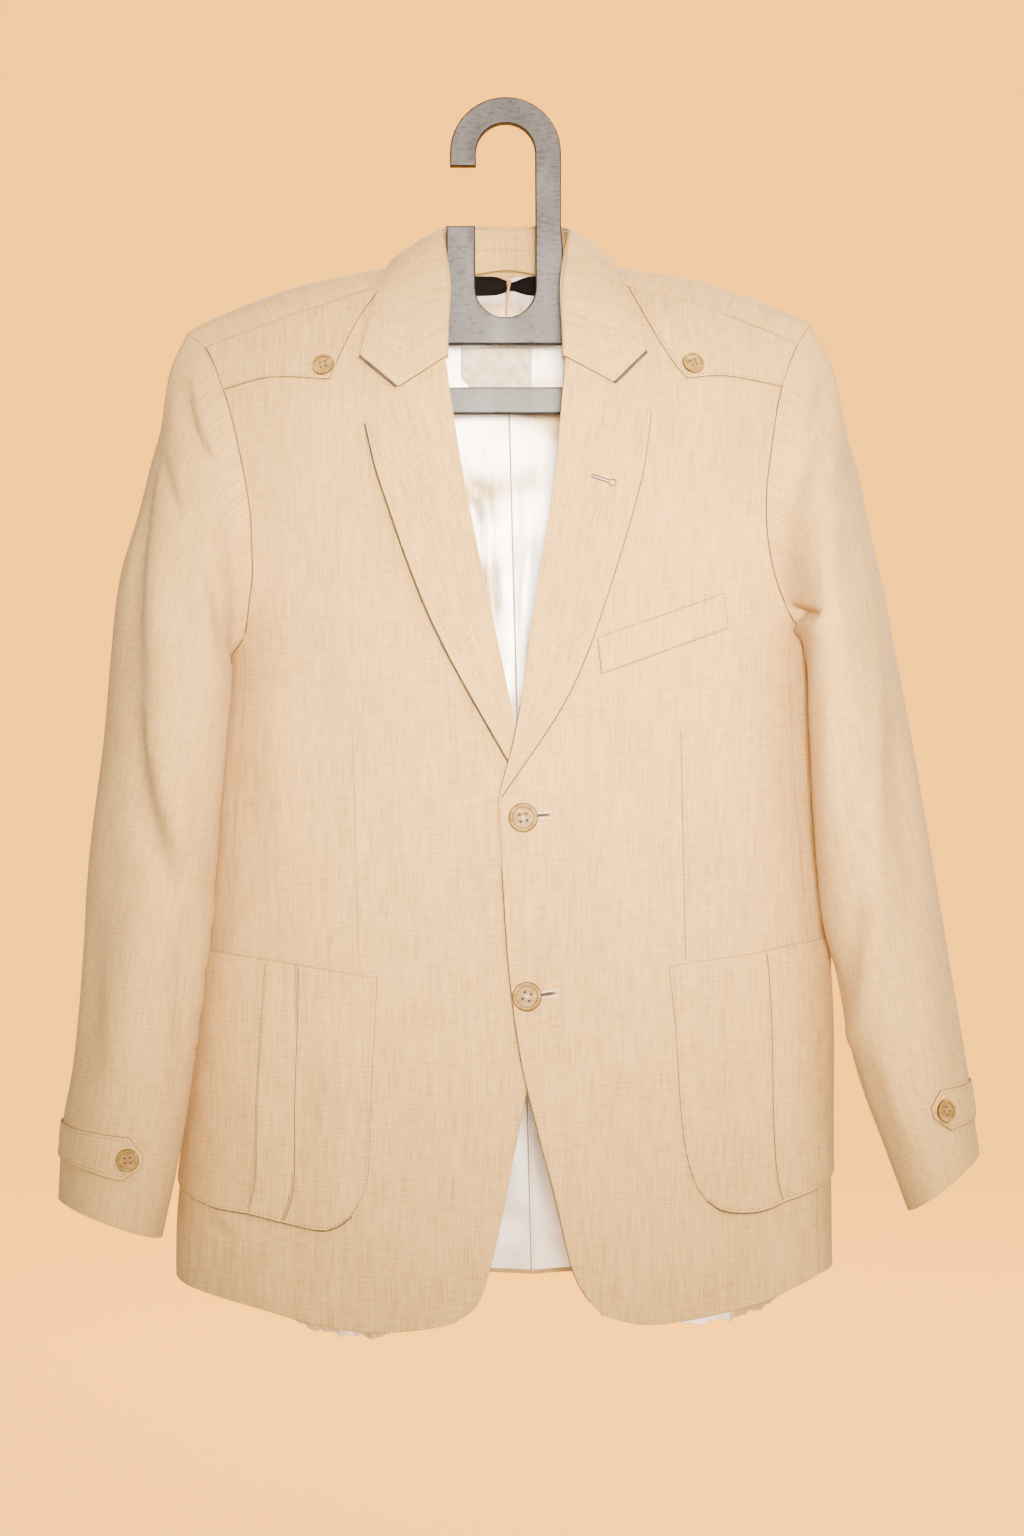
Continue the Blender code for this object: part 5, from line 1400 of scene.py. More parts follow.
def sum_of(tree, *shares):
    """Sum of patterns about their middle, each with its weight, plus a half."""
    total = None
    for source, weight in shares:
        even = {"operation": "MULTIPLY_ADD", 1: weight, 2: (0.5 if total is None else 0.0) - 0.5 * weight}
        part = node(tree, "ShaderNodeMath", even, {0: source}).outputs[0]
        if total is not None:
            part = node(tree, "ShaderNodeMath", {"operation": "ADD"}, {0: part, 1: total}).outputs[0]
        total = part
    return total


def dress(tree, shader, tone, stops, height=None, strength=0.0, depth=0.0):
    """Colour a shader by the stops of a pattern, and raise its surface by another."""
    colour = node(tree, "ShaderNodeValToRGB", {"stops": stops}, {"Fac": tone}).outputs["Color"]
    tree.links.new(colour, shader.inputs["Base Color"])
    if height is not None:
        look = {"Strength": strength, "Distance": depth * MM}
        bump = node(tree, "ShaderNodeBump", look, {"Height": height})
        tree.links.new(bump.outputs["Normal"], shader.inputs["Normal"])
    return colour


# The floor's glow and its own tone; the shares of its colour that a cloth's rolled edge, its seams and the
# lining's edge keep, as painted shade along them; and the shares that the low sides of a thread's twist and
# of the floor keep.
FLOOR_GLOW = 3.3
FLOOR_BODY = 0.25
EDGE_SHADE = 0.32
SEAM_PAINTED_SHADE = 0.7
LINING_EDGE_SHADE = 0.6
TWIST_SHADE = 0.7
FLOOR_SHADE = 0.96
# Where the three yarns' tones lie in the linen's pattern, the tone of slubs, and the satin's painted shade
# and reflection and its painted highlight.
YARN_STOPS = (0.22, 0.5, 0.78)
SLUB_PALE = linear("#C9AE7C")
SATIN_PAINTED_SHADE_AND_REFLECTION = linear("#A08A62")
SATIN_PAINTED_HIGHLIGHT = linear("#EDEBE6")


def shaded(colour, shade):
    """A colour that keeps a share of its light."""
    return tuple(shade * part for part in colour)


def linen_finish(name, colours, shade=1.0):
    """Slub linen: a dry plain weave of uneven flax yarn.

    Its threads give soft streaks both ways, short pale slubs across, and no gloss but a
    faint fuzz. The threads are about 0.6 mm apart, too fine to show here, so they are drawn
    about 1 mm wide.
    """
    material, tree, shader, vector = new_finish(name, "UV", roughness=0.88, sheen_weight=0.05,
                                                sheen_roughness=0.6, specular_ior_level=0.15)
    warp = streaks(tree, vector, 1.1, 24.0)
    weft = streaks(tree, vector, 15.0, 1.0)
    broad = streaks(tree, vector, 5.0, 60.0)
    mottle = streaks(tree, vector, 60.0, 90.0)
    slub = streaks(tree, vector, 13.0, 1.0, 1.0)
    fleck = streaks(tree, vector, 1.0, 30.0, 1.0)
    tone = sum_of(tree, (warp, 0.8), (weft, 0.6), (broad, 0.3), (mottle, 0.25))
    height = sum_of(tree, (warp, 0.8), (weft, 0.9), (slub, 0.5))
    # A shade below one darkens the yarns to paint shade on rolled edges and seams.
    colours = [shaded(colour, shade) for colour in colours]
    stops = list(zip(YARN_STOPS, colours))
    colour = dress(tree, shader, tone, stops, height, 0.3, 0.4)
    yarns = ((slub, 0.7, 0.8, 0.45, SLUB_PALE), (fleck, 0.68, 0.78, 0.45, colours[0]))
    for pattern, low, high, most, yarn in yarns:
        only = {"From Min": low, "From Max": high, "To Max": most}
        share = node(tree, "ShaderNodeMapRange", only, {"Value": pattern}).outputs["Result"]
        mixed = node(tree, "ShaderNodeMix", {"data_type": "RGBA", 7: (*yarn, 1.0)}, {0: share, 6: colour})
        colour = mixed.outputs[2]
    tree.links.new(colour, shader.inputs["Base Color"])
    return material


def satin_finish(name, colour):
    """Polyester satin lining: a smooth float weave whose broad gloss is nearly a metal's, with broad clouds
    of painted beige reflection and shade and of painted highlight.
    """
    material, tree, shader, vector = new_finish(name, "UV", roughness=0.42, metallic=0.3,
                                                specular_ior_level=0.6, anisotropic=0.3)
    warp = streaks(tree, vector, 1.2, 60.0)
    fold = streaks(tree, vector, 48.0, 60.0, 3.0)
    drag = streaks(tree, vector, 8.0, 26.0, 3.0)
    painted_light_clouds = streaks(tree, vector, 75.0, 55.0, 1.0)
    # Broad clouds of painted reflection, shade and highlight lead the satin's tone.
    tone = sum_of(tree, (warp, 0.1), (drag, 0.15), (painted_light_clouds, 1.5))
    height = sum_of(tree, (warp, 0.2), (fold, 1.0), (drag, 0.7))
    dress(tree, shader, tone, [(0.26, SATIN_PAINTED_SHADE_AND_REFLECTION), (0.47, colour), (0.60, SATIN_PAINTED_HIGHLIGHT)], height, 0.5, 2.0)
    return material


def patch_finish(name, shade):
    """Crumpled non-woven patch: matt, cream, with soft blotches; a shade below one darkens it to paint shade
    on edges.
    """
    material, tree, shader, vector = new_finish(name, "UV", roughness=0.8, specular_ior_level=0.25)
    tone = sum_of(tree, (streaks(tree, vector, 9.0, 7.0, 4.0), 1.2), (streaks(tree, vector, 1.4, 1.4), 0.4))
    stops = [(0.3, "#C9B395"), (0.55, "#D8C7AE"), (0.8, "#E6DAC6")]
    stops = [(place, shaded(linear(code), shade)) for place, code in stops]
    dress(tree, shader, tone, stops, tone, 0.6, 1.0)
    return material


def label_finish(name):
    """Woven polyester label tape: fine cross ribs and a dull sheen on black."""
    material, tree, shader, vector = new_finish(name, "UV", roughness=0.8, specular_ior_level=0.05)
    rib = streaks(tree, vector, 20.0, 0.9)
    dress(tree, shader, rib, [(0.3, linear("#060505")), (0.7, linear("#120F0F"))], rib, 0.4, 0.3)
    return material


BUTTON_LOW = linear("#745625")
BUTTON_HIGH = linear("#A08048")
# Darker tones on a button's sloping rim and sides: painted shade.
BUTTON_PAINTED_SHADE_SIDES = (linear("#3A2812"), linear("#4A3418"), linear("#5A4222"))


def button_finish(name, low, colour, high):
    """Polished polyester button: a clear gloss over drifting horn-like veins."""
    material, tree, shader, vector = new_finish(name, "Object", roughness=0.45, specular_ior_level=0.15,
                                                ior=1.55)
    vector = on_upright_face(tree, vector)
    tone = sum_of(tree, (streaks(tree, vector, 14.0, 4.0, 4.0), 1.1), (streaks(tree, vector, 3.0, 3.0), 0.5))
    dress(tree, shader, tone, [(0.3, low), (0.55, colour), (0.8, high)])
    return material


def thread_finish(name, code):
    """Twisted polyester sewing thread: a dull sheen and a fine twist; in near-black tones it paints shade."""
    material, tree, shader, vector = new_finish(name, "Object", roughness=0.6, sheen_weight=0.2)
    twist = streaks(tree, vector, 0.7, 0.7)
    dress(tree, shader, twist, [(0.3, shaded(linear(code), TWIST_SHADE)), (0.7, linear(code))])
    return material


def plastic_finish(name, low, high, rough):
    """Injection-moulded ABS: satin grey with faint flow marks, scuffs and dust."""
    material, tree, shader, vector = new_finish(name, "Object", specular_ior_level=0.2, ior=1.54)
    vector = on_upright_face(tree, vector)
    scuff = streaks(tree, vector, 7.0, 2.2, 6.0, 0.7)
    tone = sum_of(tree, (streaks(tree, vector, 22.0, 60.0, 3.0), 0.9), (scuff, 0.2))
    dress(tree, shader, tone, [(0.25, linear(low)), (0.75, linear(high))], tone, 0.1, 0.3)
    worn = {"From Min": 0.35, "From Max": 0.7, "To Min": rough - 0.1, "To Max": rough + 0.18}
    gloss = node(tree, "ShaderNodeMapRange", worn, {"Value": scuff})
    tree.links.new(gloss.outputs["Result"], shader.inputs["Roughness"])
    return material


def floor_finish(colour):
    """Matt paper sweep, lit from behind: an even, pale glow with the faintest unevenness."""
    material, tree, shader, vector = new_finish("studio_floor", "Object", roughness=0.9,
                                                specular_ior_level=0.1, emission_color=(*colour, 1.0),
                                                emission_strength=FLOOR_GLOW)
    stops = [(0.3, shaded(colour, FLOOR_SHADE * FLOOR_BODY)), (0.7, shaded(colour, FLOOR_BODY))]
    dress(tree, shader, streaks(tree, vector, 900.0, 900.0), stops)
    return material


FINISHES = {}


def finish(name):
    """Shared finish by name, made when it is first used."""
    if name not in FINISHES:
        colours = bpy.context.scene.blazer_colours
        yarns = [colours.linen_dark, colours.linen, colours.linen_light]
        makers = {
            "linen": lambda: linen_finish("slub_linen", yarns),
            # Darker copies of the linen paint shade along rolled edges and seams.
            "linen_edge": lambda: linen_finish("slub_linen_painted_edge_shade", yarns, EDGE_SHADE),
            "linen_seam": lambda: linen_finish("slub_linen_painted_seam_shade", yarns, SEAM_PAINTED_SHADE),
            "satin": lambda: satin_finish("satin_lining", colours.lining),
            # The lining's and the patch's edges take darker copies of the patch's finish: painted shade.
            "satin_edge": lambda: patch_finish("satin_lining_painted_edge_shade", LINING_EDGE_SHADE),
            "patch": lambda: patch_finish("nonwoven_patch", 1.0),
            "patch_edge": lambda: patch_finish("nonwoven_patch_painted_edge_shade", EDGE_SHADE),
            "label": lambda: label_finish("label_tape"),
            "label_edge": lambda: label_finish("label_tape_edge"),
            "button": lambda: button_finish("polyester_button", BUTTON_LOW, colours.button, BUTTON_HIGH),
            # The button's sides get darker tones as painted shade.
            "button_side": lambda: button_finish("polyester_button_painted_shade_side", *BUTTON_PAINTED_SHADE_SIDES),
            # A near-black thread finish paints the shade under edges and along a pleat's fold.
            "under": lambda: thread_finish("painted_shade_linen", "#301C0D"),
            "thread": lambda: thread_finish("sewing_thread", "#5E3D1B"),
            "pale_thread": lambda: thread_finish("buttonhole_thread", "#DCD0BC"),
            # The near-black slit thread paints the shade in buttonholes and button holes.
            "slit": lambda: thread_finish("buttonhole_painted_shade_slit", "#20140B"),
            "plastic": lambda: plastic_finish("moulded_abs", "#242427", "#4A4A4D", 0.31),
            # The hanger's rounded edges get a near-black copy of its plastic: painted shade.
            "plastic_edge": lambda: plastic_finish("moulded_abs_painted_edge_shade", "#08080A", "#161618", 0.6),
            "floor": lambda: floor_finish(colours.floor),
        }
        FINISHES[name] = makers[name]()
    return FINISHES[name]


# Roundness of the hanger's edges, half its span, and how far a face may lean and still be flat; the faces
# that lean further are painted near-black as shade.
HANGER_ROUND = 1.3
HANGER_REACH = 200.0
HANGER_FLAT = 0.9


def arc(centre_x, centre_z, radius, start, end, count):
    """Points along an arc between two angles in degrees."""
    turns = np.radians(np.linspace(start, end, count))
    return [(centre_x + radius * math.cos(t), centre_z + radius * math.sin(t)) for t in turns]


def hanger_outline():
    """Outer line of the hanger: hook, right shoulder, bar, left shoulder and open slot."""
    def shoulder(side, xs):
        return [(side * x, float(ridge(side * x)) - HANGER_DROP - HANGER_TIP_DROP * (x / HANGER_REACH) ** 2)
                for x in xs]

    reach = [66, 84, 110, 140, 170, 196]
    line = [(-HOOK_OUTER, -31.0)]
    line += arc(0, HOOK_CENTRE_Z, HOOK_OUTER, 180, 0, 25)
    line += [(40.0, -75.0), (42.0, -100.0), (50.0, -110.0)]
    line += shoulder(1, reach) + [(202.0, -152.0), (202.0, -196.0), (192.0, -209.0)]
    line += [(-192.0, -209.0), (-204.0, -196.0), (-204.0, -154.0)] + shoulder(-1, reach[::-1])
    line += [(-50.0, -110.0), (-42.5, -100.0), (-42.5, -74.0), (-21.8, -74.0)]
    line += arc(0, -118.0, 21.7, 180, 360, 17)
    line += arc(0, HOOK_CENTRE_Z, HOOK_INNER, 0, 180, 19)
    line += [(-HOOK_INNER, -31.0)]
    return line


def hanger_hole():
    """Opening between the shoulders and the trouser bar."""
    return [(-182, -190), (-182, -178), (-42, -159), (42, -159), (182, -178), (182, -190)]


# Turns of the armhole's points, and rows of the grid as shares of the height below the armhole.
FRONT_TURNS = np.linspace(FRONT_SIDE_TURN, SHOULDER_TURN, 9)
SIDE_TURNS = np.linspace(FRONT_SIDE_TURN, BACK_SIDE_TURN, 5)
BACK_TURNS = np.linspace(BACK_SIDE_TURN, 360 + SHOULDER_TURN, 10)
LOW_SHARES = np.concatenate(([0.0, 0.022, 0.05, 0.085, 0.13, 0.19], spread(9, 0.26, 1.0)))
SIDES = ((-1, "right"), (1, "left"))


def linen_sheet(node_name, place, cols, rows, thick=CLOTH, turned=False, rim="_edge"):
    """Sheet of the outer cloth."""
    return sheet_piece(node_name, place, cols, rows, thick, "linen", "linen", turned, rim)


# The collar's fold rolls over a share of its height; its tips and the lapels' edges stand off.
COLLAR_ROLL = 0.12
COLLAR_ROLL_GAP = 0.1
TIP_RIGHT = 1.8
TIP_LEFT = 3.0
LAPEL_STAND = 1.8
# Painted shade under edges: how deep its dark beads sit below the cloth's face, their step and length, and
# their widths under the two lapels. A pleat's line lies a share of the pocket's width beyond its raised side,
# which is a share wide.
UNDER_DEEP = 1.2
UNDER_STEP = 1.6
UNDER_LONG = 2.6
UNDER_RIGHT = 3.2
UNDER_LEFT = 1.9
PLEAT_LINE = 0.0075
PLEAT_WALL = 0.006


def rolled_collar(u, v):
    """Top collar whose fold rolls over to the stand below a share of nought."""
    points, normal = collar_place(u, np.clip(v, 0, 1))
    tip = np.where(u < 0.5, TIP_RIGHT, TIP_LEFT) * ramp(0.8, 1.0, np.abs(2 * u - 1)) * np.clip(v, 0, 1) ** 2
    points = points + normal * tip[..., None]
    up = unit(points - collar_place(u, np.clip(v, 0, 1) + 0.02)[0])
    radius = (collar_columns(u * LAST_STATION)[3] / 2 - COLLAR_ROLL_GAP)[..., None]
    turn = (math.pi * np.clip(-v / COLLAR_ROLL, 0, 1))[..., None]
    out = normal * np.cos(turn) + up * np.sin(turn)
    rolled = (v < 0)[..., None]
    return np.where(rolled, points + (out - normal) * radius, points), np.where(rolled, out, normal)


def lifted_lapel(side):
    """Lapel whose edge stands a little off the front."""
    place = lapel_place(side)

    def stand(u, v):
        return lifted(place(u, v), LAPEL_STAND * ramp(0.5, 1.0, u) * ramp(0.0, 0.15, v))

    return stand


def inner_face(place, thick):
    """Inner side of a wall whose outer side is given."""
    def inside(u, v):
        points, normal = place(u, v)
        return points - normal * thick, -normal

    return inside


def painted_shade_lines(place, rows):
    """Dark beads that paint shade along lines on a piece, one row each: start, end, width and height."""
    beads = []
    for start, end, wide, high in rows:
        beads += stitches(place, [start, end], UNDER_STEP, (UNDER_LONG, wide, high))
    return beads


def painted_shade_edges():
    """Painted shade: dark beads under the edges of lapels, collar ends, pockets and the left front, and along
    pleats.
    """
    beads = []
    for side, _ in SIDES:
        wide = UNDER_RIGHT if side < 0 else UNDER_LEFT
        beads += painted_shade_lines(inner_face(lifted_lapel(side), UNDER_DEEP), [
            ((1.0, 0.0), (1.0, 1.0), wide, 1.0), ((1.0, 0.995), (0.55, 0.995), 1.2, 1.0)])
        end = 0.0 if side < 0 else 1.0
        beads += painted_shade_lines(inner_face(rolled_collar, UNDER_DEEP), [
            ((end, 0.55), (end, 1.0), 3.8, 1.4), ((end, 1.0), (abs(end - 0.1), 1.0), 1.3, 1.0)])
        beads += painted_shade_lines(inner_face(pocket_place(side), UNDER_DEEP), [
            ((0.0, 0.0), (1.0, 0.0), 2.0, 0.8), ((1.0, 0.0), (1.0, 1.0), 1.2, 0.8)])
        fold = PLEATS_RIGHT["start"][0] - PLEAT_LINE if side < 0 else PLEATS_LEFT["end"][0] + PLEAT_LINE
        beads += painted_shade_lines(pocket_place(side), [((fold, 0.01), (fold, 0.985), 0.8, 0.9)])
    beads += painted_shade_lines(inner_face(lapel_place(1), UNDER_DEEP), [((0.0, 0.0), (0.0, 0.2), 1.2, 1.0)])
    beads += painted_shade_lines(inner_face(front_panel(1), UNDER_DEEP), [((0.0, 0.02), (0.0, 0.52), 1.3, 0.9)])
    add_piece("painted_shade_edges", joined("painted_shade_edges", beads), finish("under"), "linen")


def make_fronts(fine):
    """Two fronts, the wearer's left over the right."""
    rows = np.concatenate((LOW_SHARES * SIDE_SHARE, spread(8, SIDE_SHARE, 1 - SHOULDER_SEAM)[1:]))
    cols = spread(8, 0.0, 1 - FRONT_SEAM)
    for side, name in SIDES:
        linen_sheet("front_" + name, front_panel(side), finer(cols, 2 * fine), finer(rows, 2 * fine),
                    rim="_seam")


def make_backs(fine):
    """Side panels and back halves."""
    side_rows = np.minimum(LOW_SHARES, 1 - ARMHOLE_SEAM)
    side_cols = spread(4, PANEL_SEAM, 1 - PANEL_SEAM)
    rows = np.concatenate((LOW_SHARES * SIDE_SHARE, spread(9, SIDE_SHARE, 1 - SHOULDER_SEAM)[1:]))
    cols = np.concatenate((spread(5, CENTRE_SEAM, 0.3), spread(8, 0.3, 1 - BACK_SEAM)[1:]))
    for side, name in SIDES:
        linen_sheet("side_" + name, side_panel(side), finer(side_cols, 2 * fine), finer(side_rows, 2 * fine),
                    rim="_seam")
        linen_sheet("back_" + name, back_panel(side), finer(cols, fine + 1), finer(rows, 2 * fine),
                    rim="_seam")


def make_sleeves(fine):
    """Two-piece sleeves."""
    upper = np.concatenate((BACK_TURNS[2:] - 360, FRONT_TURNS[::-1][1:]))
    under = np.concatenate((SIDE_TURNS, BACK_TURNS[1:3]))
    rows = np.concatenate((spread(8, 0.0, 4 / 11), spread(9, 4 / 11, 1.0)[1:]))
    for side, name in SIDES:
        for part, turns, seam in (("upper", upper, SLEEVE_SEAM), ("under", under, UNDER_SEAM)):
            cols = finer(spread(len(turns) - 1), 2 * fine)
            cols[[0, -1]] = [seam, 1 - seam]
            linen_sheet("sleeve_%s_%s" % (part, name), sleeve_place(side, turns), cols, finer(rows, 3 * fine),
                        turned=True, rim="_seam")


def make_collar(fine):
    """Lapels, top collar and stand."""
    cols = np.array([0, 0.18, 0.36, 0.531, 0.77, 1.0])
    for side, name in SIDES:
        rows = finer(spread(14, 0.0, 1 - GORGE_SEAM), 2 * fine)
        linen_sheet("lapel_" + name, lifted_lapel(side), finer(cols, 2 * fine), rows,
                    turned=True)
    leaf_rows = np.array([-COLLAR_ROLL, -COLLAR_ROLL / 2, 0, 0.15, 0.33, 0.534, 0.77, 1.0])
    leaf_cols = spread(32, COLLAR_SEAM, 1 - COLLAR_SEAM)
    linen_sheet("collar_leaf", rolled_collar, finer(leaf_cols, fine), finer(leaf_rows, 2 * fine),
                turned=True)
    linen_sheet("collar_stand", stand_place, finer(spread(14), 2 * fine), finer(spread(3), 2 * fine),
                turned=True, rim="")
    painted_shade_edges()


def make_flaps(fine):
    """Yoke flaps, breast welt and cuff tabs."""
    for side, name in SIDES:
        cols = finer(spread(6, 0.0, 1 - YOKE_SIDE_SEAM), 2 * fine)
        rows = finer(spread(6, 0.0, 1 - YOKE_TOP_SEAM), 2 * fine)
        linen_sheet("yoke_flap_" + name, yoke_place(side), cols, rows, FLAP_CLOTH)
        tab_cols = np.concatenate((spread(12, 0.0, 0.88), spread(3, 0.88, 1.0)[1:]))
        rows = finer(spread(3), fine + 1)
        linen_sheet("cuff_tab_" + name, tab_place(side), finer(tab_cols, fine + 1), rows,
                    FLAP_CLOTH, turned=True)
    linen_sheet("breast_welt", welt_place, finer(spread(8), 2 * fine), finer(spread(2), 2 * fine),
                FLAP_CLOTH)


def make_pockets(fine):
    """Patch pockets with their pleats."""
    for side, name in SIDES:
        pleats = PLEATS_RIGHT if side < 0 else PLEATS_LEFT
        start, end = pleats["start"], pleats["end"]
        edges = np.concatenate((start - PLEAT_WALL, start, end, end + PLEAT_WALL))
        edges = edges[edges > 0]
        cols = np.concatenate((spread(7, 0.0, 0.65), spread(9, 0.65, 1.0), edges))
        cols = np.concatenate((finer(np.unique(np.round(cols, 4)), fine), edges))
        linen_sheet("pocket_" + name, pocket_place(side), np.unique(np.round(cols, 4)),
                    finer(spread(7), 3 * fine))


# Strips of lining under the front hems: side, name, ends across and how far each peeks out.
HEM_LININGS = ((-1, "right", -150.0, -78.0, 5.0), (1, "left", 122.0, 196.0, 6.0))


def make_linings(fine):
    """Satin back lining and the strips of it that show under the front hems."""
    cols = np.array([LINING_SEAM, 0.06, 0.12, 0.2, 0.35, 0.55, 0.78, 1.0])
    rows = np.concatenate((spread(12, 0.0, 0.85), spread(6, 0.85, 1.0)[1:]))
    for side, name in SIDES:
        sheet_piece("lining_back_" + name, lining_back_place(side), finer(cols, 2 * fine),
                    finer(rows, 2 * fine), LINING_CLOTH, "satin", "lining")
    for side, name, start, end, peek in HEM_LININGS:
        place = crumpled(lining_front_place(side, start, end, peek))
        sheet_piece("lining_front_" + name, place, finer(spread(8), 4 * fine), finer(spread(2), 4 * fine),
                    LINING_CLOTH, "satin", "lining")


# Crumples of a hem's lining: number along it, their lean and start, height off its form and
# drop of its edge.
CRUMPLES = columns("count lean shift rise drop", [
    (3.3, 0.8, 0.4, 0.5, 1.1), (7.1, -1.7, 2.0, 0.35, 0.7), (12.6, 2.9, 4.1, 0.25, 0.4),
])


def crumpled(place):
    """Lining whose free edge is crumpled where it shows."""
    def loose(u, v):
        points, normal = place(u, v)
        free = ramp(0.35, 0.0, v) * np.sin(math.pi * u) ** 0.5
        for count, lean, shift, rise, drop in zip(*CRUMPLES.values()):
            wave = np.sin(2 * math.pi * (count * u + lean * v) + shift)
            points = lifted((points, normal), -free * rise * (1 + wave))[0]
            points = points + np.stack([0 * u, 0 * u, free * drop * wave], axis=-1)
        return points, normal

    return loose


# The patch's cut-off corner as shares of its width and height, and the height of its crumples.
PATCH_CORNER = 0.16
PATCH_CUT = 0.3
PATCH_CRUMPLE = 0.35
# How far the label is drawn in, where along it, over what share, and the height of its gathers.
LABEL_PINCH = 0.52
LABEL_PINCH_AT = 0.56
LABEL_PINCH_WIDE = 0.14
LABEL_GATHER = 0.5
# The loop's strands: turns round each other, distance apart as a share of the radius, how far
# they close up and thin out to the end, and points along each.
LOOP_TURNS = 1.2
LOOP_APART = 0.6
LOOP_CLOSE = 0.85
LOOP_TAPER = 0.35
LOOP_POINTS = 31


def patch_place(u, v):
    """Patch on the lining with one corner cut off."""
    x = PATCH_X[0] + (PATCH_X[1] - PATCH_X[0]) * u
    cut = np.clip(1 - u / PATCH_CORNER, 0, 1) * PATCH_CUT
    z = PATCH_Z[0] + (PATCH_Z[1] - PATCH_Z[0]) * (cut + (1 - cut) * v)
    crumple = PATCH_CRUMPLE * (1 + np.sin(9 * u + 5 * v) * np.sin(7 * v - 4 * u))
    return on_lining(x, z, PATCH_REST + crumple)


def label_place(u, v):
    """Label drawn in at its middle like a bow."""
    x = LABEL_X[0] + (LABEL_X[1] - LABEL_X[0]) * u
    draw = np.exp(-((u - LABEL_PINCH_AT) / LABEL_PINCH_WIDE) ** 2)
    middle = (LABEL_Z[0] + LABEL_Z[1]) / 2
    z = middle + (LABEL_Z[1] - LABEL_Z[0]) * (v - 0.5) * (1 - LABEL_PINCH * draw)
    gather = LABEL_GATHER * (1 + np.cos(6 * math.pi * v)) * draw
    return on_lining(x, z, LABEL_REST + gather)


def make_label(fine):
    """Patch and plain label inside the back neck, and the loop that draws the label in."""
    sheet_piece("lining_patch", patch_place, finer(spread(5), 4 * fine), finer(spread(3), 4 * fine),
                LABEL_CLOTH, "patch", "patch")
    sheet_piece("neck_label", label_place, finer(spread(6), 4 * fine), finer(spread(2), 5 * fine),
                LABEL_CLOTH, "label", "label")
    add_piece("neck_loop_cord", loop_mesh(), finish("linen"), "linen", "neck_loop")


def loop_mesh():
    """Loop of folded cloth: two twisted strands that hang from the neck seam."""
    data = bpy.data.curves.new("neck_loop_cord", "CURVE")
    data.dimensions = "3D"
    data.bevel_depth = 0.5 * LOOP_RADIUS * MM
    data.bevel_resolution = 3
    data.use_fill_caps = True
    for strand in (-1, 1):
        line = data.splines.new("POLY")
        heights = np.linspace(LOOP_TOP, LOOP_TOP - LOOP_LONG, LOOP_POINTS)
        line.points.add(len(heights) - 1)
        for spot, z in zip(line.points, heights):
            share = (LOOP_TOP - z) / LOOP_LONG
            turn = 2 * math.pi * LOOP_TURNS * share + math.pi * (strand > 0)
            apart = LOOP_APART * LOOP_RADIUS * (1 - LOOP_CLOSE * share)
            x = np.array([LOOP_X + (z - LOOP_TOP) * LOOP_LEAN + apart * math.cos(turn)])
            rest = LABEL_REST + LABEL_CLOTH + 2 * SEAM_GAP + LOOP_RADIUS + apart * math.sin(turn)
            spot.co = (*on_lining(x, z, rest)[0][0] * MM, 1.0)
            spot.radius = 1.0 - LOOP_TAPER * share
    return to_mesh(data)


def to_mesh(data):
    """Mesh of a curve, in place."""
    item = put(data.name, data)
    bpy.context.view_layer.update()
    graph = bpy.context.evaluated_depsgraph_get()
    mesh = bpy.data.meshes.new_from_object(item.evaluated_get(graph))
    bpy.data.objects.remove(item, do_unlink=True)
    bpy.data.curves.remove(data)
    mesh.shade_smooth()
    return mesh


# Profile of a turned button from its middle to its underside, as shares of its radius and thickness.
BUTTON_PROFILE = columns("out up", [
    (0.0, 0.62), (0.40, 0.62), (0.60, 0.66), (0.70, 0.70), (0.735, 0.90), (0.78, 0.98), (0.85, 1.0),
    (0.91, 0.95), (0.955, 0.78), (1.0, 0.45), (0.97, 0.2), (0.88, 0.04), (0.6, 0.0), (0.0, 0.0),
])
HOLE_SPREAD = 0.23
HOLE_RADIUS = 0.11
HOLES = ((-1, -1), (-1, 1), (1, -1), (1, 1))
BUTTON_STEPS = 48
HOLE_STEPS = 14
# Faces of a button whose normal rises less than this take the darker tones of painted shade.
BUTTON_FACE_UP = 0.55


def button_mesh(name, diameter, thick):
    """Turned button with a raised rim and four holes, its underside at the origin."""
    radius = diameter / 2 * MM
    line = [(out * radius, up * thick * MM) for out, up in zip(*BUTTON_PROFILE.values())]
    holes = bmesh.new()
    for sx, sy in HOLES:
        at = Matrix.Translation((sx * HOLE_SPREAD * radius, sy * HOLE_SPREAD * radius, 0))
        bmesh.ops.create_cone(holes, cap_ends=True, segments=HOLE_STEPS, radius1=HOLE_RADIUS * radius,
                              radius2=HOLE_RADIUS * radius, depth=4 * thick * MM, matrix=at)
    shapes = {"_disc": turned_shape(line, BUTTON_STEPS, 1e-6), "_holes": holes}
    pair = [put(name + part, mesh_of(name + part, shape)) for part, shape in shapes.items()]
    change = pair[0].modifiers.new("holes", "BOOLEAN")
    change.operation = "DIFFERENCE"
    change.solver = "EXACT"
    change.object = pair[1]
    bpy.context.view_layer.update()
    mesh = bpy.data.meshes.new_from_object(pair[0].evaluated_get(bpy.context.evaluated_depsgraph_get()))
    for item in pair:
        bpy.data.objects.remove(item, do_unlink=True)
    mesh.shade_smooth()
    two_tone(mesh, "button", "button_side", lambda normal: normal.z > BUTTON_FACE_UP)
    return mesh


# A cuff button sits this many degrees before its tab's tip, at a share of the tab's rise.
TAB_BUTTON_TURN = 14.0
TAB_BUTTON_RISE = 0.9


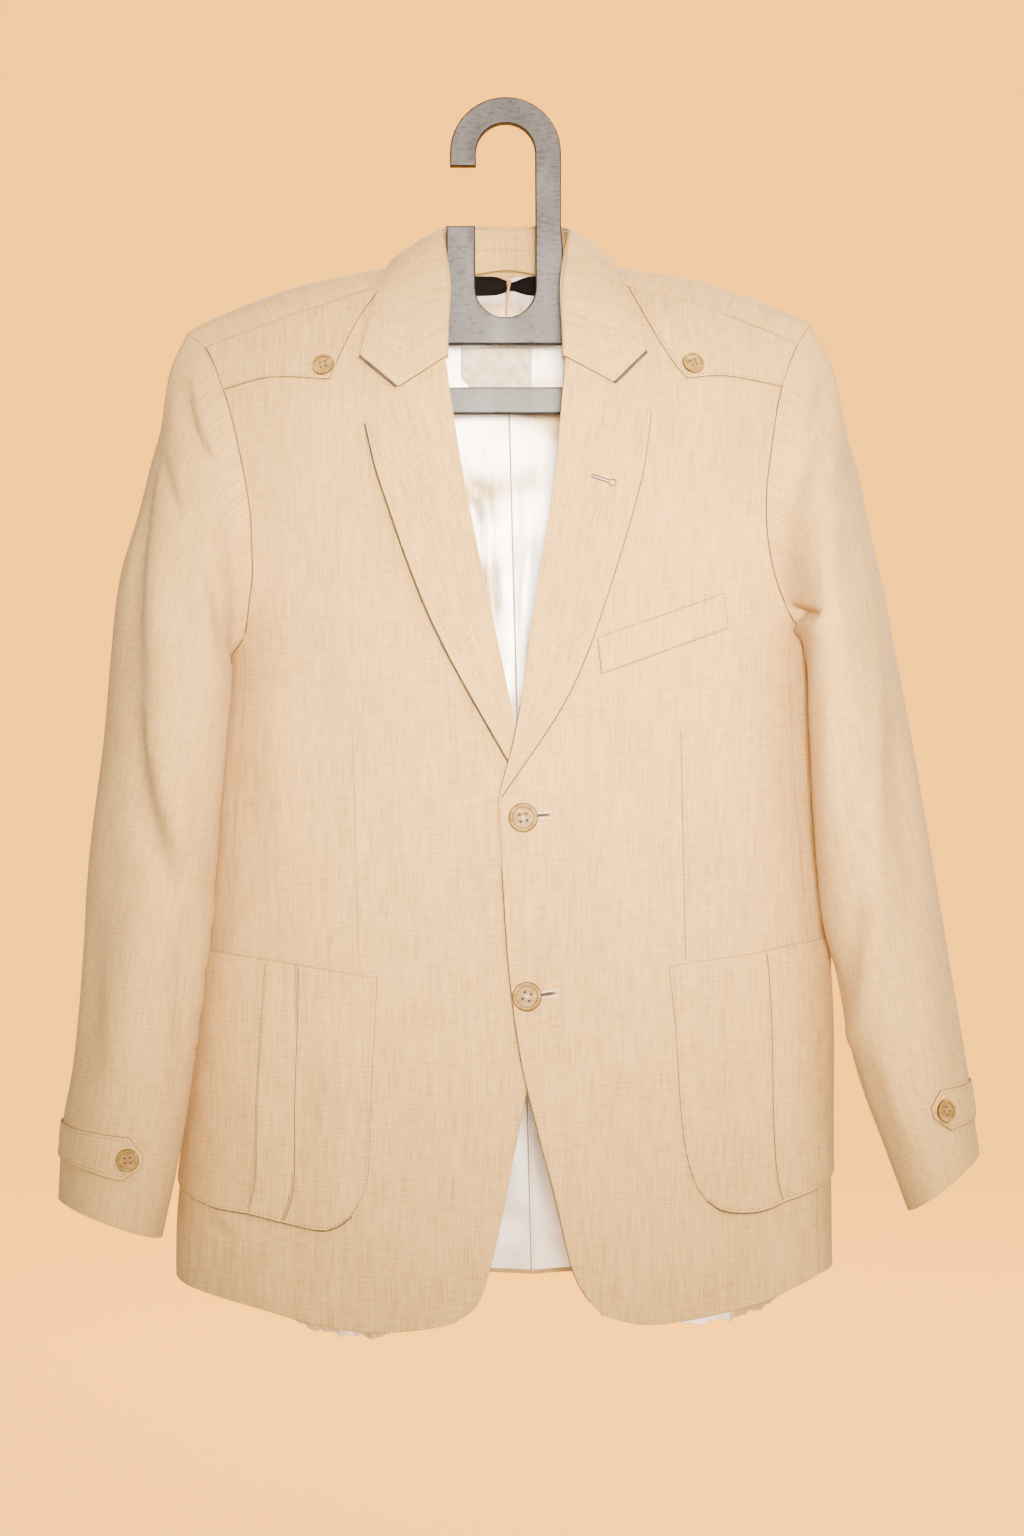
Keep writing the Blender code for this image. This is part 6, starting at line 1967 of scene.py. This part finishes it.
def button_seats():
    """Where each button sits and which way it faces: name, diameter, point, direction, turn."""
    rows = []
    for name, (x, z), turn in (("front_upper", FRONT_UPPER_AT, 0.15), ("front_lower", FRONT_LOWER_AT, -0.3)):
        points, normal = on_front(np.array([x]), np.array([z]))
        lift = overlap(np.array([x]), np.array([z]))[0] + SEAM_GAP
        rows.append((name, FRONT_BUTTON, points[0] + normal[0] * lift, normal[0], turn))
    for name, (x, z), turn in (("yoke_right", YOKE_RIGHT_AT, 0.05), ("yoke_left", YOKE_LEFT_AT, 0.6)):
        points, normal = on_front(np.array([x]), np.array([z]))
        seat = points[0] + normal[0] * (2 * SEAM_GAP + FLAP_CLOTH)
        rows.append((name, SMALL_BUTTON, seat, normal[0], turn))
    for side, name, tab, turn in ((-1, "cuff_right", TAB_RIGHT, 0.2), (1, "cuff_left", TAB_LEFT, -0.2)):
        at = np.array([tab["tip"] - TAB_BUTTON_TURN])
        points, normal = sleeve_surface(side, at, np.array([tab["ring"] + tab["rise"] * TAB_BUTTON_RISE]))
        seat = points[0] + normal[0] * (TAB_REST + FLAP_CLOTH + SEAM_GAP)
        rows.append((name, SMALL_BUTTON, seat, normal[0], turn))
    return rows


BUTTON_THICK = {FRONT_BUTTON: 3.2, SMALL_BUTTON: 2.8}
# The face of a button inside its rim as a share of its thickness. A strand of thread crosses it
# over this many hole spreads, so wide and high, and lies above it; a dark bead that paints the shade
# in a hole lies below it, so many hole radii wide and high.
BUTTON_SUNK = 0.6
STRAND_LONG = 1.9
STRAND_SIZE = (0.6, 0.7)
STRAND_ABOVE = 0.15
SHADE_SIZE = np.array([2.0, 2.0, 0.8])
SHADE_BELOW = 0.4


def make_buttons():
    """Six turned buttons, the thread that sews on the two front ones, and the painted shade in their holes.
    """
    plain = {size: button_mesh("button_%d" % size, size, thick) for size, thick in BUTTON_THICK.items()}
    strands = []
    shades = []
    bead, faces = small_shape(bmesh.ops.create_icosphere, subdivisions=2, radius=0.5)
    for name, size, point, normal, turn in button_seats():
        lean = Vector((0, 0, 1)).rotation_difference(Vector(normal)).to_matrix()
        lean = lean @ Matrix.Rotation(turn, 3, "Z")
        mesh = plain[size].copy()
        mesh.transform(Matrix.Translation(Vector(point * MM)) @ lean.to_4x4())
        add_piece("button_%s_turned" % name, mesh, finish("button"), "button", "button_" + name)
        frame_of = np.array(lean)
        gap = HOLE_SPREAD * size / 2
        high = BUTTON_SUNK * BUTTON_THICK[size]
        for cross in (math.radians(45), math.radians(-45)) if size > SMALL_BUTTON else ():
            spin = np.array([[math.cos(cross), math.sin(cross), 0], [-math.sin(cross), math.cos(cross), 0],
                             [0, 0, 1]])
            strand = bead * np.array([STRAND_LONG * gap, *STRAND_SIZE]) @ spin
            strand = strand + np.array([0, 0, high + STRAND_ABOVE])
            strands.append((point + strand @ frame_of.T, faces))
        # Dark beads low in each hole paint the shade there.
        for sx, sy in HOLES:
            shade = bead * SHADE_SIZE * HOLE_RADIUS * size / 2
            shade = shade + np.array([sx * gap, sy * gap, high - SHADE_BELOW])
            shades.append((point + shade @ frame_of.T, faces))
    add_piece("button_thread", joined("button_thread", strands), finish("pale_thread"), "linen")
    add_piece("button_hole_shade", joined("button_hole_shade", shades), finish("slit"), "button")


# Buttonholes: piece surface they are worked in, middle across and height, length, slope in degrees,
# how far the lips stand off the middle and the eye at their end opens, width of the middle,
# and the threads of lips and middle. The near-black slit thread paints shade, in the cut or beside it.
BUTTONHOLES = [
    ("front", 25.6, -496.5, 13.0, 4.0, 1.7, 0.4, 2.4, "pale_thread", "slit"),
    ("front", 28.6, -621.0, 15.0, 8.0, 1.8, 0.4, 2.6, "pale_thread", "slit"),
    ("lapel", 68.5, -263.0, 17.5, -19.0, 0.9, 1.6, 1.0, "slit", "pale_thread"),
]
# Distance from stitch to stitch of a lip, size of one, and height of the middle.
LIP_STEP = 0.55
LIP_SIZE = (0.9, 1.2, 1.8)
MIDDLE_HIGH = 1.5


def front_left_skin(x, z):
    """Face of the wearer's left front for a distance across and a height."""
    return lifted(on_front(x, z), overlap(x, z))


def lapel_left_skin(x, z):
    """Lapel point for a distance across and a height, read between the lapel's roll and its edge."""
    place = lifted_lapel(1)
    u, v = np.meshgrid(spread(24), spread(60), indexing="ij")
    points = place(u, v)[0]
    gap = (points[..., 0] - np.ravel(x)[:, None, None]) ** 2
    gap = gap + (points[..., 2] - np.ravel(z)[:, None, None]) ** 2
    spot = gap.reshape(len(gap), -1).argmin(axis=1)
    near_u = u.ravel()[spot].reshape(np.shape(x))
    near_v = v.ravel()[spot].reshape(np.shape(x))
    points, normal = place(near_u, near_v)
    return points + np.stack([x - points[..., 0], 0 * x, z - points[..., 2]], axis=-1), normal


def make_buttonholes():
    """Worked buttonholes: a slit between two lips of close stitches, with a round end; the near-black beads
    paint shade.
    """
    bead, faces = small_shape(bmesh.ops.create_icosphere, subdivisions=1, radius=0.5)
    sewn = {"pale_thread": [], "slit": []}

    def sewn_bead(surface, at, run, size):
        points, normal = surface(np.array([at[0]]), np.array([at[1]]))
        ends = np.array([points[0], points[0] + np.array([run[0], 0, run[1]])])
        turned = frames(ends, np.repeat(normal, 2, axis=0))[0]
        return points[0] + (bead * np.array(size)) @ turned, faces

    for skin, x, z, length, slope, lip_gap, eye, middle_wide, lip_thread, middle in BUTTONHOLES:
        surface = front_left_skin if skin == "front" else lapel_left_skin
        run = np.array([math.cos(math.radians(slope)), math.sin(math.radians(slope))])
        side = np.array([-run[1], run[0]])
        count = int(length / LIP_STEP)
        for k in range(count + 1):
            share = k / count - 0.5
            for lip in (-1, 1):
                open_by = lip_gap + eye * math.sin(math.pi * min(max(share - 0.25, 0) * 4, 1))
                at = np.array([x, z]) + run * share * length + side * lip * open_by
                sewn[lip_thread].append(sewn_bead(surface, at, run, LIP_SIZE))
        sewn[middle].append(sewn_bead(surface, (x, z), run, (length, middle_wide, MIDDLE_HIGH)))
    lips = joined("buttonhole_lips", sewn["pale_thread"])
    add_piece("buttonhole_lips", lips, finish("pale_thread"), "linen")
    slits = joined("buttonhole_slits", sewn["slit"])
    add_piece("buttonhole_slits", slits, finish("slit"), "label")


# Darts of the fronts: side, top and bottom of the sewn line across and height, and where its fold leans.
DARTS = [(-1, -106.5, -434.0, -102.0, -604.0, 1), (1, 122.0, -429.0, 126.0, -599.0, 1)]
DART_WIDE = 7.0
DART_RISE = 1.2
DART_CLOTH = 0.6


def dart_place(side, x0, z0, x1, z1, lean):
    """Folded edge of a dart, sharp on its sewn line and flat on the other side."""
    def place(u, v):
        x = x0 + (x1 - x0) * v + lean * DART_WIDE * u
        z = z0 + (z1 - z0) * v
        lift = overlap(x, z) if side > 0 else np.zeros_like(x)
        ends = ramp(0.0, 0.12, v) * ramp(1.0, 0.97, v)
        rise = DART_RISE * (np.interp(u, [0, 0.05, 1], [0.1, 1, 0]) * ends - 0.1)
        return lifted(on_front(x, z), lift + rise)

    return place


def make_darts(fine):
    """Sewn darts of the fronts."""
    for row in DARTS:
        name = "right" if row[0] < 0 else "left"
        cols = np.array([0, 0.025, 0.05, 0.2, 0.4, 0.7, 1.0])
        mesh, _ = wall_mesh("dart_" + name, dart_place(*row), cols, spread(60 * fine), DART_CLOTH)
        mesh.materials.append(finish("linen"))
        # Its side walls take the darker edge finish, which paints shade.
        mesh.materials.append(finish("linen_edge"))
        add_piece("dart_" + name, mesh, None, "linen")


# Length, width and height of the beads along a dart's sewn line and a pleat's back fold, in the sewing
# thread's dark tone: partly stitching, partly painted shade in the fold.
SEAM_BEAD = (3.4, 0.7, 0.5)


def make_stitches():
    """Edge stitching of flaps, pockets, tabs, welt, stand, lining and darts, with painted shade along the
    dart and pleat folds.
    """
    beads = []
    for side, _ in SIDES:
        yoke = yoke_place(side)
        beads += stitches(yoke, [(0.03, 0.985), (0.03, 0.035), (0.99, 0.035)])
        beads += stitches(yoke, [(0.02, 0.96), (0.99, 0.96)])
        beads += stitches(pocket_place(side), [(0.014, 0.99), (0.014, 0.012), (0.99, 0.012)])
        tab_edge = [(0.05, 0.1), (0.9, 0.1), (0.985, 0.5), (0.9, 0.9), (0.05, 0.9)]
        beads += stitches(tab_place(side), tab_edge)
    # A dark line along the right pocket's pleat fold paints its shade.
    back_fold = PLEATS_RIGHT["end"][0] + PLEAT_LINE
    beads += stitches(pocket_place(-1), [(back_fold, 0.02), (back_fold, 0.985)], size=SEAM_BEAD)
    beads += stitches(welt_place, [(0.012, 0.95), (0.012, 0.06), (0.988, 0.06), (0.988, 0.95)])
    beads += stitches(inner_face(stand_place, CLOTH), [(0.2, 0.52), (0.8, 0.52)])
    beads += stitches(inner_face(lining_back_place(1), LINING_CLOTH), [(0.014, 0.01), (0.014, 0.26)])
    for row in DARTS:
        beads += stitches(dart_place(*row), [(0.03, 0.05), (0.03, 0.98)], size=SEAM_BEAD)
    add_piece("edge_stitches", joined("edge_stitches", beads), finish("thread"), "linen")


def make_hanger():
    """Flat moulded hanger with rounded edges, painted near-black as shade."""
    data = bpy.data.curves.new("hanger_moulding", "CURVE")
    data.dimensions = "2D"
    data.fill_mode = "BOTH"
    data.extrude = (HANGER_THICK / 2 - HANGER_ROUND) * MM
    data.bevel_depth = HANGER_ROUND * MM
    data.bevel_resolution = 3
    data.offset = -HANGER_ROUND * MM
    for outline in (hanger_outline(), hanger_hole()):
        line = data.splines.new("POLY")
        line.points.add(len(outline) - 1)
        for spot, (x, z) in zip(line.points, outline):
            spot.co = (x * MM, z * MM, 0.0, 1.0)
        line.use_cyclic_u = True
    mesh = to_mesh(data)
    mesh.transform(Matrix.Rotation(math.pi / 2, 4, "X"))
    two_tone(mesh, "plastic", "plastic_edge", lambda normal: abs(normal.y) > HANGER_FLAT)
    add_piece("hanger_moulding", mesh, finish("plastic"), "hanger", "hanger")


FLOOR_RADIUS = 5.5
FLOOR_BEND = 1.6
FLOOR_WALL = 4.2
FLOOR_STEPS = 96
# Lamps: place, size across and up, power and angle of the beam in degrees. They share one warm
# colour, and each looks at the blazer's chest.
LAMPS = columns("x y z wide tall watts spread", [
    (0.1, -2.35, -0.3, 0.25, 0.25, 10.0, 32),
    (0.9, -1.6, 0.8, 1.5, 1.1, 85, 180),
    (-2.2, -1.9, 0.15, 1.8, 2.2, 4, 180),
    (0.3, 2.2, 1.0, 2.0, 1.2, 230, 180),
    (0.0, -2.6, -0.9, 2.4, 0.8, 40, 180),
])
LAMP_COLOUR = (1.0, 0.86, 0.71)
LAMP_TARGET = Vector((0.07, 0.0, -0.34))
WORLD_COLOUR = (0.92, 0.95, 0.97)
WORLD_STRENGTH = 0.75
SENSOR = 36.0


def make_floor(sizes):
    """Pale studio floor that curves up into a wall all round."""
    bend = [(FLOOR_RADIUS - FLOOR_BEND + FLOOR_BEND * math.sin(t), FLOOR_BEND * (1 - math.cos(t)))
            for t in np.linspace(0, math.pi / 2, 13)]
    line = [(0.0, 0.0), (FLOOR_RADIUS / 2, 0.0)] + bend + [(FLOOR_RADIUS, FLOOR_WALL)]
    line = [(out, sizes.floor_z + up) for out, up in line]
    mesh = mesh_of("studio_floor", turned_shape(line, FLOOR_STEPS, 1e-5))
    mesh.materials.append(finish("floor"))
    mesh.shade_smooth()
    floor = put("studio_floor", mesh)
    floor.visible_diffuse = False
    floor.visible_shadow = False


def make_lamps():
    """Soft area lamps and an even pale surround."""
    for number, (x, y, z, wide, tall, watts, beam) in enumerate(zip(*LAMPS.values())):
        data = bpy.data.lights.new("soft_box_%d" % number, "AREA")
        data.shape = "RECTANGLE"
        data.size = wide
        data.size_y = tall
        data.energy = watts
        data.spread = math.radians(beam)
        data.color = LAMP_COLOUR
        lamp = put(data.name, data)
        lamp.location = (x, y, z)
        lamp.rotation_euler = (LAMP_TARGET - lamp.location).to_track_quat("-Z", "Y").to_euler()
    world = bpy.data.worlds.new("studio_air")
    world.use_nodes = True
    air = world.node_tree.nodes["Background"]
    air.inputs["Color"].default_value = (*WORLD_COLOUR, 1.0)
    air.inputs["Strength"].default_value = WORLD_STRENGTH
    bpy.context.scene.world = world


def make_camera(sizes):
    """Level camera in front of the blazer."""
    data = bpy.data.cameras.new("front_camera")
    data.sensor_width = SENSOR
    data.lens = SENSOR * sizes.camera_away / sizes.picture_height
    camera = put("front_camera", data)
    camera.location = (sizes.camera_x, -sizes.camera_away, sizes.camera_z)
    camera.rotation_euler = (math.pi / 2, 0.0, 0.0)
    bpy.context.scene.camera = camera


def length_of(name, description, default):
    """Property for a length in metres."""
    return bpy.props.FloatProperty(name=name, description=description, default=default, unit="LENGTH")


def colour_of(name, description, code):
    """Property for a colour, with its sRGB hex value."""
    return bpy.props.FloatVectorProperty(name=name, description=description, subtype="COLOR",
                                         default=linear(code), min=0, max=1)


class BlazerSizes(bpy.types.PropertyGroup):
    """Sizes of the view and the fineness of the cloth."""

    fine: bpy.props.IntProperty(
        name="Fineness", description="Parts that each step of the cloth's grid is split into",
        default=3, min=1, max=4)
    camera_away: length_of("Camera distance", "From the hook's plane to the camera", 2.3)
    camera_x: length_of("Camera across", "Middle of the picture, across", 0.0047)
    camera_z: length_of("Camera height", "Middle of the picture, up from the hook", -0.4637)
    picture_height: length_of("Picture height", "Height that the picture takes in", 1.106)
    floor_z: length_of("Floor height", "Floor below the hook", -1.15)


class BlazerColours(bpy.types.PropertyGroup):
    """Colours of the blazer's cloth and trims."""

    linen_dark: colour_of("Linen, dark yarn", "Darkest yarn of the outer cloth", "#A17F48")
    linen: colour_of("Linen", "Middle tone of the outer cloth", "#B89254")
    linen_light: colour_of("Linen, light yarn", "Palest yarn of the outer cloth", "#C8A063")
    lining: colour_of("Lining", "Satin lining", "#DCD8D0")
    button: colour_of("Buttons", "Turned buttons", "#8A6A32")
    floor: colour_of("Floor", "Studio floor and wall", "#FFAC34")


class BLAZER_OT_fronts(bpy.types.Operator):
    """Make the two fronts and their darts"""

    bl_idname = "blazer.fronts"
    bl_label = "Fronts"

    def execute(self, context):
        make_fronts(context.scene.blazer_sizes.fine)
        make_darts(context.scene.blazer_sizes.fine)
        return {"FINISHED"}


class BLAZER_OT_backs(bpy.types.Operator):
    """Make the side panels and the back halves"""

    bl_idname = "blazer.backs"
    bl_label = "Sides and backs"

    def execute(self, context):
        make_backs(context.scene.blazer_sizes.fine)
        return {"FINISHED"}


class BLAZER_OT_sleeves(bpy.types.Operator):
    """Make the two-piece sleeves"""

    bl_idname = "blazer.sleeves"
    bl_label = "Sleeves"

    def execute(self, context):
        make_sleeves(context.scene.blazer_sizes.fine)
        return {"FINISHED"}


class BLAZER_OT_collar(bpy.types.Operator):
    """Make the lapels, the top collar and its stand"""

    bl_idname = "blazer.collar"
    bl_label = "Lapels and collar"

    def execute(self, context):
        make_collar(context.scene.blazer_sizes.fine)
        return {"FINISHED"}


class BLAZER_OT_flaps(bpy.types.Operator):
    """Make the yoke flaps, the breast welt and the cuff tabs"""

    bl_idname = "blazer.flaps"
    bl_label = "Flaps, welt and tabs"

    def execute(self, context):
        make_flaps(context.scene.blazer_sizes.fine)
        return {"FINISHED"}


class BLAZER_OT_pockets(bpy.types.Operator):
    """Make the pleated patch pockets"""

    bl_idname = "blazer.pockets"
    bl_label = "Pockets"

    def execute(self, context):
        make_pockets(context.scene.blazer_sizes.fine)
        return {"FINISHED"}


class BLAZER_OT_linings(bpy.types.Operator):
    """Make the satin linings"""

    bl_idname = "blazer.linings"
    bl_label = "Linings"

    def execute(self, context):
        make_linings(context.scene.blazer_sizes.fine)
        return {"FINISHED"}


class BLAZER_OT_label(bpy.types.Operator):
    """Make the patch, the plain label and the loop inside the neck"""

    bl_idname = "blazer.label"
    bl_label = "Patch, label and loop"

    def execute(self, context):
        make_label(context.scene.blazer_sizes.fine)
        return {"FINISHED"}


class BLAZER_OT_buttons(bpy.types.Operator):
    """Make the buttons, their thread and the buttonholes"""

    bl_idname = "blazer.buttons"
    bl_label = "Buttons and buttonholes"

    def execute(self, context):
        make_buttons()
        make_buttonholes()
        return {"FINISHED"}


class BLAZER_OT_stitches(bpy.types.Operator):
    """Make the edge stitching"""

    bl_idname = "blazer.stitches"
    bl_label = "Stitching"

    def execute(self, context):
        make_stitches()
        return {"FINISHED"}


class BLAZER_OT_hanger(bpy.types.Operator):
    """Make the moulded hanger"""

    bl_idname = "blazer.hanger"
    bl_label = "Hanger"

    def execute(self, context):
        make_hanger()
        return {"FINISHED"}


class BLAZER_OT_stage(bpy.types.Operator):
    """Make the floor, the lamps and the camera"""

    bl_idname = "blazer.stage"
    bl_label = "Stage"

    def execute(self, context):
        make_floor(context.scene.blazer_sizes)
        make_lamps()
        make_camera(context.scene.blazer_sizes)
        return {"FINISHED"}


STEPS = ("stage", "fronts", "backs", "sleeves", "collar", "flaps", "pockets", "linings", "label", "buttons",
         "stitches", "hanger")


class BLAZER_PT_panel(bpy.types.Panel):
    """List the blazer's steps, sizes and colours in the sidebar"""

    bl_idname = "BLAZER_PT_panel"
    bl_label = "Two-button blazer"
    bl_space_type = "VIEW_3D"
    bl_region_type = "UI"
    bl_category = "Blazer"

    def draw(self, context):
        for step in STEPS:
            self.layout.operator("blazer." + step)
        for group in (context.scene.blazer_sizes, context.scene.blazer_colours):
            for name in group.__annotations__:
                self.layout.prop(group, name)


CLASSES = (BlazerSizes, BlazerColours, BLAZER_OT_fronts, BLAZER_OT_backs, BLAZER_OT_sleeves, BLAZER_OT_collar,
           BLAZER_OT_flaps, BLAZER_OT_pockets, BLAZER_OT_linings, BLAZER_OT_label, BLAZER_OT_buttons,
           BLAZER_OT_stitches, BLAZER_OT_hanger, BLAZER_OT_stage, BLAZER_PT_panel)


def register():
    for item in CLASSES:
        bpy.utils.register_class(item)
    bpy.types.Scene.blazer_sizes = bpy.props.PointerProperty(type=BlazerSizes)
    bpy.types.Scene.blazer_colours = bpy.props.PointerProperty(type=BlazerColours)


def unregister():
    del bpy.types.Scene.blazer_colours
    del bpy.types.Scene.blazer_sizes
    for item in reversed(CLASSES):
        bpy.utils.unregister_class(item)


def main():
    """Make every piece in order."""
    register()
    for step in STEPS:
        getattr(bpy.ops.blazer, step)()
    bpy.context.view_layer.update()


if __name__ == "__main__":
    main()
